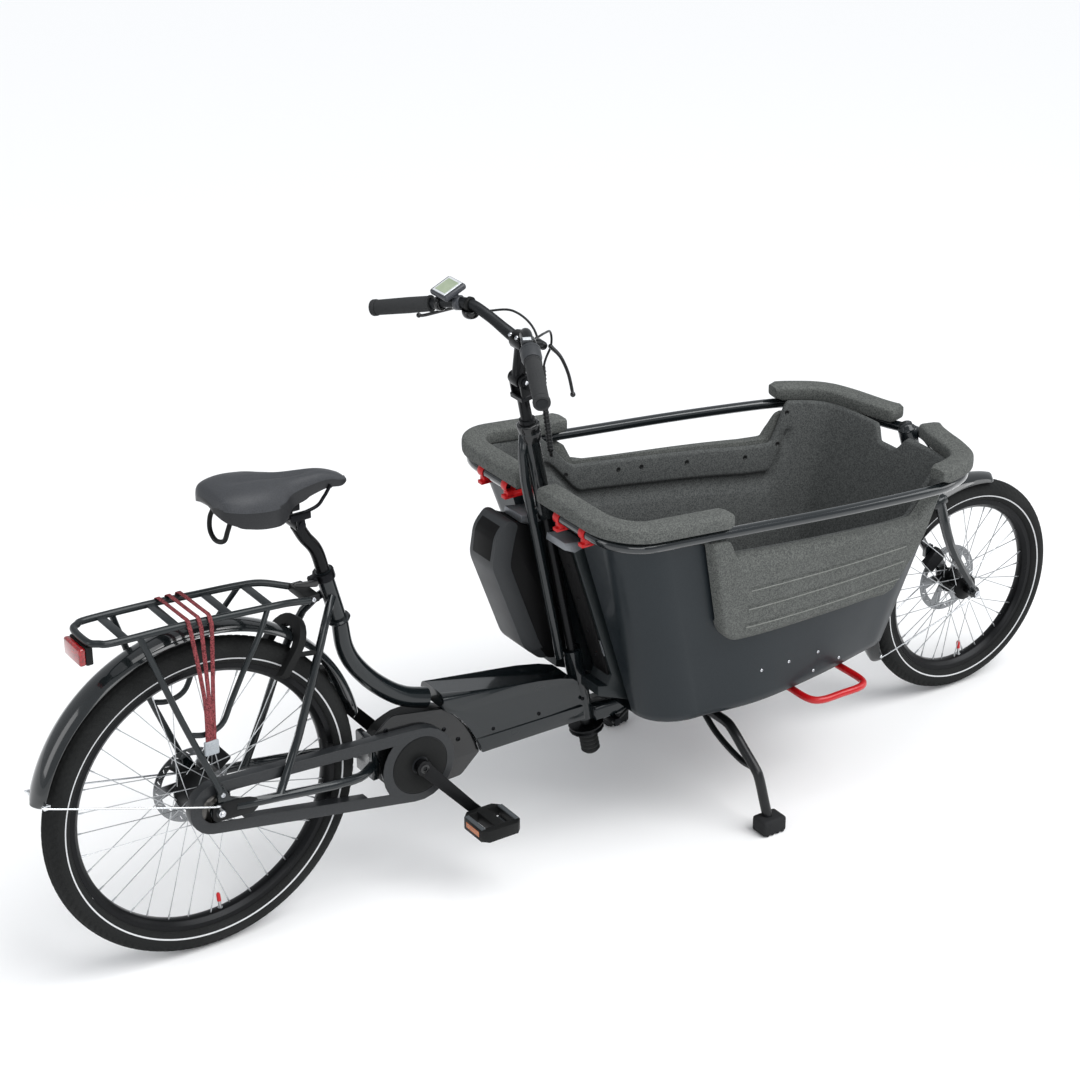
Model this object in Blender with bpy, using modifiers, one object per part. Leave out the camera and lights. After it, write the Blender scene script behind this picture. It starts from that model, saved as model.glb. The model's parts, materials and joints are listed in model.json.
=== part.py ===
"""Electric cargo bike, modelled in metres with +X forward, +Y left and +Z up.

Every place below is measured from the rear axle's foot on the ground, so x is the distance in front of the
rear axle and z is the height. At the end all pieces hang on one empty that carries them to the middle of
the bike's length.
"""
import math

import bmesh
import bpy
from mathutils import Matrix, Vector

# Clearances between pieces that touch, and between pieces that slide or turn in each other
GAP = 0.0003
RUNNING = 0.0008

# Wheels: bead seats of a 26 inch and a 20 inch rim, and the height of the tyre above the bead
WHEELBASE = 1.9388
REAR_BEAD = 0.559
REAR_TYRE = 0.055
FRONT_BEAD = 0.406
FRONT_TYRE = 0.0525
RIM_FLANGE = 0.006
RIM_DEPTH = 0.020
RIM_WIDTH = 0.033
SPOKES = 36
SPOKE_DIAMETER = 0.0018
FLANGE_EDGE = 0.0045
VALVE_ANGLE = math.radians(5)
RING_STEPS = 40
ROTOR_RADIUS = 0.080
ROTOR_THICKNESS = 0.002
REAR_OVER_LOCKNUT = 0.135
FRONT_OVER_LOCKNUT = 0.100
AXLE_RADIUS = 0.005
REAR_ROTOR_Y = 0.050
FRONT_ROTOR_Y = 0.038
CHAIN_Y = 0.051

# Steering axes, as lean from the vertical, and where each axis passes
COLUMN_LEAN = math.radians(11.0)
COLUMN_X = 0.7648
COLUMN_Z = 0.920
FORK_LEAN = math.radians(18.0)
FORK_OFFSET = 0.039
STEER_LIMIT = math.radians(50)

CROWN_Z = 0.516
BLADE_Y = 0.060
STRUT_TUBE = 0.020
STRUT_OFFSET = 0.0312
CABLE_WHEEL_Z = 0.209

# Stand
STAND_X = 1.160
STAND_Z = 0.205

# Drive
SPINDLE_X = 0.4565
SPINDLE_Z = 0.283
CRANK_LENGTH = 0.165
CRANK_ANGLE = math.radians(-49)
CHAIN_PITCH = 0.0127
CHAINRING_TEETH = 34
SPROCKET_TEETH = 22
SPINDLE_RADIUS = 0.009
MOTOR_LEFT = 0.0500
CRANK_FACE = 0.066
CRANK_SWEEP = 0.022
PEDAL_AXLE = 0.0055
PEDAL_WIDTH = 0.094
CASE_REAR = 0.055
CASE_FRONT = 0.082
CASE_BAND = 0.024
CASE_WALL = 0.002
CHAIN_HALF = 0.0043
MOTOR_RIGHT = 0.0340
COVER = 0.004

# Frame tubes and the places they run between
SEAT_TUBE = 0.034
SEAT_X = 0.2865
SEAT_Z = 0.742
SEAT_LEAN = math.radians(15)
POST_BORE = 0.105
BEAM_REAR_X = 0.5255
BEAM_TOP = 0.413
BEAM_FRONT_TOP = 0.385
BEAM_BOTTOM = 0.256
YOKE_X = 0.362
RACK_FOOT_Z = 0.373
DROPOUT = 0.007
STAY_TUBE = 0.020
SEAT_STAY_TUBE = 0.017
SEATPOST = 0.0272
HEAD_TUBE = 0.034
STEERER = 0.024
FRONT_HEAD_TUBE = 0.041
FRONT_STEERER = 0.0286
SPINE_TUBE = 0.044
BEAM_WIDTH = 0.090
BEAM_FRONT_X = 0.862
STRUT_FOOT_X = 0.835
SPINE_Z = 0.2445
SPINE_HALF = 0.0175
SPINE_END = 1.50
CROSS_X = [1.02, 1.26, 1.39]
HEAD_LOW = 0.543
HEAD_HIGH = 0.684
HEAD_TOP = 0.934
UPPER_HEAD_LOW = 0.722
SHAFT_FOOT = 0.196
SHAFT_TOP = 0.998
PIVOT_Z = 1.034

# Cargo box
RAIL_TUBE = 0.023
RAIL_X = 0.776
RAIL_Z = 0.762
RAIL_SLOPE = 0.095
RAIL_HALF_WIDTH = 0.300
TUB_FLOOR_Z = 0.280
TUB_TOP_Z = 0.745
SHEET = 0.0025
FOAM = 0.018
RIM_FOAM_HEIGHT = 0.034
RIM_FOAM_OUT = 0.021
RIM_FOAM_IN = 0.030
WALL_ROW = 0.45

# Rack, seat, bars
RACK_TUBE = 0.014
RACK_HALF_WIDTH = 0.057
BAR_TUBE = 0.0254
GRIP_DIAMETER = 0.034
BAR_X = 0.750
BAR_Z = 1.112
GRIP_START = Vector((0.655, 0.180, 1.155))
GRIP_END = Vector((0.594, 0.306, 1.120))
LOCK_ANGLE = math.radians(55)
GUARD_REACH = 0.3516

for old in list(bpy.data.objects):
    bpy.data.objects.remove(old)
bike = bpy.data.collections.new("electric_cargo_bike")
bpy.context.scene.collection.children.link(bike)
bench = bpy.data.collections.new("construction")
bpy.context.scene.collection.children.link(bench)


def paint(name, colour, roughness, metallic=0.0):
    """A plain surface of one colour."""
    material = bpy.data.materials.new(name)
    material.use_nodes = True
    shader = material.node_tree.nodes["Principled BSDF"]
    shader.inputs["Base Color"].default_value = (*colour, 1.0)
    shader.inputs["Roughness"].default_value = roughness
    shader.inputs["Metallic"].default_value = metallic
    return material


FRAME_PAINT = paint("anthracite_gloss", (0.018, 0.024, 0.028), 0.25, 0.5)
BOX_PAINT = paint("anthracite_satin", (0.022, 0.028, 0.034), 0.45, 0.4)
FOAM_GREY = paint("expanded_foam", (0.045, 0.045, 0.045), 0.95)
RUBBER = paint("rubber", (0.020, 0.020, 0.020), 0.80)
BLACK_PLASTIC = paint("black_plastic", (0.015, 0.015, 0.016), 0.45)
BLACK_METAL = paint("black_metal", (0.012, 0.012, 0.013), 0.35, 0.7)
STEEL = paint("steel", (0.55, 0.55, 0.56), 0.28, 1.0)
ALUMINIUM = paint("aluminium", (0.50, 0.51, 0.53), 0.35, 1.0)
RED_PAINT = paint("red_paint", (0.62, 0.012, 0.018), 0.35)
RED_LENS = paint("red_lens", (0.35, 0.01, 0.01), 0.20)
WEBBING = paint("maroon_webbing", (0.10, 0.018, 0.020), 0.90)
PADDING = paint("saddle_cover", (0.035, 0.035, 0.037), 0.70)


def evaluated(item):
    """The mesh that an object's curve or modifiers give, as a new bmesh; the object is removed."""
    graph = bpy.context.evaluated_depsgraph_get()
    mesh = bpy.data.meshes.new_from_object(item.evaluated_get(graph))
    mesh.transform(item.matrix_world)
    bpy.data.objects.remove(item)
    form = bmesh.new()
    form.from_mesh(mesh)
    bpy.data.meshes.remove(mesh)
    bmesh.ops.remove_doubles(form, verts=form.verts, dist=1e-6)
    bmesh.ops.recalc_face_normals(form, faces=form.faces)
    return form


def on_bench(name, data):
    """A construction object for one shape."""
    item = bpy.data.objects.new(name, data)
    bench.objects.link(item)
    return item


def tube(points, radius, resolution=2):
    """A bent tube with filled ends; radius is one number or one for each point."""
    radii = radius if isinstance(radius, (list, tuple)) else [radius] * len(points)
    curve = bpy.data.curves.new("tube", "CURVE")
    curve.dimensions = "3D"
    curve.bevel_depth = 1.0
    curve.bevel_resolution = resolution
    curve.use_fill_caps = True
    line = curve.splines.new("POLY")
    line.points.add(len(points) - 1)
    for spot, place, size in zip(line.points, points, radii):
        spot.co = (*place, 1.0)
        spot.radius = size
    return evaluated(on_bench("tube", curve))


def smooth(points, steps=3):
    """Points along a smooth curve through the given ones."""
    spots = [Vector(p) for p in points]
    ends = [2 * spots[0] - spots[1]] + spots + [2 * spots[-1] - spots[-2]]
    curve = []
    for before, start, end, after in zip(ends, ends[1:], ends[2:], ends[3:]):
        for step in range(steps):
            t = step / steps
            curve.append(0.5 * (2 * start + (end - before) * t
                                + (2 * before - 5 * start + 4 * end - after) * t * t
                                + (3 * start - before - 3 * end + after) * t ** 3))
    return curve + [spots[-1]]


def turned(profile, centre=(0, 0, 0), axis=(0, 0, 1), segments=16):
    """A turned solid: (radius, height) points down its outer side, closed on the axis or as a ring."""
    mesh = bpy.data.meshes.new("profile")
    ring = profile[0][0] > 0
    last = len(profile)
    edges = [(i, (i + 1) % last) for i in range(last if ring else last - 1)]
    mesh.from_pydata([(r, 0.0, h) for r, h in profile], edges, [])
    item = on_bench("turned", mesh)
    screw = item.modifiers.new("turn", "SCREW")
    screw.steps = segments
    screw.render_steps = segments
    screw.use_merge_vertices = True
    screw.merge_threshold = 0.00001
    form = evaluated(item)
    turn = Vector((0, 0, 1)).rotation_difference(Vector(axis)).to_matrix().to_4x4()
    form.transform(Matrix.Translation(centre) @ turn)
    return form


def round_bar(start, end, radius, sides=10, end_radius=None):
    """A straight bar, or a cone with another end radius, between two points."""
    start = Vector(start)
    along = Vector(end) - start
    form = bmesh.new()
    bmesh.ops.create_cone(form, cap_ends=True, segments=sides, radius1=radius,
                          radius2=end_radius or radius, depth=along.length)
    turn = Vector((0, 0, 1)).rotation_difference(along).to_matrix().to_4x4()
    form.transform(Matrix.Translation(start + along / 2) @ turn)
    return form


def block(low, high, bevel=0.0):
    """A box between two corners, its edges rounded by a small bevel if wanted."""
    form = bmesh.new()
    bmesh.ops.create_cube(form, size=1.0)
    size = [b - a for a, b in zip(low, high)]
    middle = [(a + b) / 2 for a, b in zip(low, high)]
    form.transform(Matrix.Translation(middle) @ Matrix.Diagonal((*size, 1.0)))
    if bevel:
        bmesh.ops.bevel(form, geom=form.edges[:], offset=bevel, segments=1, affect="EDGES", profile=0.5)
    return form


def plate(outline, low, high, axis="y", holes=()):
    """A flat outline extruded between two heights on an axis; outline points are in the other two axes."""
    curve = bpy.data.curves.new("plate", "CURVE")
    curve.dimensions = "2D"
    curve.fill_mode = "BOTH"
    curve.extrude = (high - low) / 2
    for loop in [outline, *holes]:
        line = curve.splines.new("POLY")
        line.points.add(len(loop) - 1)
        line.use_cyclic_u = True
        for spot, (u, v) in zip(line.points, loop):
            spot.co = (u, v, 0.0, 1.0)
    form = evaluated(on_bench("plate", curve))
    middle = (low + high) / 2
    if axis == "y":
        turn = Matrix(((1, 0, 0, 0), (0, 0, -1, middle), (0, 1, 0, 0), (0, 0, 0, 1)))
    elif axis == "x":
        turn = Matrix(((0, 0, 1, middle), (1, 0, 0, 0), (0, 1, 0, 0), (0, 0, 0, 1)))
    else:
        turn = Matrix.Translation((0, 0, middle))
    form.transform(turn)
    return form


def prism(outline, low, high):
    """An outline in x and z made into a solid along y with whole side faces, so that its edges can be bevelled."""
    form = bmesh.new()
    rings = [[form.verts.new((x, y, z)) for x, z in outline] for y in (low, high)]
    form.faces.new(rings[0])
    form.faces.new(rings[1][::-1])
    for i in range(len(outline)):
        j = (i + 1) % len(outline)
        form.faces.new((rings[0][i], rings[1][i], rings[1][j], rings[0][j]))
    bmesh.ops.recalc_face_normals(form, faces=form.faces)
    return form


def arc(centre, radius, start, end, steps):
    """Points on a flat arc, angles in degrees."""
    turn = [math.radians(start + (end - start) * i / steps) for i in range(steps + 1)]
    return [(centre[0] + radius * math.cos(a), centre[1] + radius * math.sin(a)) for a in turn]


def circle(centre, radius, steps=16):
    """A closed ring of points."""
    return arc(centre, radius, 0, 360, steps)[:-1]


def solid(form, name="solid"):
    """A construction object that holds a bmesh."""
    mesh = bpy.data.meshes.new(name)
    form.to_mesh(mesh)
    form.free()
    return on_bench(name, mesh)


def combined(base, others, operation):
    """One solid joined with, or cut by, other solids, one after the other."""
    form = base
    for other in others:
        item = solid(form)
        tool = solid(other)
        step = item.modifiers.new("step", "BOOLEAN")
        step.operation = operation
        step.object = tool
        form = evaluated(item)
        bpy.data.objects.remove(tool)
    return form


def fused(first, *others):
    """Solids welded into one."""
    return combined(first, others, "UNION")


def cut(base, *cutters):
    """A solid with others taken out of it."""
    return combined(base, cutters, "DIFFERENCE")


def together(*forms):
    """Solids that stay apart in one piece's mesh."""
    mesh = bpy.data.meshes.new("group")
    group = bmesh.new()
    for form in forms:
        form.to_mesh(mesh)
        group.from_mesh(mesh)
        form.free()
    bpy.data.meshes.remove(mesh)
    return group


def mirrored(form):
    """A copy of a solid on the other side of the bike."""
    copy = form.copy()
    copy.transform(Matrix.Diagonal((1, -1, 1, 1)))
    bmesh.ops.reverse_faces(copy, faces=copy.faces)
    return copy


def node(name, form, material, origin=(0, 0, 0)):
    """One finished piece, with its origin on its joint's axis where it moves."""
    form.transform(Matrix.Translation(-Vector(origin)))
    mesh = bpy.data.meshes.new(name)
    form.to_mesh(mesh)
    form.free()
    mesh.materials.append(material)
    mesh.shade_smooth()
    mesh.set_sharp_from_angle(angle=math.radians(35))
    item = bpy.data.objects.new(name, mesh)
    item.location = origin
    bike.objects.link(item)
    return item


def lean_point(x, z, lean, height):
    """The point of a leaning axis at a height."""
    return Vector((x - (height - z) * math.tan(lean), 0.0, height))


def column(height):
    return lean_point(COLUMN_X, COLUMN_Z, COLUMN_LEAN, height)


REAR_RADIUS = REAR_BEAD / 2 + REAR_TYRE
FRONT_RADIUS = FRONT_BEAD / 2 + FRONT_TYRE
REAR_AXLE = Vector((0.0, 0.0, REAR_RADIUS))
FRONT_AXLE = Vector((WHEELBASE, 0.0, FRONT_RADIUS))
SPINDLE = Vector((SPINDLE_X, 0.0, SPINDLE_Z))
COLUMN_UP = Vector((-math.sin(COLUMN_LEAN), 0.0, math.cos(COLUMN_LEAN)))
FORK_UP = Vector((-math.sin(FORK_LEAN), 0.0, math.cos(FORK_LEAN)))


def fork_axis(height):
    return lean_point(WHEELBASE - FORK_OFFSET / math.cos(FORK_LEAN), FRONT_RADIUS, FORK_LEAN, height)


def wheel(side, axle, bead, tyre_height, hub_profile, flange_radius, flange_y, rotor_y, boss_radius):
    """Tyre, rim with its valve, and the hub with its brake disc and crossed spokes, around one axle."""
    rim_edge = bead / 2 + RIM_FLANGE
    rim_inner = rim_edge - RIM_DEPTH
    half = tyre_height / 2
    bead_angle = math.asin(RIM_WIDTH / 2 / half)
    base = rim_edge + GAP
    section = [(base, RIM_WIDTH / 2)]
    for step in range(1, 8):
        turn = bead_angle + (2 * math.pi - 2 * bead_angle) * step / 8
        section.append((bead / 2 + half - half * math.cos(turn), half * math.sin(turn)))
    section.append((base, -RIM_WIDTH / 2))
    node(side + "_tyre", turned(section, axle, (0, 1, 0), RING_STEPS), RUBBER, axle)
    bed = RIM_WIDTH / 2
    well = RIM_WIDTH * 0.27
    rim = turned([(rim_edge, bed), (rim_edge, -bed), (rim_edge - RIM_DEPTH / 2, -bed), (rim_inner, -well),
                  (rim_inner, well), (rim_edge - RIM_DEPTH / 2, bed)], axle, (0, 1, 0), RING_STEPS)
    down = Vector((math.sin(VALVE_ANGLE), 0, -math.cos(VALVE_ANGLE)))
    stem = turned([(0, 0), (0.003, 0), (0.003, -0.022), (0.0042, -0.024), (0.0036, -0.038), (0, -0.040)],
                  axle + down * (rim_inner + 0.004), down, 8)
    node(side + "_rim", fused(rim, stem), BLACK_METAL, axle)
    spokes = []
    holes = SPOKES // 2
    foot = flange_radius - FLANGE_EDGE
    tip_radius = rim_inner * math.cos(math.pi / RING_STEPS) - 2 * GAP
    for hand in (-1, 1):
        for hole in range(holes):
            lead = 1 if hole % 2 else -1
            at = 2 * math.pi / holes * (hole + (0.5 if hand < 0 else 0))
            tip = at + lead * 2 * math.pi / holes * 3
            start = (foot * math.cos(at), hand * flange_y + lead * 0.0021, foot * math.sin(at))
            end = (tip_radius * math.cos(tip), hand * 0.003 + lead * GAP, tip_radius * math.sin(tip))
            spokes.append(round_bar(axle + Vector(start), axle + Vector(end), SPOKE_DIAMETER / 2, 4))
    disc = rotor(axle, rotor_y, boss_radius)
    hub = fused(turned(hub_profile, axle, (0, 1, 0), 16), disc, together(*spokes))
    node(side + "_hub", hub, ALUMINIUM, axle)


def rotor(axle, y, boss_radius):
    """A brake disc with six slanting arms between its ring and its middle."""
    arms = 6
    windows = []
    inner = boss_radius + 0.006
    outer = ROTOR_RADIUS - 0.015
    centre = (axle.x, axle.z)
    for arm in range(arms):
        start = 360 / arms * arm
        windows.append(arc(centre, outer, start + 12, start + 46, 2)
                       + arc(centre, inner, start + 26, start + 4, 1))
    bore = circle(centre, boss_radius - 0.002, 12)
    half = ROTOR_THICKNESS / 2
    return plate(circle(centre, ROTOR_RADIUS, 30), y - half, y + half, "y", windows + [bore])


def hub_shape(half_width, barrel, flange_radius, flange_y, end_radius, boss_radius, rotor_y, bore):
    """A hub's profile from its left end to its right end, bored for the axle."""
    return [(bore, half_width), (end_radius, half_width), (end_radius, rotor_y + 0.004),
            (boss_radius, rotor_y + 0.004), (boss_radius, flange_y + 0.0055),
            (flange_radius, flange_y + 0.0035), (flange_radius, flange_y - 0.0035), (barrel, flange_y - 0.005),
            (barrel, -flange_y + 0.005), (flange_radius, -flange_y + 0.0035),
            (flange_radius, -flange_y - 0.0035), (end_radius + 0.006, -flange_y - 0.006),
            (end_radius, -flange_y - 0.008), (end_radius, -half_width), (bore, -half_width)]


# The rear hub is a wide geared hub; its right end carries the sprocket, so the hub itself ends short of it
REAR_HALF = REAR_OVER_LOCKNUT / 2
FRONT_HALF = FRONT_OVER_LOCKNUT / 2
BORE = AXLE_RADIUS + RUNNING
rear_hub = hub_shape(REAR_HALF - GAP, 0.040, 0.045, 0.030, 0.016, 0.022, REAR_ROTOR_Y, BORE)
rear_hub = rear_hub[:-2] + [(rear_hub[-2][0], -CHAIN_Y + 0.006), (BORE, -CHAIN_Y + 0.006)]
wheel("rear", REAR_AXLE, REAR_BEAD, REAR_TYRE, rear_hub, 0.045, 0.030, REAR_ROTOR_Y, 0.022)
front_hub = hub_shape(FRONT_HALF - GAP, 0.015, 0.030, 0.024, 0.011, 0.018, FRONT_ROTOR_Y, BORE)
wheel("front", FRONT_AXLE, FRONT_BEAD, FRONT_TYRE, front_hub, 0.030, 0.024, FRONT_ROTOR_Y, 0.018)

# Main tube: straight where the seatpost slides in it, then one long curve down and forward into the beam
SEAT_TOP = Vector((SEAT_X, 0.0, SEAT_Z))
SEAT_UP = Vector((-math.sin(SEAT_LEAN), 0.0, math.cos(SEAT_LEAN)))


def on_seat_tube(height):
    """The seat tube's axis at a height of its straight length."""
    return SEAT_TOP - SEAT_UP * ((SEAT_TOP.z - height) / SEAT_UP.z)


straight_foot = SEAT_TOP - SEAT_UP * (POST_BORE + 0.004)
main_path = [SEAT_TOP, straight_foot] + smooth(
    [straight_foot - SEAT_UP * 0.018, (0.328, 0, 0.562), (0.352, 0, 0.513), (0.398, 0, 0.459),
     (0.458, 0, 0.4135), (BEAM_REAR_X + 0.008, 0, BEAM_TOP - 0.026)], 2)
swell = (SPINE_TUBE - SEAT_TUBE) / 2 / (len(main_path) - 3)
main_radii = [SEAT_TUBE / 2] * 2 + [SEAT_TUBE / 2 + swell * i for i in range(len(main_path) - 2)]
post_bore = round_bar(SEAT_TOP + SEAT_UP * 0.01, SEAT_TOP - SEAT_UP * POST_BORE, SEATPOST / 2 + RUNNING, 20)
beam_end = block((BEAM_REAR_X - GAP, -0.04, 0.33), (BEAM_REAR_X + 0.05, 0.04, 0.45))
node("main_tube", cut(tube(main_path, main_radii, 4), post_bore, beam_end), FRAME_PAINT)

# Beam between the motor and the steering column, cut off square to the column at its front
CRADLE = [(BEAM_REAR_X, BEAM_TOP - 0.051), (0.572, 0.338), (0.606, 0.272), (0.612, BEAM_BOTTOM)]
HEAD_SHELL = HEAD_TUBE / 2 + 0.003
head_back = HEAD_SHELL / math.cos(COLUMN_LEAN) + GAP
beam_side = [(BEAM_REAR_X, BEAM_TOP), (BEAM_REAR_X, BEAM_BOTTOM),
             (column(BEAM_BOTTOM).x - head_back, BEAM_BOTTOM),
             (column(BEAM_FRONT_TOP).x - head_back, BEAM_FRONT_TOP)]
beam = prism(beam_side, -BEAM_WIDTH / 2, BEAM_WIDTH / 2)
long_edges = [e for e in beam.edges if abs(e.verts[0].co.x - e.verts[1].co.x) > 0.2]
bmesh.ops.bevel(beam, geom=long_edges, offset=0.010, segments=2, affect="EDGES", profile=0.5)
below = BEAM_BOTTOM - 0.05
cradle_room = plate([(0.50, CRADLE[0][1])] + CRADLE + [(CRADLE[-1][0], below), (0.50, below)], -0.06, 0.06)
beam = cut(beam, cradle_room)
node("beam", beam, FRAME_PAINT)

# Rear triangle: chain stays from the motor yoke to the dropouts, seat stays to the seat tube, axle and nuts
PLATE_IN = REAR_HALF + 0.0005
PLATE_OUT = PLATE_IN + DROPOUT
STAY_Y = (PLATE_IN + PLATE_OUT) / 2


def seat_stay_line(hand):
    top = on_seat_tube(0.688)
    return smooth([(0.131, hand * STAY_Y, 0.326), (0.180, hand * 0.0685, 0.439),
                   (0.2205, hand * 0.061, 0.548), (0.262, hand * 0.043, 0.6445),
                   (top.x - 0.004, hand * 0.013, top.z)], 2)


def stay_side(hand):
    """One side of the rear triangle."""
    chain_stay = tube(smooth([(0.036, hand * STAY_Y, REAR_RADIUS), (0.13, hand * (STAY_Y + 0.002), 0.325),
                              (0.25, hand * STAY_Y, 0.309), (0.315, hand * 0.063, 0.302),
                              (0.345, hand * 0.045, 0.299), (YOKE_X + 0.008, hand * 0.024, 0.296)], 2),
                      STAY_TUBE / 2)
    seat_stay = tube(seat_stay_line(hand), SEAT_STAY_TUBE / 2)
    outline = (arc((0.0, REAR_RADIUS), 0.019, 95, 290, 8)
               + [(0.055, REAR_RADIUS - 0.012), (0.062, REAR_RADIUS), (0.055, REAR_RADIUS + 0.012),
                  (0.024, REAR_RADIUS + 0.024), (0.012, RACK_FOOT_Z + 0.014), (-0.004, RACK_FOOT_Z + 0.014)])
    dropout = plate(outline, *sorted((hand * PLATE_IN, hand * PLATE_OUT)))
    nut = round_bar((0, hand * (PLATE_OUT - 0.001), REAR_RADIUS),
                    (0, hand * (PLATE_OUT + 0.009), REAR_RADIUS), 0.0105, 6)
    return [chain_stay, seat_stay, dropout, nut]


axle_end = PLATE_OUT + 0.004
rear_axle = round_bar((0, -axle_end, REAR_RADIUS), (0, axle_end, REAR_RADIUS), AXLE_RADIUS, 16)
yoke = block((YOKE_X, -0.034, 0.262), (YOKE_X + 0.016, 0.034, 0.352), 0.003)
calliper_lug = block((0.052, PLATE_IN - 0.0068, REAR_RADIUS), (0.074, PLATE_IN - 0.002, 0.392))
seat_shell = round_bar(on_seat_tube(0.735), on_seat_tube(0.64), SEAT_TUBE / 2 + GAP, 24)
triangle = fused(rear_axle, yoke, calliper_lug, *stay_side(-1), *stay_side(1))
node("rear_triangle", cut(triangle, seat_shell), FRAME_PAINT)

# Front frame: lower column bearing, spine under the box with its cross members, front tube and head tube
lower_head = round_bar(column(0.232), column(0.402), HEAD_SHELL, 16)
spine = block((column(SPINE_Z).x + 0.010, -0.030, SPINE_Z - SPINE_HALF),
              (SPINE_END, 0.030, SPINE_Z + SPINE_HALF), 0.004)
front_tube = tube(smooth([(SPINE_END - 0.03, 0, SPINE_Z), (1.555, 0, 0.2465), (1.602, 0, 0.268), (1.634, 0, 0.328),
                          (1.667, 0, 0.425), (1.703, 0, 0.525), (1.735, 0, 0.592), (fork_axis(0.632).x, 0, 0.632)], 2),
                  SPINE_TUBE / 2)
front_head = round_bar(fork_axis(HEAD_LOW), fork_axis(HEAD_HIGH), FRONT_HEAD_TUBE / 2, 16)
members = [block((x - 0.018, -0.145, SPINE_Z + SPINE_HALF - 0.001), (x + 0.018, 0.145, TUB_FLOOR_Z - GAP), 0.002)
           for x in CROSS_X]
stand_lugs = [block((STAND_X - 0.016, hand * 0.024 - 0.004, STAND_Z - 0.014),
                    (STAND_X + 0.016, hand * 0.024 + 0.004, SPINE_Z), 0.002) for hand in (-1, 1)]
shaft_bore = round_bar(column(0.20), column(0.43), STEERER / 2 + RUNNING, 16)
steerer_bore = round_bar(fork_axis(HEAD_LOW - 0.02), fork_axis(HEAD_HIGH + 0.02), FRONT_STEERER / 2 + RUNNING, 16)
front_frame = fused(spine, front_tube, front_head, lower_head, *members, *stand_lugs)
stand_hole = round_bar((STAND_X, -0.04, STAND_Z), (STAND_X, 0.04, STAND_Z), 0.0045 + RUNNING, 16)
node("front_frame", cut(front_frame, shaft_bore, steerer_bore, stand_hole), FRAME_PAINT)

# Upper steering head: a short head tube with its collar, held by a thin strut that stands on the beam
ALONG = Vector((math.cos(COLUMN_LEAN), 0, math.sin(COLUMN_LEAN)))
strut_foot_z = BEAM_TOP - (BEAM_TOP - BEAM_FRONT_TOP) * (STRUT_FOOT_X - BEAM_REAR_X) / (BEAM_FRONT_X - BEAM_REAR_X)
strut = [column(strut_foot_z + 0.0085) - ALONG * STRUT_OFFSET, column(0.82) - ALONG * STRUT_OFFSET,
         column(0.875) - ALONG * (STRUT_OFFSET - 0.006), column(0.915) - ALONG * 0.014]
head_tube = round_bar(column(UPPER_HEAD_LOW), column(HEAD_TOP), HEAD_TUBE / 2, 16)
collar = turned([(HEAD_TUBE / 2 - 0.001, 0.002), (HEAD_TUBE / 2 + 0.005, -0.002), (HEAD_TUBE / 2 + 0.005, -0.030),
                 (HEAD_TUBE / 2 + 0.002, -0.036), (HEAD_TUBE / 2 - 0.001, -0.036)], column(HEAD_TOP), COLUMN_UP, 16)
gusset = round_bar(column(0.745), column(0.745) - ALONG * STRUT_OFFSET, 0.008, 8)
head_bore = round_bar(column(0.66), column(0.98), STEERER / 2 + RUNNING, 16)
node("steering_head", cut(fused(head_tube, collar, tube(strut, STRUT_TUBE / 2), gusset), head_bore), FRAME_PAINT)

# Steering shaft: runs down both heads, with the ears of the stem's pivot on top and the cable wheel below
pivot = column(PIVOT_Z)
shaft = round_bar(column(SHAFT_FOOT), column(SHAFT_TOP), STEERER / 2, 16)
cable_wheel = turned([(0.006, 0.007), (0.038, 0.007), (0.038, 0.004), (0.034, 0.001), (0.034, -0.001),
                      (0.038, -0.004), (0.038, -0.007), (0.006, -0.007)], column(CABLE_WHEEL_Z), COLUMN_UP, 16)
rest = turned([(0.0, 0.010), (0.0165, 0.010), (0.0175, 0.0), (0.0, 0.0)], column(HEAD_TOP) + COLUMN_UP * 0.0025,
              COLUMN_UP, 16)
saddle_block = block((-0.015, -0.0225, -0.006), (0.015, 0.0225, 0.006), 0.002)
saddle_block.transform(Matrix.Translation(column(SHAFT_TOP)) @ Matrix.Rotation(-COLUMN_LEAN, 4, "Y"))
ears = [plate(circle((pivot.x, pivot.z), 0.0135, 16), *sorted((hand * 0.0155, hand * 0.0215)))
        for hand in (-1, 1)]
cheeks = []
for hand in (-1, 1):
    cheek = block((-0.0115, hand * 0.0185 - 0.0026, -0.002), (0.0115, hand * 0.0185 + 0.0026, PIVOT_Z - SHAFT_TOP))
    cheek.transform(Matrix.Translation(column(SHAFT_TOP)) @ Matrix.Rotation(-COLUMN_LEAN, 4, "Y"))
    cheeks.append(cheek)
pivot_pin = round_bar((pivot.x, -0.026, pivot.z), (pivot.x, 0.026, pivot.z), 0.004, 12)
node("steering_shaft", fused(shaft, cable_wheel, rest, saddle_block, *cheeks, *ears, pivot_pin), BLACK_METAL,
     column(HEAD_TOP))
ribs = [(0.0, 0.0)]
for rib in range(5):
    ribs += [(0.0165, -0.002 - 0.010 * rib), (0.0205, -0.006 - 0.010 * rib)]
ribs += [(0.0150, -0.053), (0.0, -0.055)]
node("steering_boot", turned(ribs, column(SHAFT_FOOT) - COLUMN_UP * GAP, COLUMN_UP, 14), RUBBER, column(HEAD_TOP))

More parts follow.
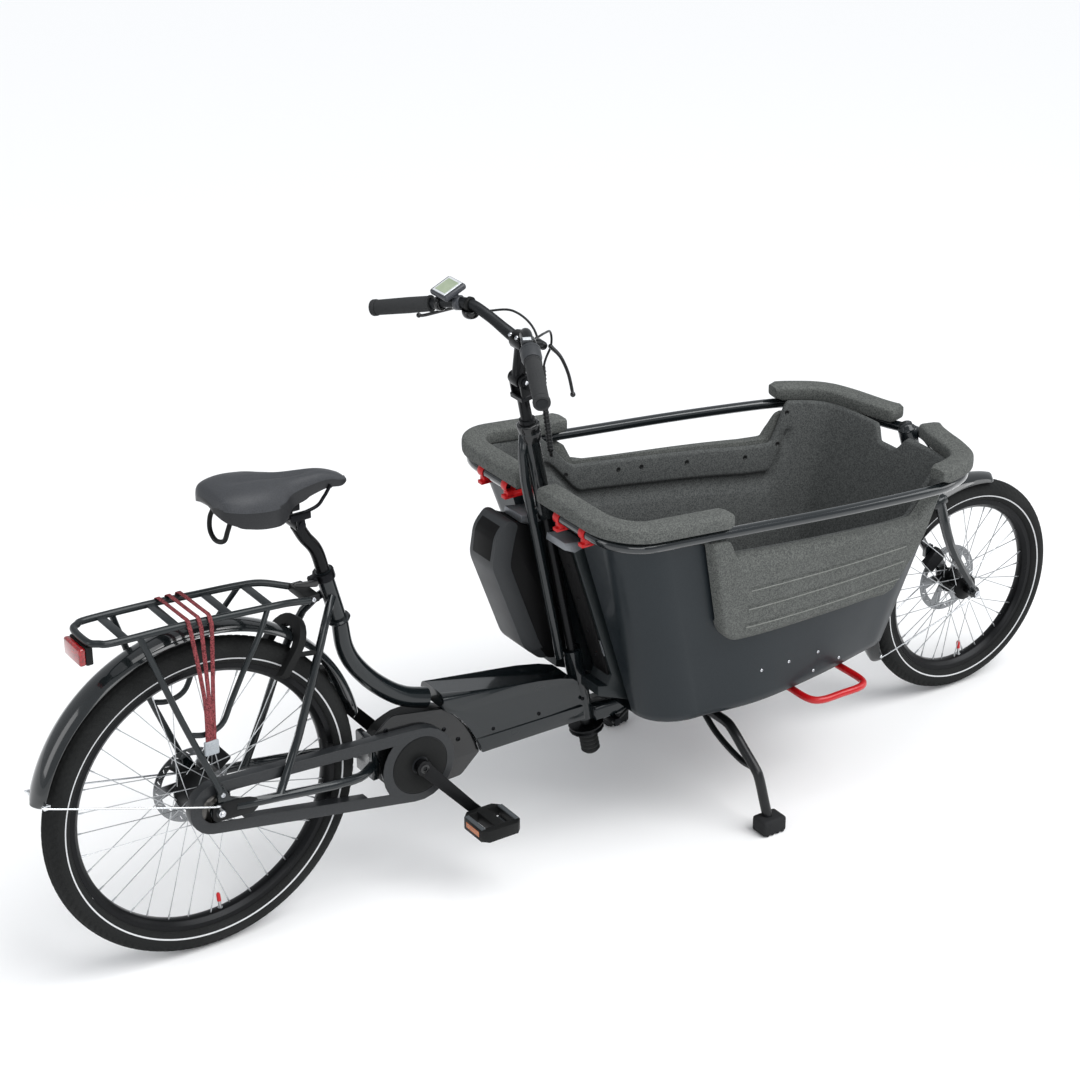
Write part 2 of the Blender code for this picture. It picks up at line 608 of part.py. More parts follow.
# Motor in its cradle, with a cover shell on the drive side
cradle_face = [(x - 0.0005, z - 0.0005) for x, z in CRADLE]
motor_side = (arc((SPINDLE_X, SPINDLE_Z), 0.074, 105, 285, 14) + [(0.565, 0.212)] + cradle_face[::-1][1:]
              + [(0.500, BEAM_TOP - 0.051), (0.455, 0.3600)])
spindle_hole = round_bar((SPINDLE_X, -0.10, SPINDLE_Z), (SPINDLE_X, 0.10, SPINDLE_Z), SPINDLE_RADIUS + RUNNING, 14)
motor = plate(motor_side, -MOTOR_RIGHT, MOTOR_LEFT)
yoke_face = YOKE_X + 0.016 + GAP
motor_tail = block((yoke_face, -0.030, 0.268), (SPINDLE_X - 0.05, 0.030, 0.340), 0.003)
left_boss = round_bar((SPINDLE_X, MOTOR_LEFT - 0.004, SPINDLE_Z), (SPINDLE_X, MOTOR_LEFT + 0.010, SPINDLE_Z),
                      0.030, 16, 0.022)
node("motor", cut(fused(motor, motor_tail, left_boss), spindle_hole), BLACK_METAL)
cover_side = ([(0.3605, 0.352), (0.366, 0.368), (0.400, 0.396), (0.412, 0.3995), (BEAM_REAR_X - GAP, 0.379)]
              + cradle_face
              + [(0.566, 0.214)] + arc((SPINDLE_X, SPINDLE_Z), 0.076, 285, 175, 9))
spindle_ring = circle((SPINDLE_X, SPINDLE_Z), SPINDLE_RADIUS + 0.004, 14)
node("motor_cover", plate(cover_side, -MOTOR_RIGHT - GAP - COVER, -MOTOR_RIGHT - GAP, "y", [spindle_ring]),
     BLACK_PLASTIC)

# Drive: spindle with its chainring, sprocket on the rear hub, chain between them inside its case
RING_PITCH = CHAIN_PITCH / 2 / math.sin(math.pi / CHAINRING_TEETH)
SPROCKET_PITCH = CHAIN_PITCH / 2 / math.sin(math.pi / SPROCKET_TEETH)
CASE_IN = MOTOR_RIGHT + COVER + 2 * GAP
CASE_OUT = CASE_IN + 0.0225


def toothed(centre, pitch_radius, teeth):
    """A sprocket's outline: flat-topped teeth with round-bottomed gaps between them."""
    tip = pitch_radius - CHAIN_HALF - RUNNING
    root = tip - 0.0045
    points = []
    for tooth in range(teeth):
        start = 360 / teeth * tooth
        for share, radius in ((0.0, root), (0.5, tip)):
            turn = math.radians(start + 360 / teeth * share)
            points.append((centre[0] + radius * math.cos(turn), centre[1] + radius * math.sin(turn)))
    return points


def belt(rear_radius, front_radius, steps=12):
    """The outline of a loop that runs round both ends of the drive."""
    span = math.hypot(SPINDLE_X, SPINDLE_Z - REAR_RADIUS)
    slope = math.degrees(math.atan2(SPINDLE_Z - REAR_RADIUS, SPINDLE_X))
    spread = math.degrees(math.asin((front_radius - rear_radius) / span))
    rear = arc((0.0, REAR_RADIUS), rear_radius, slope + 90 + spread, slope + 270 - spread, steps)
    front = arc((SPINDLE_X, SPINDLE_Z), front_radius, slope - 90 - spread, slope + 90 + spread, steps)
    return rear + front


chain = plate(belt(SPROCKET_PITCH + CHAIN_HALF, RING_PITCH + CHAIN_HALF), -CHAIN_Y - 0.0035, -CHAIN_Y + 0.0035,
              "y", [belt(SPROCKET_PITCH - CHAIN_HALF, RING_PITCH - CHAIN_HALF)])
node("chain", chain, STEEL)
sprocket_plate = plate(toothed((0.0, REAR_RADIUS), SPROCKET_PITCH, SPROCKET_TEETH), -CHAIN_Y - 0.0012,
                       -CHAIN_Y + 0.0012, "y", [circle((0.0, REAR_RADIUS), 0.012, 16)])
sprocket_boss = turned([(BORE, -CHAIN_Y + 0.0055 + GAP), (0.0155, -CHAIN_Y + 0.0055 + GAP), (0.0155, -REAR_HALF + 0.002),
                        (BORE, -REAR_HALF + 0.002)], (0, 0, REAR_RADIUS), (0, 1, 0), 14)
node("rear_sprocket", fused(sprocket_boss, sprocket_plate), STEEL, REAR_AXLE)
windows = []
for arm in range(5):
    start = 72 * arm
    windows.append(arc((SPINDLE_X, SPINDLE_Z), RING_PITCH - 0.016, start + 12, start + 60, 3)
                   + arc((SPINDLE_X, SPINDLE_Z), 0.026, start + 50, start + 22, 2))
ring_plate = plate(toothed((SPINDLE_X, SPINDLE_Z), RING_PITCH, CHAINRING_TEETH), -CHAIN_Y - 0.0015, -CHAIN_Y + 0.0015,
                   "y", windows)
spindle = round_bar((SPINDLE_X, -CRANK_FACE + 0.002, SPINDLE_Z), (SPINDLE_X, CRANK_FACE - 0.002, SPINDLE_Z),
                    SPINDLE_RADIUS, 14)
node("chainring", fused(spindle, ring_plate), STEEL, SPINDLE)

case_side = belt(CASE_REAR, CASE_FRONT)


def case_line(x, hand):
    """The height of the chain case's upper or lower line."""
    rear = REAR_RADIUS + hand * CASE_REAR
    return rear + (SPINDLE_Z + hand * CASE_FRONT - rear) * x / SPINDLE_X


hole = (arc((0.0, REAR_RADIUS), CASE_REAR - CASE_BAND, 87, 277, 10)
        + arc((SPINDLE_X, SPINDLE_Z), CASE_FRONT + 0.004, 212, 135, 6))
channel = belt(CASE_REAR - CASE_WALL, CASE_FRONT - CASE_WALL)
inset = CASE_BAND - CASE_WALL
island = [(x, case_line(x, hand) - hand * inset) for x, hand in ((0.060, 1), (0.060, -1), (0.335, -1), (0.335, 1))]
case = plate(case_side, -CASE_OUT, -CASE_IN, "y", [hole, circle((SPINDLE_X, SPINDLE_Z), SPINDLE_RADIUS + 0.003, 14)])
case_channel = plate(channel, -CASE_OUT + CASE_WALL, -CASE_IN + 0.01, "y", [island])
node("chain_case", cut(case, case_channel), BLACK_PLASTIC)


def crank(hand, turn):
    """A crank arm: a tapered bar between two eyes, swept outwards towards the pedal."""
    big = arc((0, 0), 0.0165, 60, 300, 10)
    small = arc((CRANK_LENGTH, 0), 0.0125, -115, 115, 8)
    outline = big + small
    form = plate(outline, -0.0065, 0.0065, "z", [circle((CRANK_LENGTH, 0), PEDAL_AXLE + 0.0012, 12)])
    bmesh.ops.bisect_plane(form, geom=form.verts[:] + form.edges[:] + form.faces[:],
                           plane_co=(CRANK_LENGTH * 0.25, 0, 0), plane_no=(1, 0, 0))
    bmesh.ops.bisect_plane(form, geom=form.verts[:] + form.edges[:] + form.faces[:],
                           plane_co=(CRANK_LENGTH * 0.8, 0, 0), plane_no=(1, 0, 0))
    for spot in form.verts:
        share = min(1.0, max(0.0, (spot.co.x - CRANK_LENGTH * 0.25) / (CRANK_LENGTH * 0.55)))
        spot.co.z += CRANK_SWEEP * share
    lay = Matrix(((1, 0, 0, 0), (0, 0, hand, 0), (0, 1, 0, 0), (0, 0, 0, 1)))
    form.transform(lay)
    if hand > 0:
        bmesh.ops.reverse_faces(form, faces=form.faces)
    form.transform(Matrix.Translation(SPINDLE + Vector((0, hand * (CRANK_FACE + 0.0065), 0)))
                   @ Matrix.Rotation(-turn, 4, "Y"))
    return form


def pedal(hand, turn):
    """A pedal: a flat cage with three cross ribs round a bearing tube, on its axle in the crank's eye."""
    centre = SPINDLE + Vector((CRANK_LENGTH * math.cos(turn), 0, CRANK_LENGTH * math.sin(turn)))
    inner = CRANK_FACE + CRANK_SWEEP + 0.013 + 0.001
    low = inner + 0.006
    outline = [(-0.030, 0.0), (-0.046, 0.016), (-0.046, 0.082), (-0.034, PEDAL_WIDTH), (0.034, PEDAL_WIDTH),
               (0.046, 0.082), (0.046, 0.016), (0.030, 0.0)]
    slots = [block((x - 0.0130, 0.0122, -0.02), (x + 0.0130, 0.0755, 0.02)) for x in (-0.0247, 0.0247)]
    cage = cut(plate(outline, -0.0125, 0.0125, "z"), *slots)
    cage.transform(Matrix.Translation(centre + Vector((0, hand * low, 0))) @ Matrix.Diagonal((1, hand, 1, 1)))
    if hand < 0:
        bmesh.ops.reverse_faces(cage, faces=cage.faces)
    place = centre + Vector((0, hand * (CRANK_FACE + CRANK_SWEEP - 0.002), 0))
    pin = round_bar(place, centre + Vector((0, hand * (low + 0.02), 0)), PEDAL_AXLE, 12)
    sleeve = round_bar(centre + Vector((0, hand * inner, 0)), centre + Vector((0, hand * (low + 0.005), 0)), 0.010, 12)
    return fused(cage, sleeve, pin), centre


for side, hand, turn in (("right", -1, CRANK_ANGLE), ("left", 1, CRANK_ANGLE + math.pi)):
    node("crank_" + side, crank(hand, turn), BLACK_METAL, SPINDLE)
    form, centre = pedal(hand, turn)
    node("pedal_" + side, form, BLACK_PLASTIC, centre)

# Fork: steerer in the front head tube, crown, two blades that sweep forward to the hub, and its axle
fork_low = fork_axis(CROWN_Z)
steerer = round_bar(fork_axis(CROWN_Z), fork_axis(HEAD_HIGH + 0.012), FRONT_STEERER / 2, 16)
crown = block((-0.020, -BLADE_Y - 0.010, -0.011), (0.020, BLADE_Y + 0.010, 0.011), 0.005)
crown.transform(Matrix.Translation(fork_low) @ Matrix.Rotation(-FORK_LEAN, 4, "Y"))
top_cap = turned([(0, 0.006), (0.0165, 0.005), (0.0185, 0.0), (0, 0.0)], fork_axis(HEAD_HIGH) + FORK_UP * 0.0005,
                 FORK_UP, 14)
race = turned([(0, 0.008), (0.0200, 0.008), (0.0205, 0.0035), (0.0370, 0.0035), (0.0345, 0.0), (0.0370, -0.0035),
               (0, -0.0035)], fork_axis(HEAD_LOW) - FORK_UP * 0.0085,
              FORK_UP, 14)
FRONT_FACE = FRONT_HALF + 0.0005
blades = []
for hand in (-1, 1):
    tip_y = hand * (FRONT_FACE + 0.0085)
    path = smooth([(fork_low.x, hand * BLADE_Y, fork_low.z), (1.834, hand * BLADE_Y, 0.453),
                   (1.8535, hand * BLADE_Y, 0.400), (1.880, hand * BLADE_Y, 0.350),
                   (1.911, hand * (BLADE_Y - 0.002), 0.302), (WHEELBASE - 0.006, tip_y, FRONT_RADIUS + 0.012)], 2)
    radii = [0.0125 - 0.0045 * i / (len(path) - 1) for i in range(len(path))]
    blades.append(tube(path, radii, 1))
    blades.append(round_bar((WHEELBASE, hand * FRONT_FACE, FRONT_RADIUS),
                            (WHEELBASE, hand * (FRONT_FACE + 0.008), FRONT_RADIUS), 0.014, 16))
    blades.append(round_bar((WHEELBASE, hand * (FRONT_FACE + 0.007), FRONT_RADIUS),
                            (WHEELBASE, hand * (FRONT_FACE + 0.015), FRONT_RADIUS), 0.0095, 12))
front_axle = round_bar((WHEELBASE, -FRONT_FACE - 0.003, FRONT_RADIUS), (WHEELBASE, FRONT_FACE + 0.003, FRONT_RADIUS),
                       AXLE_RADIUS, 16)
blade_lug = block((1.8785, FRONT_ROTOR_Y + 0.0085 + GAP, 0.318), (1.900, BLADE_Y - 0.002, 0.345))
node("fork", fused(steerer, crown, top_cap, race, *blades, front_axle, blade_lug), FRAME_PAINT, fork_axis(HEAD_LOW))


def calliper(axle, angle, y):
    """A brake calliper: a body slotted for the disc, with its two pistons' bulge."""
    body = block((-0.026, -0.0125, -0.017), (0.026, 0.0085, 0.019), 0.004)
    slot = block((-0.04, -ROTOR_THICKNESS / 2 - RUNNING, -0.03), (0.04, ROTOR_THICKNESS / 2 + RUNNING, 0.011))
    form = cut(body, slot)
    away = Vector((math.cos(angle), 0, math.sin(angle)))
    form.transform(Matrix.Translation(axle + away * (ROTOR_RADIUS - 0.006) + Vector((0, y, 0)))
                   @ Matrix.Rotation(math.pi / 2 - angle, 4, "Y"))
    return form


node("front_calliper", calliper(FRONT_AXLE, math.radians(128), FRONT_ROTOR_Y), BLACK_METAL, fork_axis(HEAD_LOW))
node("rear_calliper", calliper(REAR_AXLE, math.radians(38), REAR_ROTOR_Y), BLACK_METAL)


def mudguard(axle, start, end, radii, half_width, depth, steps):
    """A mudguard shell: a shallow arch swept round the tyre, its radius eased between three given ones."""
    form = bmesh.new()
    rows = []
    for step in range(steps + 1):
        share = step / steps
        turn = math.radians(start + (end - start) * share)
        radius = (radii[0] * (1 - share) * (1 - 2 * share) + 4 * radii[1] * share * (1 - share)
                  + radii[2] * share * (2 * share - 1))
        row = []
        for across in range(5):
            lean = math.radians(-75 + 37.5 * across)
            r = radius - depth * (1 - math.cos(lean)) / (1 - math.cos(math.radians(75)))
            row.append(form.verts.new((axle.x + r * math.cos(turn), half_width * math.sin(lean) / math.sin(math.radians(75)),
                                       axle.z + r * math.sin(turn))))
        rows.append(row)
    for first, second in zip(rows, rows[1:]):
        for a, b, c, d in zip(first, first[1:], second[1:], second):
            form.faces.new((a, b, c, d))
    item = solid(form)
    shell = item.modifiers.new("wall", "SOLIDIFY")
    shell.thickness = 0.0016
    shell.offset = 0.0
    return evaluated(item)


def guard_edge(axle, turn, radius, depth, y):
    """A point on a mudguard's edge."""
    reach = radius - depth
    return Vector((axle.x + reach * math.cos(math.radians(turn)), y, axle.z + reach * math.sin(math.radians(turn))))


rear_guard = mudguard(REAR_AXLE, 13, 165, (0.3560, 0.3715, 0.3630), 0.0320, 0.014, 16)
stays = []
for hand in (-1, 1):
    end_y = hand * (PLATE_OUT + 0.0025)
    edge = guard_edge(REAR_AXLE, 163, 0.3633, 0.014, hand * 0.0320)
    stays.append(tube([edge, edge + Vector((0.016, hand * 0.012, -0.005)), (-0.030, end_y, 0.3555),
                       (-0.008, end_y, 0.3505)], 0.0021, 0))
node("rear_mudguard", fused(rear_guard, *stays), FRAME_PAINT)
front_guard = mudguard(FRONT_AXLE, 74, 207, (0.2705, 0.2735, 0.2795), 0.0310, 0.013, 14)
to_crown = fork_low - FORK_UP * 0.011 - FRONT_AXLE
guard_lug = round_bar(FRONT_AXLE + to_crown.normalized() * 0.2705, FRONT_AXLE + to_crown * 0.9935, 0.006, 10)
stays = []
for hand in (-1, 1):
    end_y = hand * (FRONT_FACE + 0.0173)
    edge = guard_edge(FRONT_AXLE, 202, 0.2790, 0.013, hand * 0.0310)
    stays.append(tube([edge, edge + Vector((0.010, hand * 0.010, 0.004)), (1.900, end_y, 0.2400),
                       (1.926, end_y, 0.2500)], 0.0018, 0))
node("front_mudguard", fused(front_guard, guard_lug, *stays), FRAME_PAINT, fork_axis(HEAD_LOW))

# Ring lock: a horseshoe across the rear wheel, on two short arms to the seat stays
horseshoe = (arc((0, 0.339), 0.0575, 0, 180, 12) + [(-0.0575, 0.290), (-0.050, 0.281), (-0.040, 0.281)]
             + arc((0, 0.3345), 0.0395, 180, 0, 12) + [(0.040, 0.281), (0.050, 0.281), (0.0575, 0.290)])
lock = plate(horseshoe, -0.008, 0.008)
away = Vector((math.cos(LOCK_ANGLE), 0, math.sin(LOCK_ANGLE)))
lock.transform(Matrix.Translation(REAR_AXLE) @ Matrix(((0, -away.z, away.x, 0), (1, 0, 0, 0), (0, away.x, away.z, 0),
                                                       (0, 0, 0, 1))))
arms = [round_bar((0.192, hand * 0.052, 0.607), (0.2420, hand * 0.0535, 0.600), 0.005, 10) for hand in (-1, 1)]
clear = [tube(seat_stay_line(hand), SEAT_STAY_TUBE / 2 + GAP) for hand in (-1, 1)]
node("ring_lock", cut(fused(lock, *arms), *clear), BLACK_PLASTIC)

# Rack: a U-shaped tube with flat bars across it, legs and hoops on both sides, clamped behind the seat tube
rack_side = [(0.235, 0.037, 0.7055), (0.180, 0.053, 0.722), (0.130, RACK_HALF_WIDTH, 0.728),
             (-0.05, RACK_HALF_WIDTH, 0.741), (-0.180, RACK_HALF_WIDTH, 0.745)]
rack_end = [(-0.208, RACK_HALF_WIDTH - 0.010, 0.746), (-0.222, RACK_HALF_WIDTH - 0.028, 0.746)]
half_loop = smooth(rack_side + rack_end, 1)
loop = half_loop + [Vector((p[0], -p[1], p[2])) for p in half_loop[::-1]]
pieces = []
for x, z in ((-0.158, 0.7445), (-0.055, 0.7415), (0.056, 0.7335), (0.142, 0.7270)):
    pieces.append(block((x - 0.009, -RACK_HALF_WIDTH, z - 0.002), (x + 0.009, RACK_HALF_WIDTH, z + 0.002)))
for hand in (-1, 1):
    foot_y = hand * (PLATE_OUT + GAP + 0.0065)
    leg = [(-0.132, hand * 0.059, 0.742), (-0.1180, hand * 0.066, 0.700), (-0.0675, hand * 0.0785, 0.554),
           (-0.010, foot_y, 0.410), (0.004, foot_y, 0.373)]
    hoop = [(0.135, hand * 0.058, 0.727), (0.105, hand * 0.072, 0.680), (0.070, hand * 0.079, 0.630),
            (0.038, hand * 0.079, 0.569), (0.015, hand * 0.079, 0.525), (-0.020, hand * 0.079, 0.513),
            (-0.053, hand * 0.0785, 0.520)]
    pieces.append(tube(smooth(leg, 1), 0.0065, 1))
    pieces.append(tube(smooth(hoop, 1), 0.0055, 1))
clamp = block((0.226, -0.038, 0.6975), (0.281, 0.038, 0.7135), 0.003)
tube_space = round_bar(on_seat_tube(0.68), on_seat_tube(0.74), SEAT_TUBE / 2 + GAP, 24)
node("rack", fused(tube(loop, RACK_TUBE / 2, 1), *pieces, cut(clamp, tube_space)), BLACK_METAL)

# Elastic straps over the rack's right tube, gathered in one clip below
straps = []
clip_top = Vector((-0.015, -0.0885, 0.497))
for index, (inner_x, inner_y) in enumerate(((-0.042, 0.037), (-0.0185, 0.021), (0.005, 0.005))):
    over_x = (-0.032, -0.007, 0.016)[index]
    straps.append(tube([(inner_x, inner_y, 0.7520), (over_x - 0.002, -0.050, 0.7520), (over_x, -0.0600, 0.7510),
                        (over_x, -0.0675, 0.7430), (over_x, -0.0700, 0.7340), (over_x * 0.6 - 0.006, -0.0885, 0.5900),
                        (clip_top.x + (index - 1) * 0.006, clip_top.y, clip_top.z)], 0.0022, 1))
clip = block((-0.031, -0.0925, 0.4700), (0.001, -0.0840, 0.5020), 0.002)
bridge = tube([(-0.050, 0.0385, 0.7520), (0.012, 0.0030, 0.7520)], 0.0024, 1)
node("rack_straps", fused(clip, bridge, *straps), WEBBING)
node("tail_light", block((-0.2425, -0.035, 0.7000), (-0.2150, 0.035, 0.7375), 0.005), RED_LENS)

# Seatpost, its clamp with a quick-release lever, saddle on rails
post_top = [SEAT_TOP - SEAT_UP * 0.085, SEAT_TOP + SEAT_UP * 0.045, (0.2520, 0, 0.820), (0.2420, 0, 0.838),
            (0.2350, 0, 0.8520)]
post = tube([post_top[0], post_top[1]] + smooth(post_top[1:], 2)[1:], SEATPOST / 2, 4)
post_head = round_bar((0.2330, -0.020, 0.8560), (0.2330, 0.020, 0.8560), 0.0115, 16)
node("seatpost", fused(post, post_head), BLACK_METAL, SEAT_TOP)
collar_low = SEAT_TOP - SEAT_UP * 0.0185
seat_ring = round_bar(collar_low, SEAT_TOP - SEAT_UP * 0.0015, 0.0215, 16)
lug = block((-0.0335, -0.009, -0.0070), (-0.015, 0.009, 0.0070), 0.002)
lug.transform(Matrix.Translation(SEAT_TOP - SEAT_UP * 0.0085) @ Matrix.Rotation(-SEAT_LEAN, 4, "Y"))
lever_seat = on_seat_tube(0.7337) + Vector((-0.0265, 0, -0.0060))
lug_bolt = round_bar(lever_seat + Vector((0, -0.0150, 0)), lever_seat + Vector((0, 0.0130, 0)), 0.003, 10)
slit = block((0.2400, -0.001, 0.70), (0.2750, 0.001, 0.76))
ring_bore = round_bar(on_seat_tube(0.70), on_seat_tube(0.77), SEAT_TUBE / 2 + GAP, 24)
node("seat_clamp", cut(fused(seat_ring, lug, lug_bolt), ring_bore), BLACK_METAL)
hinge = lever_seat + Vector((0, -0.0205, 0))
lever_arm = plate([(0.0015, -0.0050), (0.0015, 0.0050), (-0.004, 0.0065), (-0.050, 0.0040), (-0.0560, 0.0),
                   (-0.050, -0.0045), (-0.004, -0.0065)], -0.0035, 0.0035)
lever_arm.transform(Matrix.Translation(hinge) @ Matrix.Rotation(math.radians(12), 4, "Y"))
node("clamp_lever", lever_arm, BLACK_METAL, hinge)


def saddle_shape():
    """The cushion: rings across the saddle, each crowned above and drawn in below."""
    rows = [(0.036, 0.040, 0.9560, 0.9300), (0.050, 0.073, 0.9740, 0.9170), (0.095, 0.086, 0.9780, 0.9060),
            (0.150, 0.071, 0.9720, 0.9080), (0.210, 0.040, 0.9630, 0.9150), (0.285, 0.023, 0.9545, 0.9170),
            (0.326, 0.017, 0.9380, 0.9120), (0.342, 0.008, 0.9260, 0.9150)]
    cage = bmesh.new()
    rings = []
    for x, half, top, low in rows:
        section = [(0.0, top), (0.62 * half, top - 0.001), (0.96 * half, top - 0.010), (0.98 * half, low + 0.004),
                   (0.60 * half, low + 0.004), (0.0, low + 0.010)]
        section += [(-y, z) for y, z in section[-2:0:-1]]
        rings.append([cage.verts.new((x, y, z)) for y, z in section])
    for first, second in zip(rings, rings[1:]):
        for i in range(len(first)):
            j = (i + 1) % len(first)
            cage.faces.new((first[i], first[j], second[j], second[i]))
    cage.faces.new(rings[0][::-1])
    cage.faces.new(rings[-1])
    item = solid(cage)
    item.modifiers.new("round", "SUBSURF").levels = 1
    return evaluated(item)


rail_path = [(0.300, 0.022, 0.9270), (0.284, 0.022, 0.9050), (0.262, 0.022, 0.8880), (0.190, 0.022, 0.8790),
             (0.140, 0.027, 0.8820), (0.100, 0.033, 0.8960), (0.078, 0.035, 0.9220)]
bumper = [(0.082, 0.034, 0.9180), (0.072, 0.036, 0.8960), (0.067, 0.028, 0.8730), (0.064, 0.0, 0.8640),
          (0.067, -0.028, 0.8730), (0.072, -0.036, 0.8960), (0.082, -0.034, 0.9180)]
left_rail = tube(smooth(rail_path, 1), 0.0035, 1)
seat_block = block((0.208, -0.029, 0.8700), (0.254, 0.029, 0.8860), 0.003)
nose_bar = tube([(0.300, -0.0225, 0.9230), (0.300, 0.0225, 0.9230)], 0.0035)
node("saddle_rails", fused(left_rail, mirrored(left_rail), seat_block, tube(smooth(bumper, 1), 0.004, 1), nose_bar),
     BLACK_METAL, SEAT_TOP)


def longer(points):
    """The same line with both ends run on a little."""
    first, second = Vector(points[0]), Vector(points[1])
    last, before = Vector(points[-1]), Vector(points[-2])
    reach = 2 * GAP
    return ([first + (first - second).normalized() * reach] + points[1:-1]
            + [last + (last - before).normalized() * reach])


wide_rail = tube(longer(smooth(rail_path, 1)), 0.0035 + GAP, 1)
wide_bumper = tube(longer(smooth(bumper, 1)), 0.004 + GAP, 1)
wide_bar = tube([(0.300, -0.0235, 0.9230), (0.300, 0.0235, 0.9230)], 0.0035 + GAP)
node("saddle", cut(saddle_shape(), wide_rail, mirrored(wide_rail), wide_bumper, wide_bar), PADDING, SEAT_TOP)

# Stem on the tilting pivot, and the handlebar in its clamp
stem_eye = round_bar((pivot.x, -0.0130, pivot.z), (pivot.x, 0.0130, pivot.z), 0.0165, 14)
stem_arm = round_bar(pivot + COLUMN_UP * 0.004, (BAR_X, 0, BAR_Z), 0.0145, 14, 0.0140)
stem_clamp = round_bar((BAR_X, -0.018, BAR_Z), (BAR_X, 0.018, BAR_Z), 0.0195, 14)
pivot_bore = round_bar((pivot.x, -0.03, pivot.z), (pivot.x, 0.03, pivot.z), 0.004 + RUNNING, 16)
bar_bore = round_bar((BAR_X, -0.03, BAR_Z), (BAR_X, 0.03, BAR_Z), BAR_TUBE / 2 + GAP, 24)
node("stem", cut(fused(stem_eye, stem_arm, stem_clamp), pivot_bore, bar_bore), BLACK_METAL, pivot)

GRIP_WAY = (GRIP_END - GRIP_START).normalized()
half_bar = smooth([(BAR_X, 0.024, BAR_Z), (0.738, 0.042, 1.126), (0.715, 0.065, 1.152), (0.695, 0.100, 1.170),
                   (0.674, 0.142, 1.1655), GRIP_START - GRIP_WAY * 0.012], 1) + [GRIP_END + GRIP_WAY * 0.001]
bar_line = [Vector((p[0], -p[1], p[2])) for p in half_bar[::-1]] + half_bar


def bar_radius(point):
    """The bar is thick in its clamp and slimmer outwards."""
    return BAR_TUBE / 2 - 0.0017 * min(1.0, max(0.0, (abs(point[1]) - 0.03) / 0.03))


def on_grip(y, hand=1):
    """The point of the straight grip end of the bar at a distance from the middle."""
    point = GRIP_START + GRIP_WAY * ((y - GRIP_START.y) / GRIP_WAY.y)
    return Vector((point.x, hand * point.y, point.z))


def grip_way(hand):
    return Vector((GRIP_WAY.x, hand * GRIP_WAY.y, GRIP_WAY.z))


bar = tube(bar_line, [bar_radius(p) for p in bar_line], 2)
perches = []
hose_ends = []
levers = []
for hand, y in ((1, 0.163), (-1, 0.139)):
    spot = Vector((0.6640, hand * y, 1.1590)) if hand > 0 else Vector((0.6765, hand * y, 1.1645))
    ring = round_bar(spot - grip_way(hand) * 0.006, spot + grip_way(hand) * 0.006, 0.0150, 16)
    joint = Vector((spot.x + 0.038, hand * (y - 0.004), spot.z - 0.012))
    tank_in = spot + Vector((0.030, -hand * 0.022, -0.006))
    tank_out = joint + Vector((-0.006, hand * 0.008, 0.003))
    perches += [ring, round_bar(tank_in, tank_out, 0.0085), round_bar(spot, spot + Vector((0.028, 0, -0.006)), 0.0060)]
    hose_ends.append((tank_in, (tank_in - tank_out).normalized()))
    blade = smooth([joint + Vector((0.0125, hand * 0.002, -0.003)), joint + Vector((0.016, hand * 0.030, -0.016)),
                    joint + Vector((0.006, hand * 0.070, -0.034)), joint + Vector((-0.012, hand * 0.112, -0.052)),
                    joint + Vector((-0.018, hand * 0.124, -0.054))], 2)
    levers.append((hand, joint, tube(blade, 0.0050)))
node("handlebar", fused(bar, *perches), BLACK_METAL, pivot)
for hand, joint, blade in levers:
    side = "left" if hand > 0 else "right"
    node("brake_lever_" + side, blade, BLACK_METAL, joint + Vector((0.0125, hand * 0.002, -0.003)))
grip_bore = 0.0111 + GAP
for side, hand, start, end in (("left", 1, 0.1800, 0.3060), ("right", -1, 0.1905, 0.3060)):
    way = grip_way(hand)
    first = on_grip(start, hand)
    length = (on_grip(end, hand) - first).length
    half = GRIP_DIAMETER / 2
    grip = turned([(grip_bore, 0.0), (half, 0.0), (half, 0.004), (half - 0.002, 0.008), (half - 0.001, length * 0.5),
                   (half - 0.001, length - 0.006), (half, length), (grip_bore, length)], first, way, 14)
    node("grip_" + side, grip, RUBBER, pivot)
drum_start = on_grip(0.1560, -1)
drum_end = on_grip(0.1890, -1)
drum_length = (drum_end - drum_start).length
drum = turned([(grip_bore + 0.0006, 0.0), (0.0190, 0.0), (0.0200, 0.004), (0.0200, drum_length - 0.008), (0.0175, drum_length),
               (grip_bore + 0.0006, drum_length)], drum_start, grip_way(-1), 14)
node("twist_shifter", drum, BLACK_PLASTIC, drum_start)

# Display on a foot, and a bell with its striker under the bar
screen = block((0.6480, 0.1180, 1.1850), (0.7020, 0.1800, 1.1980), 0.004)
foot = round_bar((0.6800, 0.1270, 1.1660), (0.6780, 0.1270, 1.1880), 0.006, 12)
foot_ring = round_bar((0.6865, 0.1180, 1.1690), (0.6800, 0.1300, 1.1665), 0.0150, 16)
bar_room = tube(bar_line, [bar_radius(p) + GAP for p in bar_line], 2)
node("display", cut(fused(screen, foot, foot_ring), bar_room.copy()), BLACK_PLASTIC, pivot)
bell_base = round_bar((0.6950, 0.0960, 1.1700), (0.6925, 0.1040, 1.1700), 0.0150, 16)
bell_dome = turned([(0.0, 0.0), (0.0180, 0.0), (0.0180, -0.006), (0.0145, -0.014), (0.007, -0.018), (0.0, -0.019)],
                   (0.6960, 0.1000, 1.1580), (0, 0, 1), 14)
node("bell", cut(fused(bell_base, bell_dome), bar_room), BLACK_METAL, pivot)
striker = tube([(0.7165, 0.0940, 1.1450), (0.7190, 0.0900, 1.1450), (0.7230, 0.0780, 1.1450)], 0.0022)
node("bell_lever", striker, BLACK_PLASTIC, (0.7165, 0.0940, 1.1450))

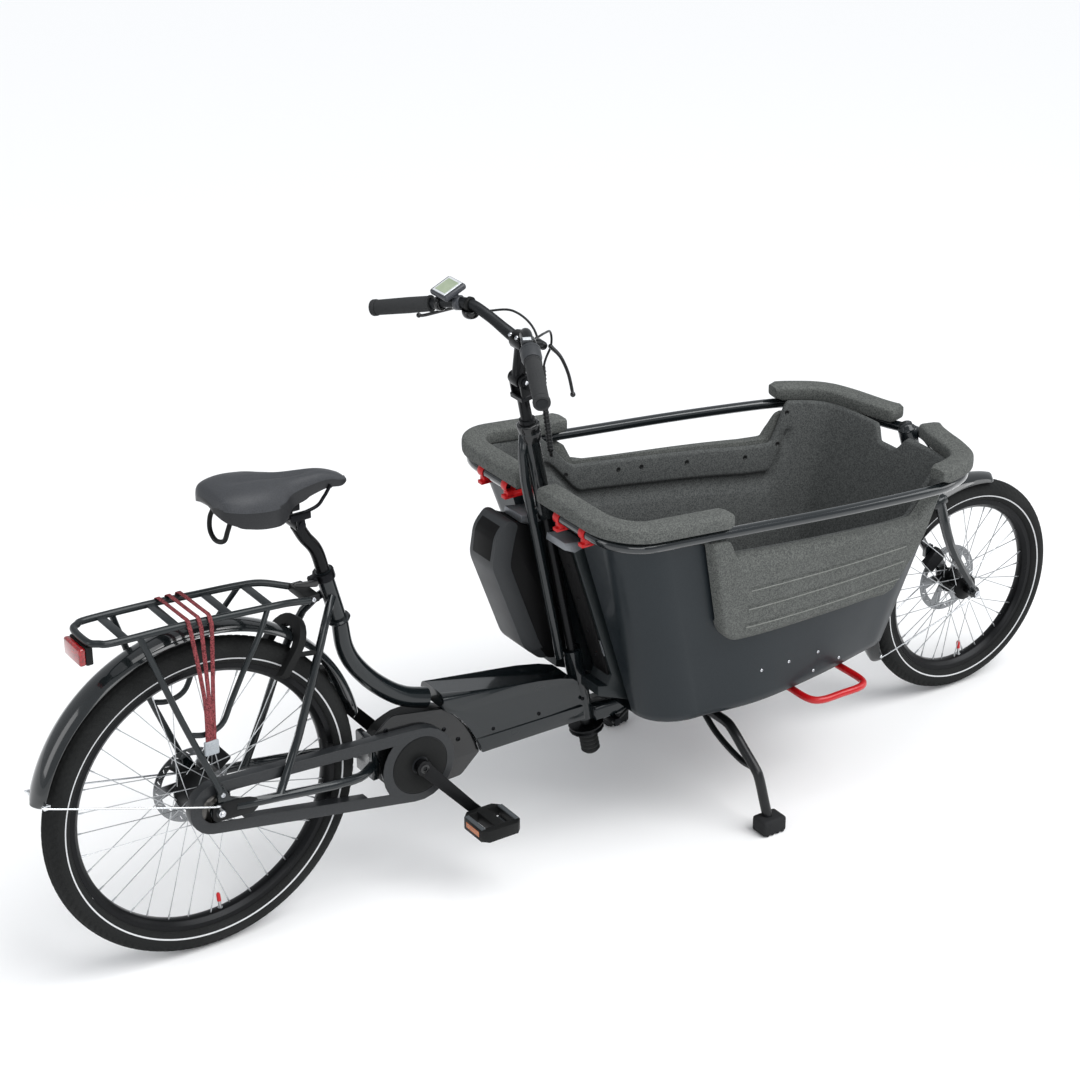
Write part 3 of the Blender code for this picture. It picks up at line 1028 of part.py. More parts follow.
# Brake hoses: a loop from each lever, bundled in front of the column
hose_starts = [[end + way * GAP, end + way * 0.008] for end, way in hose_ends]
hose_left = hose_starts[0] + [(0.7080, 0.1240, 1.1460), (0.7360, 0.1080, 1.1440), (0.7750, 0.0700, 1.1480),
                              (0.8000, 0.0320, 1.1150), (0.7980, 0.0040, 1.0500), (0.8050, 0.0020, 0.9500),
                              (0.8180, 0.0020, 0.8500)]
hose_right = hose_starts[1] + [(0.7240, -0.1000, 1.1590), (0.7480, -0.0830, 1.1550), (0.7800, -0.0550, 1.1420),
                               (0.8010, -0.0260, 1.1000), (0.7980, -0.0040, 1.0450), (0.8050, -0.0020, 0.9500),
                               (0.8180, -0.0020, 0.8500)]
node("hose_bundle", fused(tube(smooth(hose_left, 1), 0.0026, 1), tube(smooth(hose_right, 1), 0.0026, 1)),
     RUBBER, column(HEAD_TOP))

# Steering cables along the spine, their housings held by a stop at each end
housings = []
for hand in (-1, 1):
    way = [(0.945, hand * 0.038, 0.2170), (0.965, hand * 0.0370, 0.2250), (1.000, hand * 0.0345, 0.2390),
           (1.100, hand * 0.0345, 0.2400), (1.480, hand * 0.0345, 0.2400), (1.555, hand * 0.0345, 0.2440),
           (1.604, hand * 0.0345, 0.2660), (1.636, hand * 0.0345, 0.3280), (1.669, hand * 0.0350, 0.4250),
           (1.700, hand * 0.0370, 0.5000), (1.7260, hand * 0.0380, 0.5190), (1.7600, hand * 0.0380, 0.5290)]
    housings.append(tube(smooth(way, 1), 0.0035, 1))
rear_stop = block((0.948, -0.043, 0.2080), (0.962, 0.043, 0.2262), 0.002)
front_stop = block((1.7400, -0.043, 0.5140), (1.7520, 0.043, 0.5300), 0.002)
node("steering_cables", fused(rear_stop, front_stop, *housings), RUBBER)

# Cargo box: corners of the floor and of the top, from the middle of the rear round to the middle of the front
FLOOR_CORNERS = ([(0.962, 0.0), (0.962, 0.112), (0.935, 0.124), (0.935, 0.136)]
                 + [(1.041 - 0.106 * math.cos(math.radians(a)), 0.136 + 0.080 * math.sin(math.radians(a)))
                    for a in (22.5, 45, 67.5)]
                 + [(1.041, 0.216), (1.1865, 0.2315), (1.363, 0.212), (1.495, 0.185), (1.550, 0.172),
                    (1.5765, 0.150), (1.5765, 0.080), (1.5765, 0.0)])
BEND_Y = RAIL_HALF_WIDTH - 0.095
WALL_TOP = RAIL_HALF_WIDTH - 0.013
TOP_CORNERS = ([(0.824, 0.0), (0.824, 0.112), (0.797, 0.125), (0.797, BEND_Y)]
               + [(0.900 - 0.103 * math.cos(math.radians(a)), BEND_Y + 0.082 * math.sin(math.radians(a)))
                  for a in (22.5, 45, 67.5)]
               + [(0.900, WALL_TOP), (1.100, WALL_TOP), (1.350, WALL_TOP - 0.003), (1.580, WALL_TOP - 0.017),
                  (1.668, WALL_TOP - 0.035), (1.725, WALL_TOP - 0.072), (1.748, 0.150), (1.752, 0.0)])
SIDE_START = 7
LOW_WALL = [(0.95, 0.690), (1.03, 0.683), (1.2375, 0.656), (1.40, 0.637), (1.505, 0.624), (1.70, 0.612)]
STEP_REAR = SIDE_START + 0.70
STEP_FRONT = SIDE_START + 3.15


def between(points, value):
    """The height of a line of (x, z) corners at x."""
    for (x0, z0), (x1, z1) in zip(points, points[1:]):
        if value <= x1:
            break
    return z0 + (z1 - z0) * (value - x0) / (x1 - x0)


def rail_height(x):
    return RAIL_Z - RAIL_SLOPE * (x - RAIL_X)


def tub_spot(place, z):
    """A point of the tub's outer wall: place counts the corners, z is the height."""
    index = min(int(place), len(TOP_CORNERS) - 2)
    share = place - index
    rise = (z - TUB_FLOOR_Z) / (TUB_TOP_Z - TUB_FLOOR_Z)
    spot = []
    for axis in (0, 1):
        low = FLOOR_CORNERS[index][axis] * (1 - share) + FLOOR_CORNERS[index + 1][axis] * share
        top = TOP_CORNERS[index][axis] * (1 - share) + TOP_CORNERS[index + 1][axis] * share
        spot.append(low + (top - low) * rise)
    return Vector((spot[0], spot[1], z))


def tub_point(place, z, outward=0.0):
    """A point beside the tub's outer wall, some distance outwards of it."""
    last = len(TOP_CORNERS) - 1
    before = tub_spot(max(place - 0.02, 0.0), z)
    after = tub_spot(min(place + 0.02, last), z)
    if place < 0.01:
        before = Vector((after.x, -after.y, z))
    if place > last - 0.01:
        after = Vector((before.x, -before.y, z))
    along = (after - before).normalized()
    return tub_spot(place, z) + Vector((-along.y, along.x, 0)) * outward


def top_line(place, at_rail, on_wall):
    """The height of an upper edge: along the rail at both ends of the box, along the low wall at its sides."""
    near_rail = place < STEP_REAR - 0.1 or place > STEP_FRONT + 0.1
    x = tub_spot(place, 0.66 if not near_rail else 0.72).x
    return rail_height(x) + at_rail if near_rail else between(LOW_WALL, x) + on_wall


def basin(outward, wall, floor_z, floor, at_rail, on_wall):
    """An open tub with a wall, a floor and a rim, all one shell."""
    places = sorted([float(i) for i in range(len(TOP_CORNERS))]
                    + [STEP_REAR - 0.12, STEP_REAR - 0.02, STEP_FRONT - 0.10, STEP_FRONT + 0.12, SIDE_START + 1.5,
                       SIDE_START + 2.5])
    form = bmesh.new()
    walls = []
    for inward, low in ((0.0, floor_z), (wall, floor_z + floor)):
        lines = [[tub_point(place, z, outward - inward) for place in places] for z in (low, WALL_ROW)]
        lines.append([tub_point(place, top_line(place, at_rail, on_wall), outward - inward) for place in places])
        walls.append([[form.verts.new(p) for p in line + [Vector((q.x, -q.y, q.z)) for q in line[-2:0:-1]]]
                      for line in lines])
    outer, inner = walls
    pairs = [(lower, upper) for wall_lines in walls for lower, upper in zip(wall_lines, wall_lines[1:])]
    for lower, upper in pairs + [(outer[-1], inner[-1])]:
        for i in range(len(lower)):
            j = (i + 1) % len(lower)
            form.faces.new((lower[i], lower[j], upper[j]))
            form.faces.new((lower[i], upper[j], upper[i]))
    form.faces.new(outer[0][::-1])
    form.faces.new(inner[0])
    bmesh.ops.recalc_face_normals(form, faces=form.faces)
    return form


def slab(near, far):
    """A closed panel between two grids of points."""
    form = bmesh.new()
    grids = [[[form.verts.new(p) for p in row] for row in grid] for grid in (near, far)]
    for grid in grids:
        for first, second in zip(grid, grid[1:]):
            for a, b, c, d in zip(first, first[1:], second[1:], second):
                form.faces.new((a, b, c))
                form.faces.new((a, c, d))
    one, two = grids
    edges = [([row[0] for row in one], [row[0] for row in two]), ([row[-1] for row in one], [row[-1] for row in two]),
             (one[0], two[0]), (one[-1], two[-1])]
    for first, second in edges:
        for i in range(len(first) - 1):
            form.faces.new((first[i], first[i + 1], second[i + 1], second[i]))
    bmesh.ops.recalc_face_normals(form, faces=form.faces)
    return form


node("box_tub", basin(0.0, SHEET, TUB_FLOOR_Z, SHEET, -0.017, -0.030), BOX_PAINT)

RAIL_CORNERS = ([(RAIL_X, 0.075), (RAIL_X, BEND_Y)]
                + [(0.860 - 0.084 * math.cos(math.radians(a)), BEND_Y + 0.095 * math.sin(math.radians(a)))
                   for a in (22.5, 45, 67.5)]
                + [(0.860, RAIL_HALF_WIDTH), (1.100, RAIL_HALF_WIDTH), (1.350, RAIL_HALF_WIDTH - 0.001),
                   (1.580, RAIL_HALF_WIDTH - 0.013), (1.660, RAIL_HALF_WIDTH - 0.032),
                   (1.715, RAIL_HALF_WIDTH - 0.065), (1.742, 0.180), (1.765, 0.090)])


def foam_rim(path):
    """A thick foam edge that lies along the rail."""
    section = [(-RIM_FOAM_IN, 0.0), (RIM_FOAM_OUT, 0.0), (RIM_FOAM_OUT, RIM_FOAM_HEIGHT - 0.008),
               (RIM_FOAM_OUT - 0.008, RIM_FOAM_HEIGHT), (-RIM_FOAM_IN + 0.008, RIM_FOAM_HEIGHT),
               (-RIM_FOAM_IN, RIM_FOAM_HEIGHT - 0.008)]
    form = bmesh.new()
    rows = []
    for i, (x, y) in enumerate(path):
        back = path[max(i - 1, 0)]
        ahead = path[min(i + 1, len(path) - 1)]
        along = Vector((ahead[0] - back[0], ahead[1] - back[1], 0)).normalized()
        side = Vector((-along.y, along.x, 0))
        rows.append([form.verts.new(Vector((x, y, rail_height(x) + 0.014 + up)) + side * out) for out, up in section])
    for first, second in zip(rows, rows[1:]):
        for i in range(len(section)):
            j = (i + 1) % len(section)
            form.faces.new((first[i], first[j], second[j], second[i]))
    form.faces.new(rows[0][::-1])
    form.faces.new(rows[-1])
    bmesh.ops.recalc_face_normals(form, faces=form.faces)
    return form


rear_rim = foam_rim([(RAIL_X, 0.037)] + RAIL_CORNERS[1:6] + [(1.045, RAIL_HALF_WIDTH)])
front_rim = foam_rim([(1.600, RAIL_HALF_WIDTH - 0.0178)] + RAIL_CORNERS[9:] + [(1.780, 0.048)])
liner = basin(-SHEET - 0.0020, FOAM - 0.002, TUB_FLOOR_Z + SHEET + 0.0005, 0.015, 0.019, -0.004)
node("foam_liner", fused(liner, rear_rim, front_rim, mirrored(rear_rim), mirrored(front_rim)), FOAM_GREY)

rail_line = [Vector((x, y, rail_height(x))) for x, y in RAIL_CORNERS]
rail_line = rail_line + [Vector((1.7985, 0.0, rail_height(1.7985)))] + [Vector((p.x, -p.y, p.z)) for p in rail_line[::-1]]
clips = []
for y, reach in ((0.095, 0.8232), (BEND_Y - 0.021, 0.7962)):
    for hand in (-1, 1):
        ring = round_bar((RAIL_X, hand * y - 0.010, RAIL_Z), (RAIL_X, hand * y + 0.010, RAIL_Z), 0.0135, 12)
        tongue = block((RAIL_X, hand * y - 0.008, RAIL_Z - 0.0275), (reach, hand * y + 0.008, RAIL_Z - 0.0185), 0.001)
        hanger = block((RAIL_X - 0.006, hand * y - 0.008, RAIL_Z - 0.0275), (RAIL_X + 0.006, hand * y + 0.008, RAIL_Z))
        clips += [ring, tongue, hanger]
node("rail", fused(tube(rail_line, RAIL_TUBE / 2, 1), *clips), BLACK_METAL)


def side_panel(hand):
    """A thick side panel: rounded edges, a recessed band along its top."""
    near = []
    far = []
    for place, low in ((0.425, 0.476), (0.69, 0.474), (0.73, 0.4735), (1.0, 0.471), (1.5, 0.466), (2.0, 0.460),
                       (2.5, 0.454), (2.9, 0.448), (3.02, 0.470), (3.28, 0.540), (3.55, 0.600)):
        at = SIDE_START + place
        x = tub_spot(at, 0.68).x
        tall = place < 0.70 or place > 3.2
        high = rail_height(x) - 0.0125 if tall else between(LOW_WALL, x)
        heights = [low, low + 0.012, max(low + 0.02, high - 0.062), max(low + 0.026, high - 0.056), high - 0.010, high]
        offsets = (0.016, 0.030, 0.030, 0.025, 0.025, 0.017)
        near.append([tub_point(at, z, 0.0020 if place < 2.6 else 0.0032) for z in heights])
        far.append([tub_point(at, z, out) for z, out in zip(heights, offsets)])
    form = slab(near, far)
    return form if hand > 0 else mirrored(form)


node("side_panel_left", side_panel(1), BOX_PAINT)
node("side_panel_right", side_panel(-1), BOX_PAINT)
step_z = SPINE_Z + SPINE_HALF - 0.001 - 0.008 - GAP
for side, hand in (("left", 1), ("right", -1)):
    loop = [(1.310, 0.118), (1.310, 0.225), (1.318, 0.250), (1.340, 0.260), (1.430, 0.260), (1.452, 0.250),
            (1.460, 0.225), (1.460, 0.118)]
    step = tube(smooth([(x, hand * y, step_z) for x, y in loop], 1), 0.008)
    inner_bar = round_bar((1.303, hand * 0.127, step_z), (1.467, hand * 0.127, step_z), 0.0074, 10)
    node("step_" + side, fused(step, inner_bar), RED_PAINT)

# Battery in its dock behind the box, with a second, empty dock beside it
BATTERY_SIDE = [(0.706, 0.685), (0.735, 0.7155), (0.798, 0.683), (0.891, 0.379), (0.8805, 0.358), (0.815, 0.373),
                (0.770, 0.414), (0.695, 0.620)]


def recess_face(z):
    return 0.824 + (TUB_TOP_Z - z) * (0.962 - 0.824) / (TUB_TOP_Z - TUB_FLOOR_Z) - GAP


battery = plate(BATTERY_SIDE, 0.033, 0.123)
beam_room = block((0.70, 0.02, 0.33), (0.92, 0.0455, 0.3960))
node("battery", cut(battery, beam_room), BLACK_PLASTIC)
dock_side = [(recess_face(0.300), 0.300), (recess_face(0.700), 0.700), (0.776, 0.7100), (0.774, 0.6965),
             (0.7990, 0.6837), (0.8920, 0.3795), (0.8814, 0.3570), (0.858, 0.3623), (0.858, 0.3400)]
for side, hand in (("left", 1), ("right", -1)):
    node("dock_" + side, plate(dock_side, *sorted((hand * 0.046, hand * 0.110))), BLACK_PLASTIC)

# Stand: a pin through the frame's lugs, a cross tube and a bent leg with a foot on each side
parts = [round_bar((STAND_X, -0.030, STAND_Z), (STAND_X, 0.030, STAND_Z), 0.0045, 12)]
for hand in (-1, 1):
    leg = smooth([(STAND_X, hand * 0.0285, STAND_Z), (STAND_X, hand * 0.150, STAND_Z),
                  (STAND_X, hand * 0.175, STAND_Z - 0.009), (STAND_X, hand * 0.255, 0.1400),
                  (STAND_X + 0.002, hand * 0.268, 0.120), (1.175, hand * 0.2880, 0.020)], 2)
    parts.append(tube(leg, 0.011, 1))
    parts.append(tube(smooth([(STAND_X, hand * 0.060, STAND_Z - 0.004), (STAND_X, hand * 0.120, 0.162),
                              (STAND_X, hand * 0.200, 0.138), (STAND_X, hand * 0.254, 0.1385)], 1), 0.007, 1))
    parts.append(block((1.176 - 0.030, hand * 0.289 - 0.0225, 0.0), (1.176 + 0.030, hand * 0.289 + 0.0225, 0.036), 0.006))
node("stand", fused(*parts), BLACK_METAL, (STAND_X, 0, STAND_Z))

root = bpy.data.objects.new("electric_cargo_bike", None)
bike.objects.link(root)
root.location.x = -(WHEELBASE + FRONT_RADIUS - GUARD_REACH) / 2
for item in list(bike.objects):
    if item is not root:
        item.parent = root
bpy.data.collections.remove(bench)
bpy.context.view_layer.update()
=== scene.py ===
import json
from math import asin, atan2, copysign, cos, degrees, exp, hypot, pi, radians, sin, sqrt, tan

import bmesh
import bpy
from mathutils import Matrix, Vector


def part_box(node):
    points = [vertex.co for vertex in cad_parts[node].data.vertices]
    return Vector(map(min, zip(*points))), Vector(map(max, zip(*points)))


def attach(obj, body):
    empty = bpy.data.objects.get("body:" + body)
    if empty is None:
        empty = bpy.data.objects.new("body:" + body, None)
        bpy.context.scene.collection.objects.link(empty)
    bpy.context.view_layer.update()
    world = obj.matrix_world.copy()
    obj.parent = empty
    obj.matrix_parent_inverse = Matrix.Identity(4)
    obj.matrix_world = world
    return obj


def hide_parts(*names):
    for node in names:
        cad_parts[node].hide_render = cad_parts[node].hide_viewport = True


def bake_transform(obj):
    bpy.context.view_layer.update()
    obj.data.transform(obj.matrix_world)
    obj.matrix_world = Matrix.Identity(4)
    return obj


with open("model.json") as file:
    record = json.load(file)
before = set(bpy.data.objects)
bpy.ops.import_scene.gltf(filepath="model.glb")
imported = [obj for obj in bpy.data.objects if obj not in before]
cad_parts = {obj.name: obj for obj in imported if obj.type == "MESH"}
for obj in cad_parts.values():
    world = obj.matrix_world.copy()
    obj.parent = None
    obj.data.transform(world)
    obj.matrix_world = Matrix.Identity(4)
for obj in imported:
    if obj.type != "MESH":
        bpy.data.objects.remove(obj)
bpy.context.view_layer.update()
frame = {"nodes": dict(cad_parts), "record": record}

# Camera and studio. The photograph was taken with a long lens from behind the bike's right side, above
# the saddle. Places in this script are measured from the rear axle's foot, as the bike is drawn, and
# TO_FRAME carries them to the CAD frame, whose origin is halfway along the bike.
tyre_low, tyre_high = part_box("rear_tyre")
TO_FRAME = Matrix.Translation(((tyre_low.x + tyre_high.x) / 2, 0, 0))
CAMERA_PLACE = Vector((-1.995, -4.224, 3.064))
HEADING = radians(56.61)
LOOKING_DOWN = radians(25.31)
ROLL = radians(-0.4)
PHOTO_SIDE = 1080
FOCAL_PIXELS = 2758
SENSOR = 36.0
WHITE = (1.0, 1.0, 1.0, 1.0)


def laid_out(name, form):
    """An object in the scene with a form's mesh."""
    mesh = bpy.data.meshes.new(name)
    form.to_mesh(mesh)
    form.free()
    item = bpy.data.objects.new(name, mesh)
    bpy.context.collection.objects.link(item)
    return item


def add(tree, kind, settings=None, links=None):
    """Adds a node: settings go to its input sockets or attributes, links join its inputs to outputs."""
    made = tree.nodes.new(kind)
    for name, value in (settings or {}).items():
        if isinstance(name, int) or name in made.inputs:
            made.inputs[name].default_value = value
        else:
            setattr(made, name, value)
    for name, socket in (links or {}).items():
        tree.links.new(socket, made.inputs[name])
    return made


ahead = Vector((cos(LOOKING_DOWN) * cos(HEADING), cos(LOOKING_DOWN) * sin(HEADING), -sin(LOOKING_DOWN)))
level = ahead.cross(Vector((0, 0, 1))).normalized()
right = cos(ROLL) * level + sin(ROLL) * level.cross(ahead)
lens = bpy.data.cameras.new("photo_lens")
lens.sensor_width = SENSOR
lens.lens = SENSOR * FOCAL_PIXELS / PHOTO_SIDE
camera = bpy.data.objects.new("photo_camera", lens)
bpy.context.collection.objects.link(camera)
axes = Matrix((right, right.cross(ahead), -ahead)).transposed()
camera.matrix_world = TO_FRAME @ Matrix.Translation(CAMERA_PLACE) @ axes.to_4x4()
bpy.context.scene.camera = camera
bpy.context.scene.view_settings.view_transform = "Standard"

FLOOR_HALF = 30.0
FLOOR_DROP = 0.001
PAPER_WHITE = (0.9, 0.9, 0.9, 1.0)
floor_form = bmesh.new()
bmesh.ops.create_grid(floor_form, x_segments=1, y_segments=1, size=FLOOR_HALF)
floor_form.transform(Matrix.Translation((0, 0, -FLOOR_DROP)))
floor = laid_out("studio_floor", floor_form)
paper = bpy.data.materials.new("white_paper_floor")
paper.use_nodes = True
matt = paper.node_tree.nodes["Principled BSDF"]
matt.inputs["Base Color"].default_value = PAPER_WHITE
matt.inputs["Roughness"].default_value = 0.9
matt.inputs["Specular IOR Level"].default_value = 0.1
floor.data.materials.append(paper)

SKY_TINT = (0.93, 0.96, 1.0, 1.0)
SKY_STRENGTH = 0.55
world = bpy.data.worlds.new("studio_air")
bpy.context.scene.world = world
world.use_nodes = True
air = world.node_tree
dim = air.nodes["Background"]
dim.inputs["Color"].default_value = SKY_TINT
dim.inputs["Strength"].default_value = SKY_STRENGTH
bright = add(air, "ShaderNodeBackground", {"Color": WHITE, "Strength": 1.0})
ray = add(air, "ShaderNodeLightPath")
seen = add(air, "ShaderNodeMath", {"operation": "MAXIMUM"},
           {0: ray.outputs["Is Camera Ray"], 1: ray.outputs["Is Transmission Ray"]})
backdrop = add(air, "ShaderNodeMixShader", None,
               {0: seen.outputs[0], 1: dim.outputs[0], 2: bright.outputs[0]})
air.links.new(backdrop.outputs[0], air.nodes["World Output"].inputs["Surface"])

# A wide soft sky light from the front right, which keeps the paper evenly white, and large soft
# boxes overhead and at the sides, whose reflections draw the long highlights on the tubes.
SUN_STRENGTH = 2.1
SUN_SPREAD = radians(45)
SUN_WAY = Vector((-0.5, 0.8, -1.3))
sky_lamp = bpy.data.lights.new("wide_sky_light", "SUN")
sky_lamp.energy = SUN_STRENGTH
sky_lamp.angle = SUN_SPREAD
sky = bpy.data.objects.new("wide_sky_light", sky_lamp)
bpy.context.collection.objects.link(sky)
sky.matrix_world = SUN_WAY.to_track_quat("-Z", "Y").to_matrix().to_4x4()
for name, place, aim, size, power in (
        ("overhead_box", (0.9, -0.3, 3.4), (0.9, 0, 0.3), (3.6, 1.4), 30),
        ("camera_side_box", (-0.4, -3.6, 2.2), (0.9, 0, 0.5), (2.6, 1.6), 34),
        ("rear_box", (-3.2, 0.6, 1.8), (0.0, 0, 0.5), (1.4, 2.2), 22),
        ("front_box", (4.2, -1.2, 1.8), (1.4, 0, 0.5), (1.4, 2.0), 18)):
    lamp = bpy.data.lights.new(name, "AREA")
    lamp.shape = "RECTANGLE"
    lamp.size, lamp.size_y = size
    lamp.energy = power
    box = bpy.data.objects.new(name, lamp)
    bpy.context.collection.objects.link(box)
    turn = (Vector(aim) - Vector(place)).to_track_quat("-Z", "Y").to_matrix().to_4x4()
    box.matrix_world = TO_FRAME @ Matrix.Translation(place) @ turn

# Painted frame: steel tubes welded into one frame, powder coated in a dark metallic anthracite under a
# clear coat. The coat gives long sharp highlights, and the flakes in it lighten the colour in patches.
bodies = frame["record"]["behaviour"]["bodies"]
body_of_node = {node: body for body, nodes in bodies.items() for node in nodes}
COAT_ROUGHNESS = 0.06
SMUDGE_SCALE = 9.0
CLOUD_RANGE = (0.35, 0.65)
CELL_RANGE = (0.2, 0.8)


def linear(shown):
    """A colour as linear light, from its sRGB hex value."""
    parts = [int(shown[i:i + 2], 16) / 255 for i in (1, 3, 5)]
    return (*[c / 12.92 if c <= 0.04045 else ((c + 0.055) / 1.055) ** 2.4 for c in parts], 1.0)


def surface(name, dark, light, grain, roughness, metallic=0.0, dents=0.0, cells=False, coat=0.0, smudges=0.15,
            shine=0.3):
    """A material that varies between two colours with a grain of a real size in metres.

    Dents are the height of the grain's relief, and cells make it round beads in place of clouds. Smudges
    are how far the roughness wanders over patches a hand wide, so that no large face looks newly made.
    """
    material = bpy.data.materials.new(name)
    material.use_nodes = True
    tree = material.node_tree
    shader = tree.nodes["Principled BSDF"]
    shader.inputs["Metallic"].default_value = metallic
    shader.inputs["Specular IOR Level"].default_value = shine
    shader.inputs["Coat Weight"].default_value = coat
    shader.inputs["Coat Roughness"].default_value = COAT_ROUGHNESS
    place = add(tree, "ShaderNodeTexCoord").outputs["Object"]
    grains = add(tree, "ShaderNodeTexVoronoi" if cells else "ShaderNodeTexNoise", {"Scale": 1 / grain},
                 {"Vector": place})
    tone = grains.outputs["Color"] if cells else grains.outputs["Fac"]
    low, high = CELL_RANGE if cells else CLOUD_RANGE
    spread = add(tree, "ShaderNodeMapRange", {1: low, 2: high}, {0: tone})
    shade = add(tree, "ShaderNodeMix", {"data_type": "RGBA", 6: linear(dark), 7: linear(light)},
                {0: spread.outputs[0]})
    tree.links.new(shade.outputs[2], shader.inputs["Base Color"])
    wiped = add(tree, "ShaderNodeTexNoise", {"Scale": SMUDGE_SCALE, "Detail": 5.0}, {"Vector": place})
    rough = add(tree, "ShaderNodeMapRange",
                {1: 0.3, 2: 0.7, 3: roughness * (1 - smudges), 4: roughness * (1 + smudges)},
                {0: wiped.outputs["Fac"]})
    tree.links.new(rough.outputs[0], shader.inputs["Roughness"])
    if dents:
        height = grains.outputs["Distance"] if cells else grains.outputs["Fac"]
        bump = add(tree, "ShaderNodeBump", {"Strength": 1.0, "Distance": dents, "invert": cells},
                   {"Height": height})
        tree.links.new(bump.outputs[0], shader.inputs["Normal"])
    return material


def piece(name, form, material, body, replaces=(), crease=38.0):
    """A finished piece from a mesh in the drawing's place: shaded, painted and riding on a body."""
    form.transform(TO_FRAME)
    item = laid_out(name, form)
    for coat in material if isinstance(material, list) else [material]:
        item.data.materials.append(coat)
    item.data.shade_smooth()
    item.data.set_sharp_from_angle(angle=radians(crease))
    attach(item, body)
    if replaces:
        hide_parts(*replaces)
    return item


def node_form(name):
    """A copy of a CAD node's mesh in the drawing's place, its loose triangles joined into whole faces."""
    form = bmesh.new()
    form.from_mesh(frame["nodes"][name].data)
    form.transform(TO_FRAME.inverted())
    bmesh.ops.remove_doubles(form, verts=form.verts, dist=1e-6)
    bmesh.ops.dissolve_limit(form, angle_limit=radians(1), verts=form.verts, edges=form.edges)
    return form


def rounded(form, edge, sharper_than=40.0, segments=2):
    """Rounds a mesh's sharp edges by a small radius in metres."""
    sharp = [e for e in form.edges if len(e.link_faces) == 2
             and e.calc_face_angle(0) > radians(sharper_than)]
    bmesh.ops.bevel(form, geom=sharp, offset=edge, segments=segments, affect="EDGES", profile=0.5,
                    clamp_overlap=True)
    return form


def dressed(node, material, edge=0.0, crease=50.0, sharper_than=40.0, segments=2, ending="finished"):
    """A CAD node's own shape with smooth shading, rounded edges and a finish."""
    form = node_form(node)
    if edge:
        rounded(form, edge, sharper_than, segments)
    name = node + "_" + ending
    return piece(name, form, material, body_of_node[node], (node,), crease)


def swept(points, radius, sides=16):
    """A round tube along a line of points, its ends filled; radius is a number, or one for each point."""
    points = [Vector(p) for p in points]
    radii = radius if isinstance(radius, list) else [radius] * len(points)
    form = bmesh.new()
    rings = []
    side = None
    for i, spot in enumerate(points):
        along = (points[min(i + 1, len(points) - 1)] - points[max(i - 1, 0)]).normalized()
        side = along.orthogonal() if side is None else side
        side = (side - along * side.dot(along)).normalized()
        across = along.cross(side)
        ring = []
        for step in range(sides):
            turn = 2 * pi * step / sides
            ring.append(form.verts.new(spot + (side * cos(turn) + across * sin(turn)) * radii[i]))
        rings.append(ring)
    for first, second in zip(rings, rings[1:]):
        for i in range(sides):
            j = (i + 1) % sides
            form.faces.new((first[i], first[j], second[j], second[i]))
    form.faces.new(rings[0][::-1])
    form.faces.new(rings[-1])
    return form


def eased(points, steps=6):
    """Points along a smooth curve through the given ones."""
    spots = [Vector(p) for p in points]
    ends = [2 * spots[0] - spots[1]] + spots + [2 * spots[-1] - spots[-2]]
    curve = []
    for before, start, end, after in zip(ends, ends[1:], ends[2:], ends[3:]):
        for step in range(steps):
            t = step / steps
            curve.append(0.5 * (2 * start + (end - before) * t
                                + (2 * before - 5 * start + 4 * end - after) * t * t
                                + (3 * start - before - 3 * end + after) * t ** 3))
    return curve + [spots[-1]]


def joined(*forms):
    """Several meshes as one."""
    whole = bmesh.new()
    carrier = bpy.data.meshes.new("carrier")
    for form in forms:
        form.to_mesh(carrier)
        whole.from_mesh(carrier)
        form.free()
    bpy.data.meshes.remove(carrier)
    return whole


def turned_out(form):
    """A form with its faces pointing outwards."""
    bmesh.ops.recalc_face_normals(form, faces=form.faces)
    return form


def lathe(profile, centre, axis, steps=48, closed=False):
    """A turned form from (radius, height) points down its outer side; closed makes a ring of its section."""
    form = bmesh.new()
    turn = Vector((0, 0, 1)).rotation_difference(Vector(axis)).to_matrix()
    rings = []
    for radius, height in profile:
        turns = [2 * pi * k / steps for k in range(steps if radius > 1e-6 else 1)]
        spots = [Vector((radius * cos(a), radius * sin(a), height)) for a in turns]
        rings.append([form.verts.new(Vector(centre) + turn @ spot) for spot in spots])
    for first, second in zip(rings, rings[1:] + rings[:1] if closed else rings[1:]):
        for k in range(steps):
            j = (k + 1) % steps
            corners = [first[k % len(first)], first[j % len(first)], second[j % len(second)],
                       second[k % len(second)]]
            form.faces.new(list(dict.fromkeys(corners)))
    return turned_out(form)


def slab(low, high, edge=0.0, turn=None, segments=2):
    """A block between two corners with rounded edges, turned about its middle if wanted."""
    form = bmesh.new()
    bmesh.ops.create_cube(form, size=1.0)
    middle = (Vector(low) + Vector(high)) / 2
    form.transform(Matrix.Diagonal((*(Vector(high) - Vector(low)), 1.0)))
    if edge:
        bmesh.ops.bevel(form, geom=form.edges[:], offset=edge, segments=segments, affect="EDGES", profile=0.5)
    form.transform(Matrix.Translation(middle) @ (turn or Matrix.Identity(4)))
    return form


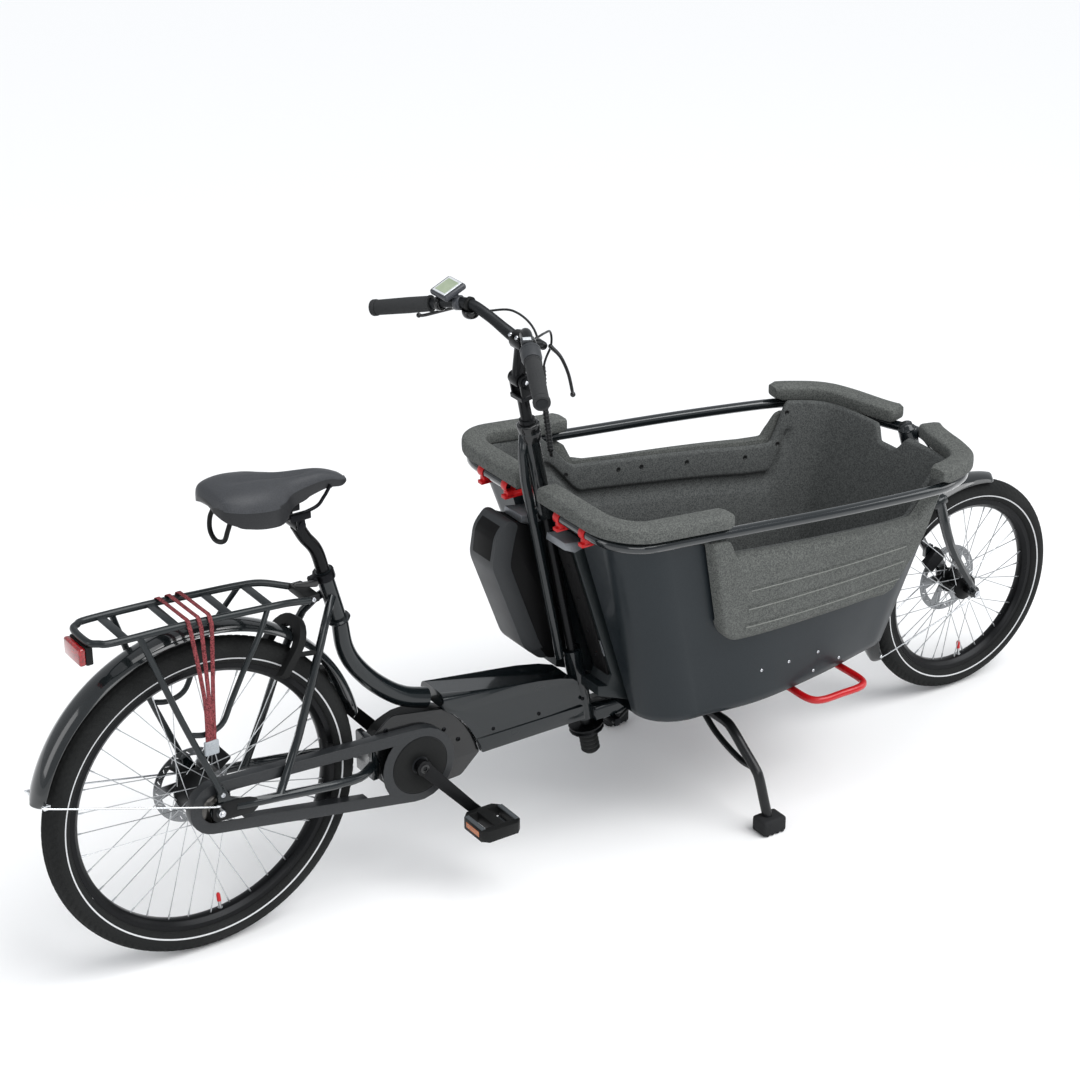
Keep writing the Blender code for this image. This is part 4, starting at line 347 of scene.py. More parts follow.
def plate(outline, low, high, edge=0.0, holes=()):
    """A flat plate across the bike: an outline in x and z, with holes, between two y places."""
    curve = bpy.data.curves.new("outline", "CURVE")
    curve.dimensions = "2D"
    curve.fill_mode = "BOTH"
    curve.extrude = (high - low) / 2
    for loop in [outline, *holes]:
        line = curve.splines.new("POLY")
        line.points.add(len(loop) - 1)
        line.use_cyclic_u = True
        for spot, (u, v) in zip(line.points, loop):
            spot.co = (u, v, 0.0, 1.0)
    item = bpy.data.objects.new("outline", curve)
    bpy.context.collection.objects.link(item)
    mesh = bpy.data.meshes.new_from_object(item.evaluated_get(bpy.context.evaluated_depsgraph_get()))
    bpy.data.objects.remove(item)
    bpy.data.curves.remove(curve)
    form = bmesh.new()
    form.from_mesh(mesh)
    bpy.data.meshes.remove(mesh)
    bmesh.ops.remove_doubles(form, verts=form.verts, dist=1e-6)
    form.transform(Matrix(((1, 0, 0, 0), (0, 0, -1, (low + high) / 2), (0, 1, 0, 0), (0, 0, 0, 1))))
    turned_out(form)
    if edge:
        rounded(form, edge, 60.0)
    return form


def arc(centre, radius, start, end, steps=16):
    """Points on a flat arc, angles in degrees."""
    turns = [radians(start + (end - start) * i / steps) for i in range(steps + 1)]
    return [(centre[0] + radius * cos(a), centre[1] + radius * sin(a)) for a in turns]


def circle(centre, radius, steps=32):
    """A closed ring of flat points."""
    return arc(centre, radius, 0, 360, steps)[:-1]


FRAME_PAINT = surface("anthracite_powder_coat", "#0f1416", "#181e21", 0.0012, 0.24, 0.3, coat=0.55)
SEAT_TOP = Vector((0.2865, 0.0, 0.742))
SEAT_LEAN = radians(15)
SEAT_UP = Vector((-sin(SEAT_LEAN), 0.0, cos(SEAT_LEAN)))
TUBE_FOOT = SEAT_TOP - SEAT_UP * 0.109
TUBE_RADIUS = 0.017
TUBE_SWELL = 0.005
COLUMN_LEAN = radians(11)
COLUMN_UP = Vector((-sin(COLUMN_LEAN), 0, cos(COLUMN_LEAN)))
COLUMN_SPOT = Vector((0.7648, 0.0, 0.92))


def column(height):
    """The steering column's axis at a height."""
    return Vector((COLUMN_SPOT.x - (height - COLUMN_SPOT.z) * tan(COLUMN_LEAN), 0.0, height))


# The main tube sweeps from the saddle down to the beam and swells on its way
sweep = [SEAT_TOP, TUBE_FOOT] + eased([TUBE_FOOT - SEAT_UP * 0.018, (0.328, 0, 0.562), (0.352, 0, 0.513),
                                       (0.398, 0, 0.459), (0.458, 0, 0.4135), (0.5335, 0, 0.387)], 6)[:-2]
bent = len(sweep) - 2
sweep_radii = [TUBE_RADIUS] * 2 + [TUBE_RADIUS + TUBE_SWELL * i / (bent - 1) for i in range(bent)]
main_tube = joined(swept(sweep, sweep_radii, 40),
                   lathe([(0.0, 0.001), (0.0225, 0.0), (0.0245, -0.004), (0.0225, -0.008), (0.0, -0.008)],
                         TUBE_FOOT - SEAT_UP * 0.004, SEAT_UP, 32))
piece("main_tube_painted", main_tube, FRAME_PAINT, "frame", ("main_tube",))

# The beam is a pressed box with softly rounded upper edges; a cover closes it from below, and the cover's
# edge shows as a bright line along each side.
BEAM_SIDE = 0.045
BEAM_LOW = 0.256
BEAM_HIGH = 0.385
SHAFT_ROOM = 0.0207
COVER_LIP = 0.003
CRADLE = [(p.x, p.z) for p in eased([(0.5255, 0, 0.379), (0.556, 0, 0.356), (0.583, 0, 0.322),
                                     (0.602, 0, 0.286), (0.612, 0, BEAM_LOW)], 6)]
BEAM_OUTLINE = [(0.5255, 0.413), *CRADLE, (column(BEAM_LOW).x - SHAFT_ROOM, BEAM_LOW),
                (column(BEAM_HIGH).x - SHAFT_ROOM, BEAM_HIGH)]
beam = plate(BEAM_OUTLINE, -BEAM_SIDE, BEAM_SIDE)
for low, high, radius, segments in ((0.37, 1.0, 0.017, 6), (0.0, 0.26, 0.008, 3)):
    edges = [e for e in beam.edges if e.calc_length() > 0.2 and all(low < v.co.z < high for v in e.verts)]
    bmesh.ops.bevel(beam, geom=edges, offset=radius, segments=segments, affect="EDGES", profile=0.5)
cover = plate([(0.6005, 0.29), (0.6075, 0.274), (0.6135, 0.2548), (0.869, 0.2548), (0.863, 0.288)],
              -BEAM_SIDE - COVER_LIP, BEAM_SIDE + COVER_LIP, 0.0022)
piece("beam_painted", joined(beam, cover), FRAME_PAINT, "frame", ("beam",), 30.0)

# Screws: small button heads hold covers and panels everywhere on the bike. Black oxide gives them a dull dark
# glint, and zinc a bright smudged one. One tree copies an item to marked places, each turned to its mark's
# direction, and a second sets copies in a ring, for spokes and disc bolts.


def copying_tree(name, inputs):
    """A Geometry Nodes tree with named inputs, and the node that gives them."""
    tree = bpy.data.node_groups.new(name, "GeometryNodeTree")
    for label, kind in inputs:
        tree.interface.new_socket(label, in_out="INPUT", socket_type="NodeSocket" + kind)
    tree.interface.new_socket("Geometry", in_out="OUTPUT", socket_type="NodeSocketGeometry")
    return tree, add(tree, "NodeGroupInput")


def copies_out(tree, given, points, angles):
    """The end of a tree: its item is set on every point, turned, made real and given its finish."""
    made = add(tree, "GeometryNodeObjectInfo", None, {"Object": given.outputs["Item"]})
    turned_to = add(tree, "FunctionNodeEulerToRotation", None, {0: angles})
    set_out = add(tree, "GeometryNodeInstanceOnPoints", None,
                  {"Points": points, "Instance": made.outputs["Geometry"], "Rotation": turned_to.outputs[0]})
    real = add(tree, "GeometryNodeRealizeInstances", None, {"Geometry": set_out.outputs[0]})
    coated = add(tree, "GeometryNodeSetMaterial", None,
                 {"Geometry": real.outputs[0], "Material": given.outputs["Finish"]})
    add(tree, "NodeGroupOutput", None, {0: coated.outputs[0]})


copies, given = copying_tree("copies_at_marks", (("Marks", "Geometry"), ("Item", "Object"),
                                                 ("Finish", "Material")))
turn_of = add(copies, "GeometryNodeInputNamedAttribute", {"data_type": "FLOAT_VECTOR", "Name": "turn"})
copies_out(copies, given, given.outputs["Marks"], turn_of.outputs["Attribute"])

ring, given = copying_tree("ring_of_copies", (("Geometry", "Geometry"), ("Item", "Object"), ("Count", "Int"),
                                              ("Finish", "Material")))
spots = add(ring, "GeometryNodePoints", None, {"Count": given.outputs["Count"]})
number = add(ring, "GeometryNodeInputIndex")
share = add(ring, "ShaderNodeMath", {"operation": "DIVIDE"},
            {0: number.outputs[0], 1: given.outputs["Count"]})
angle = add(ring, "ShaderNodeMath", {"operation": "MULTIPLY", 1: 2 * pi}, {0: share.outputs[0]})
about_y = add(ring, "ShaderNodeCombineXYZ", None, {"Y": angle.outputs[0]})
copies_out(ring, given, spots.outputs[0], about_y.outputs[0])


def repeated(tree, host, item, values):
    """The mesh that a tree of copies gives from one item, as a form."""
    item_object = laid_out("item", item)
    host_object = bpy.data.objects.new("host", host)
    bpy.context.collection.objects.link(host_object)
    step = host_object.modifiers.new("copies", "NODES")
    step.node_group = tree
    values = dict(values, Item=item_object)
    for socket in tree.interface.items_tree:
        if socket.name in values:
            step[socket.identifier] = values[socket.name]
    bpy.context.view_layer.update()
    graph = bpy.context.evaluated_depsgraph_get()
    mesh = bpy.data.meshes.new_from_object(host_object.evaluated_get(graph))
    bpy.data.objects.remove(host_object)
    bpy.data.objects.remove(item_object)
    form = bmesh.new()
    form.from_mesh(mesh)
    return form


def at_marks(item, marks):
    """Copies of an item at (place, direction) marks; the item's z axis turns to the direction."""
    host = bpy.data.meshes.new("marks")
    host.from_pydata([tuple(place) for place, way in marks], [], [])
    turns = host.attributes.new("turn", "FLOAT_VECTOR", "POINT")
    for row, (place, way) in zip(turns.data, marks):
        row.vector = Vector(way).to_track_quat("Z", "Y").to_euler()
    return repeated(copies, host, item, {})


def in_ring(item, count, centre):
    """Copies of an item, drawn round the origin, turned about an axle."""
    form = repeated(ring, bpy.data.meshes.new("ring"), item, {"Count": count})
    form.transform(Matrix.Translation(centre))
    return form


def on_both_sides(marks):
    """The given (place, direction) marks with their mirror images across the bike."""
    return [((x, hand * y, z), (u, hand * v, w)) for (x, y, z), (u, v, w) in marks for hand in (1, -1)]


def screw_head(radius, height):
    """A button head with a six-sided socket."""
    rim = radius * 0.5
    head = lathe([(radius, -0.001), (radius, height * 0.35), (radius * 0.8, height * 0.85), (rim, height)],
                 (0, 0, 0), (0, 0, 1), 12)
    well = lathe([(rim, height), (radius * 0.42, height * 0.2), (0, height * 0.2)], (0, 0, 0), (0, 0, 1), 12)
    return joined(head, well)


BLACK_STEEL = surface("black_oxide_steel", "#101113", "#1c1d20", 0.0009, 0.35, 0.8)
BRIGHT_STEEL = surface("bright_zinc_steel", "#b9bcc0", "#dcdde0", 0.0011, 0.24, 1.0, smudges=0.4)
beam_screws = on_both_sides([((x, BEAM_SIDE + 0.0002, z), (0, 1, 0))
                             for x, z in ((0.642, 0.301), (0.754, 0.301), (0.8635, 0.3026))])
piece("beam_screws", at_marks(screw_head(0.0042, 0.0016), beam_screws), BLACK_STEEL, "frame")

# Stays, heads, spine and fork: the rest of the welded steel frame keeps its drawn shape, under the same
# powder coat.
for node in ("rear_triangle", "front_frame", "steering_head", "fork"):
    dressed(node, FRAME_PAINT)

# Wheels: a wide balloon tyre with a finely cut tread and a pale reflective stripe, a black double-wall rim,
# thirty-six steel spokes laced over three, and a hub with a slotted steel brake disc on its left. The rubber
# is dull, the anodised rims and hubs have a satin glint, and spokes and discs a bright one.
REAR_AXLE = Vector((0.0, 0.0, 0.3345))
FRONT_AXLE = Vector((1.9388, 0.0, 0.2555))
RIM_WIDTH = 0.033
FLANGE = 0.006
RIM_DEPTH = 0.02
TREAD_DEPTH = 0.0016
TREAD_END = 66
ROUND_GROOVES = (9, 27)
ROUND_GROOVE_HALF = 3.2
SLANTED_CUTS_FROM = 12
STRIPE_AT = 0.36
STRIPE_HALF = 0.0021
SECTION_STEPS = 44
SPOKE_TURN = 2 * pi / 18
SPOKES_CROSSED = 3
VALVE_ANGLE = radians(5)
DISC_RADIUS = 0.08
DISC_HALF = 0.001
DISC_ARMS = 6
DISC_SLOTS = 36
TYRE_RUBBER = surface("tyre_rubber", "#151616", "#222323", 0.0016, 0.85, dents=0.0002, shine=0.2)
STRIPE = surface("reflective_stripe", "#b4b6b8", "#d6d7d8", 0.0008, 0.45)
RIM_BLACK = surface("anodised_black_rim", "#0e0f10", "#17181a", 0.001, 0.3, 0.6)
SPOKE_STEEL = surface("drawn_spoke_steel", "#a7aaac", "#d2d4d6", 0.001, 0.3, 1.0)
DISC_STEEL = surface("ground_disc_steel", "#6c6e70", "#9b9d9f", 0.0007, 0.34, 1.0, smudges=0.35)
HUB_BLACK = surface("black_hub_shell", "#0b0c0d", "#151617", 0.001, 0.34, 0.7)
VALVE_RED = surface("red_valve_cap", "#a3161b", "#c9252b", 0.0008, 0.4)


def tyre(axle, bead, height, steps):
    """A tyre: its section is swept round the axle, and its tread is cut by sinking rows of points.

    The grooves and cuts are placed by degrees from the crown. The tread is drawn coarser than the real
    one's, which would need far more faces.
    """
    half = height / 2
    start = asin(RIM_WIDTH / 2 / half)
    form = bmesh.new()
    rows = []
    for step in range(steps):
        turn = 2 * pi * step / steps
        row = []
        for place in range(SECTION_STEPS + 1):
            lean = start + (2 * pi - 2 * start) * place / SECTION_STEPS
            from_crown = degrees(lean - pi)
            slanted = (step + int(abs(from_crown) / 8)) % 5 == 0 and abs(from_crown) > SLANTED_CUTS_FROM
            around = min(abs(abs(from_crown) - line) for line in ROUND_GROOVES) < ROUND_GROOVE_HALF
            cut = abs(from_crown) < TREAD_END and (around or slanted)
            swell = half - (TREAD_DEPTH if cut else 0.0)
            radius = bead / 2 + half - swell * cos(lean)
            if place in (0, SECTION_STEPS):
                radius = bead / 2 + FLANGE + 0.0003
            row.append(form.verts.new((axle.x + radius * cos(turn), swell * sin(lean),
                                       axle.z + radius * sin(turn))))
        rows.append(row)
    stripe = bead / 2 + height * STRIPE_AT
    for first, second in zip(rows, rows[1:] + rows[:1]):
        for place in range(SECTION_STEPS):
            face = form.faces.new((first[place], first[place + 1], second[place + 1], second[place]))
            middle = face.calc_center_median() - axle
            face.material_index = int(abs(hypot(middle.x, middle.z) - stripe) < STRIPE_HALF)
        form.faces.new((first[-1], first[0], second[0], second[-1]))
    return turned_out(form)


def disc(y, boss):
    """A brake disc: a ring with slanting slots on six curved arms."""
    holes = [circle((0, 0), boss - 0.002, 24)]
    inner = boss + 0.006
    for arm in range(DISC_ARMS):
        start = 360 / DISC_ARMS * arm
        holes.append(arc((0, 0), DISC_RADIUS - 0.0165, start + 12, start + 48, 6)
                     + arc((0, 0), inner, start + 28, start + 4, 4))
    for slot in range(DISC_SLOTS):
        lean = 0.05 if slot % 2 else -0.05
        side = 0.016
        turn = 2 * pi * slot / DISC_SLOTS
        far, near = DISC_RADIUS - 0.005, DISC_RADIUS - 0.0125
        corners = [(near, turn - lean - side), (near, turn - lean + side),
                   (far, turn + lean + side), (far, turn + lean - side)]
        holes.append([(r * cos(a), r * sin(a)) for r, a in corners])
    return plate(circle((0, 0), DISC_RADIUS, 96), y - DISC_HALF, y + DISC_HALF, 0.0, holes)


def spoke_group(rim_inner, flange_radius, flange_y):
    """Four spokes with their nipples, two of each flange, leading and trailing, round the origin."""
    forms = []
    tip_radius = rim_inner + 0.003
    for hand in (-1, 1):
        for lead in (-1, 1):
            at = SPOKE_TURN * ((1 if lead > 0 else 0) + (0.5 if hand < 0 else 0))
            tip = at + lead * SPOKE_TURN * SPOKES_CROSSED
            foot = flange_radius - 0.0045
            start = Vector((foot * cos(at), hand * flange_y + lead * 0.0025, foot * sin(at)))
            end = Vector((tip_radius * cos(tip), hand * 0.003 + lead * 0.0003, tip_radius * sin(tip)))
            way = (end - start).normalized()
            across = Vector((0, lead, 0))
            forms.append(swept([start, end], 0.001, 8))
            forms.append(swept([end - way * 0.015, end - way * 0.0005], [0.0016, 0.002], 8))
            forms.append(swept([start - across * 0.0042, start + across * 0.0008], 0.0019, 8))
    return joined(*forms)


def there_and_back(line):
    """A section's points down one half, followed by the other half's."""
    return line + [(radius, -place) for radius, place in line[::-1]]


for side, body, axle, bead, height, steps, hub_sizes in (
        ("rear", "rear_wheel", REAR_AXLE, 0.559, 0.055, 600,
         (0.0672, -0.045, 0.04, 0.045, 0.03, 0.016, 0.022, 0.05)),
        ("front", "front_wheel", FRONT_AXLE, 0.406, 0.0525, 440,
         (0.0497, -0.0497, 0.015, 0.03, 0.024, 0.011, 0.018, 0.038))):
    rubber = tyre(axle, bead, height, steps)
    piece(side + "_tyre_treaded", rubber, [TYRE_RUBBER, STRIPE], body, (side + "_tyre",), 60.0)
    edge = bead / 2 + FLANGE
    inner = edge - RIM_DEPTH
    bed = RIM_WIDTH / 2
    well = there_and_back([(edge, bed), (edge, bed - 0.002), (edge - 0.006, bed - 0.003),
                           (edge - 0.009, 0.006)])
    walls = [(edge - 0.01, -bed), (inner + 0.0025, -0.0105), (inner + 0.0006, -0.0075)]
    walls += [(inner, 0.0)] + [(radius, -place) for radius, place in walls[::-1]]
    rim = lathe(well + walls, axle, (0, 1, 0), 144, True)
    piece(side + "_rim_black", rim, RIM_BLACK, body, (side + "_rim",), 30.0)
    down = Vector((sin(VALVE_ANGLE), 0, -cos(VALVE_ANGLE)))
    seat = axle + down * (inner + 0.002)
    valve = lathe([(0.0, -0.002), (0.0052, -0.002), (0.0052, 0.003), (0.0032, 0.004), (0.003, 0.02),
                   (0.0, 0.021)], seat, -down, 16)
    piece(side + "_valve", valve, SPOKE_STEEL, body)
    valve_cap = lathe([(0.0, 0.018), (0.0042, 0.018), (0.0042, 0.032), (0.003, 0.036), (0.0, 0.0365)],
                      seat, -down, 12)
    piece(side + "_valve_cap", valve_cap, VALVE_RED, body)

    # The hub is turned from one piece, and a boss on its left carries the disc
    left_end, right_end, barrel, flange_radius, flange_y, end_radius, boss, disc_y = hub_sizes
    flanges = there_and_back([(flange_radius - 0.002, flange_y + 0.004), (flange_radius, flange_y + 0.0025),
                              (flange_radius, flange_y - 0.0025), (flange_radius - 0.002, flange_y - 0.0038),
                              (barrel + 0.002, flange_y - 0.006), (barrel, flange_y - 0.01)])
    shell = [(0.0058, left_end), (end_radius, left_end), (end_radius, disc_y + 0.004), (boss, disc_y + 0.004),
             (boss, flange_y + 0.006), *flanges, (end_radius + 0.006, -flange_y - 0.006),
             (end_radius, -flange_y - 0.008), (end_radius, right_end), (0.0058, right_end)]
    hub = lathe(shell, axle, (0, 1, 0), 64, True)
    piece(side + "_hub_shell", hub, HUB_BLACK, body, (side + "_hub",), 30.0)
    spokes = in_ring(spoke_group(inner, flange_radius, flange_y), 9, axle)
    piece(side + "_spokes", spokes, SPOKE_STEEL, body)
    rotor = disc(disc_y, boss)
    rotor.transform(Matrix.Translation(axle))
    piece(side + "_brake_disc", rotor, DISC_STEEL, body, (), 30.0)
    bolt = screw_head(0.0045, 0.0022)
    bolt.transform(Matrix.Rotation(-pi / 2, 4, "X"))
    bolt.transform(Matrix.Translation((boss + 0.0015, disc_y + 0.0012, 0)))
    piece(side + "_disc_bolts", in_ring(bolt, 6, axle), BRIGHT_STEEL, body)

# Cargo box: a tub folded from sheet, painted satin blue-grey, which takes only a soft light. Its walls are
# straight from the floor's corners up to the top's, so each point is found between the two outlines. The foam
# round it shows fine beads of two greys. The liner's beads are darker: painted shade for the shade that it
# lies in.
TUB_FLOOR_Z = 0.28
TUB_TOP_Z = 0.745
TUB_OUTLINES = (
    ([(0.962, 0.0), (0.962, 0.112), (0.935, 0.124), (0.935, 0.136)], (1.041, 0.136), (0.106, 0.08),
     [(1.041, 0.216), (1.1865, 0.2315), (1.363, 0.212), (1.495, 0.185), (1.55, 0.172), (1.5765, 0.15),
      (1.5765, 0.08), (1.5765, 0.0)]),
    ([(0.824, 0.0), (0.824, 0.112), (0.797, 0.125), (0.797, 0.205)], (0.9, 0.205), (0.103, 0.082),
     [(0.9, 0.287), (1.1, 0.287), (1.35, 0.284), (1.58, 0.27), (1.668, 0.252), (1.725, 0.215),
      (1.748, 0.15), (1.752, 0.0)]))
FRONT_STEPS = 8
FRONT_CURVES = [eased([(x, y, 0.0) for x, y in outline[3]], FRONT_STEPS) for outline in TUB_OUTLINES]
BEND_START = 3
SIDE_START = 7
LAST_PLACE = 14
RAIL_REAR_X = 0.776
RAIL_REAR_Z = 0.762
RAIL_FALL = 0.095
LOW_WALL = [(0.95, 0.69), (1.03, 0.683), (1.2375, 0.656), (1.4, 0.637), (1.505, 0.624), (1.7, 0.612)]
LOW_WALL_REAR = 7.7
LOW_WALL_FRONT = 10.15
BOX_PAINT = surface("satin_blue_grey_paint", "#1b2125", "#21272b", 0.0012, 0.36, 0.2, coat=0.1, shine=0.2)
BEAD_FOAM = surface("grey_bead_foam", "#434544", "#636562", 0.0019, 0.9, dents=0.0001, cells=True, shine=0.2)
# The liner's foam: the same beads painted darker, as painted shade for the shade inside the tub.
SHADE_PAINTED_FOAM = surface("shade_painted_bead_foam", "#3b3d3d", "#575958", 0.0019, 0.9, dents=0.0001, cells=True,
                      shine=0.2)


def tub_line(kind, place):
    """A point of the floor's outline (0) or the top's (1), counted by its corners from the rear's middle."""
    rear, bend, radii, front = TUB_OUTLINES[kind]
    if place < BEND_START:
        first, second = (Vector((*corner, 0)) for corner in rear[int(place):int(place) + 2])
        return first.lerp(second, place - int(place))
    if place < SIDE_START:
        turn = radians(90 * (place - BEND_START) / (SIDE_START - BEND_START))
        return Vector((bend[0] - radii[0] * cos(turn), bend[1] + radii[1] * sin(turn), 0))
    along = min((place - SIDE_START) * FRONT_STEPS, len(FRONT_CURVES[kind]) - 1.001)
    return FRONT_CURVES[kind][int(along)].lerp(FRONT_CURVES[kind][int(along) + 1], along - int(along))


def tub_spot(place, z, outward=0.0):
    """A point beside the tub's outer wall, some distance outwards of it."""
    rise = (z - TUB_FLOOR_Z) / (TUB_TOP_Z - TUB_FLOOR_Z)
    near = [tub_line(0, p).lerp(tub_line(1, p), rise)
            for p in (max(place - 0.03, 0), place, min(place + 0.03, LAST_PLACE))]
    along = (near[2] - near[0]).normalized()
    if place < 0.01 or place > LAST_PLACE - 0.01:
        along = Vector((0, -1 if place > 1 else 1, 0))
    return Vector((near[1].x, near[1].y, z)) + Vector((-along.y, along.x, 0)) * outward


def rail_height(x):
    """The rail's height, which falls towards the front."""
    return RAIL_REAR_Z - RAIL_FALL * (x - RAIL_REAR_X)


def between(points, value):
    """The height of a line of (x, z) corners at x."""
    for (x0, z0), (x1, z1) in zip(points, points[1:]):
        if value <= x1:
            break
    return z0 + (z1 - z0) * (value - x0) / (x1 - x0)


def step_up(value, start, end):
    """Rises softly from 0 to 1 between two values."""
    share = min(1.0, max(0.0, (value - start) / (end - start)))
    return share * share * (3 - 2 * share)


def wall_top(place, at_rail, on_wall):
    """The height of an upper edge: along the rail at the box's ends, along the low wall at its sides."""
    x = tub_spot(place, 0.7).x
    falling = step_up(place, LOW_WALL_REAR - 0.36, LOW_WALL_REAR)
    rising = step_up(place, LOW_WALL_FRONT - 0.15, LOW_WALL_FRONT + 0.3)
    low = falling * (1 - rising)
    return (rail_height(x) + at_rail) * (1 - low) + (between(LOW_WALL, x) + on_wall) * low


def mirrored(form):
    """The form's mirror image on the bike's other side."""
    bmesh.ops.scale(form, vec=(1, -1, 1), verts=form.verts)
    bmesh.ops.reverse_faces(form, faces=form.faces)
    return form


def both_sides(form):
    """A form of the left half, with its mirror image joined to it."""
    whole = joined(form, mirrored(form.copy()))
    bmesh.ops.remove_doubles(whole, verts=whole.verts, dist=1e-5)
    return whole


def grid(rows):
    """A mesh over rows of points."""
    form = bmesh.new()
    lines = [[form.verts.new(p) for p in row] for row in rows]
    for first, second in zip(lines, lines[1:]):
        for a, b, c, d in zip(first, first[1:], second[1:], second):
            form.faces.new((a, b, c, d))
    return form


def closed_tube(rows, most_sides):
    """A mesh over rows that each come back to their start, with its seam merged and its ends filled."""
    form = grid(rows)
    bmesh.ops.remove_doubles(form, verts=form.verts, dist=1e-6)
    bmesh.ops.holes_fill(form, edges=form.edges, sides=most_sides)
    return turned_out(form)


# The floor's outline folds back on itself at the corners, so that a face across it would cover others. The
# floor is laid in strips instead, each as wide as the outline's widest place there.
FLOOR_STRIPS = 60
FLOOR_SPREAD = 0.001
FLOOR_INSET = 0.0003


def flat_floor(outline, z):
    """A flat floor facing up inside an outline of the left half, with its mirror image."""
    rows = []
    low_x, high_x = min(p.x for p in outline) + FLOOR_INSET, max(p.x for p in outline) - FLOOR_INSET
    for strip in range(FLOOR_STRIPS + 1):
        x = low_x + (high_x - low_x) * strip / FLOOR_STRIPS
        wide = max(a.y + (b.y - a.y) * (x - a.x) / (b.x - a.x) for a, b in zip(outline, outline[1:])
                   if a.x != b.x and min(a.x, b.x) <= x <= max(a.x, b.x))
        rows.append([Vector((x, wide + FLOOR_SPREAD, z)), Vector((x, 0, z))])
    return both_sides(grid(rows))


WALL_STATIONS = 280
SHEET = 0.0015
UNDER_RAIL = -0.017
UNDER_LOW_WALL = -0.03
FLOOR_BEND = 0.006
places = [LAST_PLACE * i / WALL_STATIONS for i in range(WALL_STATIONS + 1)]
tub_rows = []
for place in places:
    start = TUB_FLOOR_Z + 0.02
    top = wall_top(place, UNDER_RAIL, UNDER_LOW_WALL)
    heights = [TUB_FLOOR_Z + FLOOR_BEND] + [start + (top - start) * i / 8 for i in range(9)]
    outer = [tub_spot(place, TUB_FLOOR_Z, -FLOOR_BEND)] + [tub_spot(place, z) for z in heights]
    inner = [tub_spot(place, heights[-1], -SHEET), tub_spot(place, heights[5], -SHEET)]
    tub_rows.append(outer + inner)
tub = turned_out(both_sides(grid(tub_rows)))
under = flat_floor([row[0] for row in tub_rows], TUB_FLOOR_Z + 0.0003)
bmesh.ops.reverse_faces(under, faces=under.faces)
piece("box_tub_painted", joined(tub, under), BOX_PAINT, "frame", ("box_tub",), 42.0)

# Foam liner: one moulded shell of grey bead foam inside the tub, with an undercut below the low sides' edge
# and a thick rolled edge at both ends. The beads show as fine dark and light cells.
LINER_OUT = -0.0038
LINER_IN = -0.0175
LINER_FLOOR_Z = 0.297
UNDERCUT = 0.01
UNDERCUT_LINE = ((0.054, 0.0), (0.06, 0.15), (0.0625, 0.6), (0.066, 0.95), (0.08, 1.0), (0.09, 0.8),
                 (0.1, 0.25), (0.106, 0.0))
EDGE_ROUND = 0.007
FRONT_NOTCH = 0.032
liner_rows = []
for place in places:
    notch = 1 - step_up(tub_line(1, place).y, 0.026, 0.058) if place > SIDE_START else 0.0
    top = wall_top(place, 0.019, -0.004) - FRONT_NOTCH * notch
    side = step_up(place, 7.05, 7.5) * (1 - step_up(place, 10.1, 10.9))
    shoulder = top - EDGE_ROUND
    row = [tub_spot(place, TUB_FLOOR_Z + 0.3, LINER_OUT), tub_spot(place, shoulder, LINER_OUT)]
    for turn in (160, 135, 110, 70, 45, 20):
        lean = radians(turn)
        middle = LINER_OUT - EDGE_ROUND if turn > 90 else LINER_IN + EDGE_ROUND
        across = middle - EDGE_ROUND * cos(lean)
        row.append(tub_spot(place, shoulder + EDGE_ROUND * sin(lean), across))
    row.append(tub_spot(place, shoulder, LINER_IN))
    for down, depth in UNDERCUT_LINE:
        row.append(tub_spot(place, top - down, LINER_IN + UNDERCUT * depth * side))
    start = top - UNDERCUT_LINE[-1][0]
    for drop in (0.25, 0.5, 0.75, 0.94):
        row.append(tub_spot(place, start + (LINER_FLOOR_Z - start) * drop, LINER_IN))
    row.append(tub_spot(place, LINER_FLOOR_Z + 0.006, LINER_IN - 0.004))
    row.append(tub_spot(place, LINER_FLOOR_Z, LINER_IN - 0.016))
    liner_rows.append(row)
liner = both_sides(grid(liner_rows))
bmesh.ops.reverse_faces(liner, faces=liner.faces)
liner = joined(liner, flat_floor([row[-1] for row in liner_rows], LINER_FLOOR_Z - 0.0002))

ROLL_HALF_WIDTH = 0.0255
ROLL_HALF_HEIGHT = 0.017
ROLL_SQUARENESS = 0.42
ROLL_SIDES = 24


def foam_edge(line, ends):
    """A thick rounded foam edge along the rail: its section drawn at each point and drawn in at its ends."""
    rows = []
    for i, spot in enumerate(line):
        before, after = line[max(i - 1, 0)], line[min(i + 1, len(line) - 1)]
        along = Vector((after.x - before.x, after.y - before.y, 0)).normalized()
        outwards = Vector((-along.y, along.x, 0))
        middle = rail_height(spot.x) + 0.0145 + ROLL_HALF_HEIGHT
        shrink = ends[0] if i == 0 else ends[1] if i == len(line) - 1 else 1.0
        row = []
        for turn in range(ROLL_SIDES):
            lean = 2 * pi * turn / ROLL_SIDES
            wide = copysign(abs(cos(lean)) ** ROLL_SQUARENESS, cos(lean)) * shrink
            tall = copysign(abs(sin(lean)) ** ROLL_SQUARENESS, sin(lean)) * shrink
            row.append(spot + outwards * (ROLL_HALF_WIDTH * wide - 0.0045)
                       + Vector((0, 0, middle + ROLL_HALF_HEIGHT * tall)))
        rows.append(row + row[:1])
    return closed_tube(rows, 40)


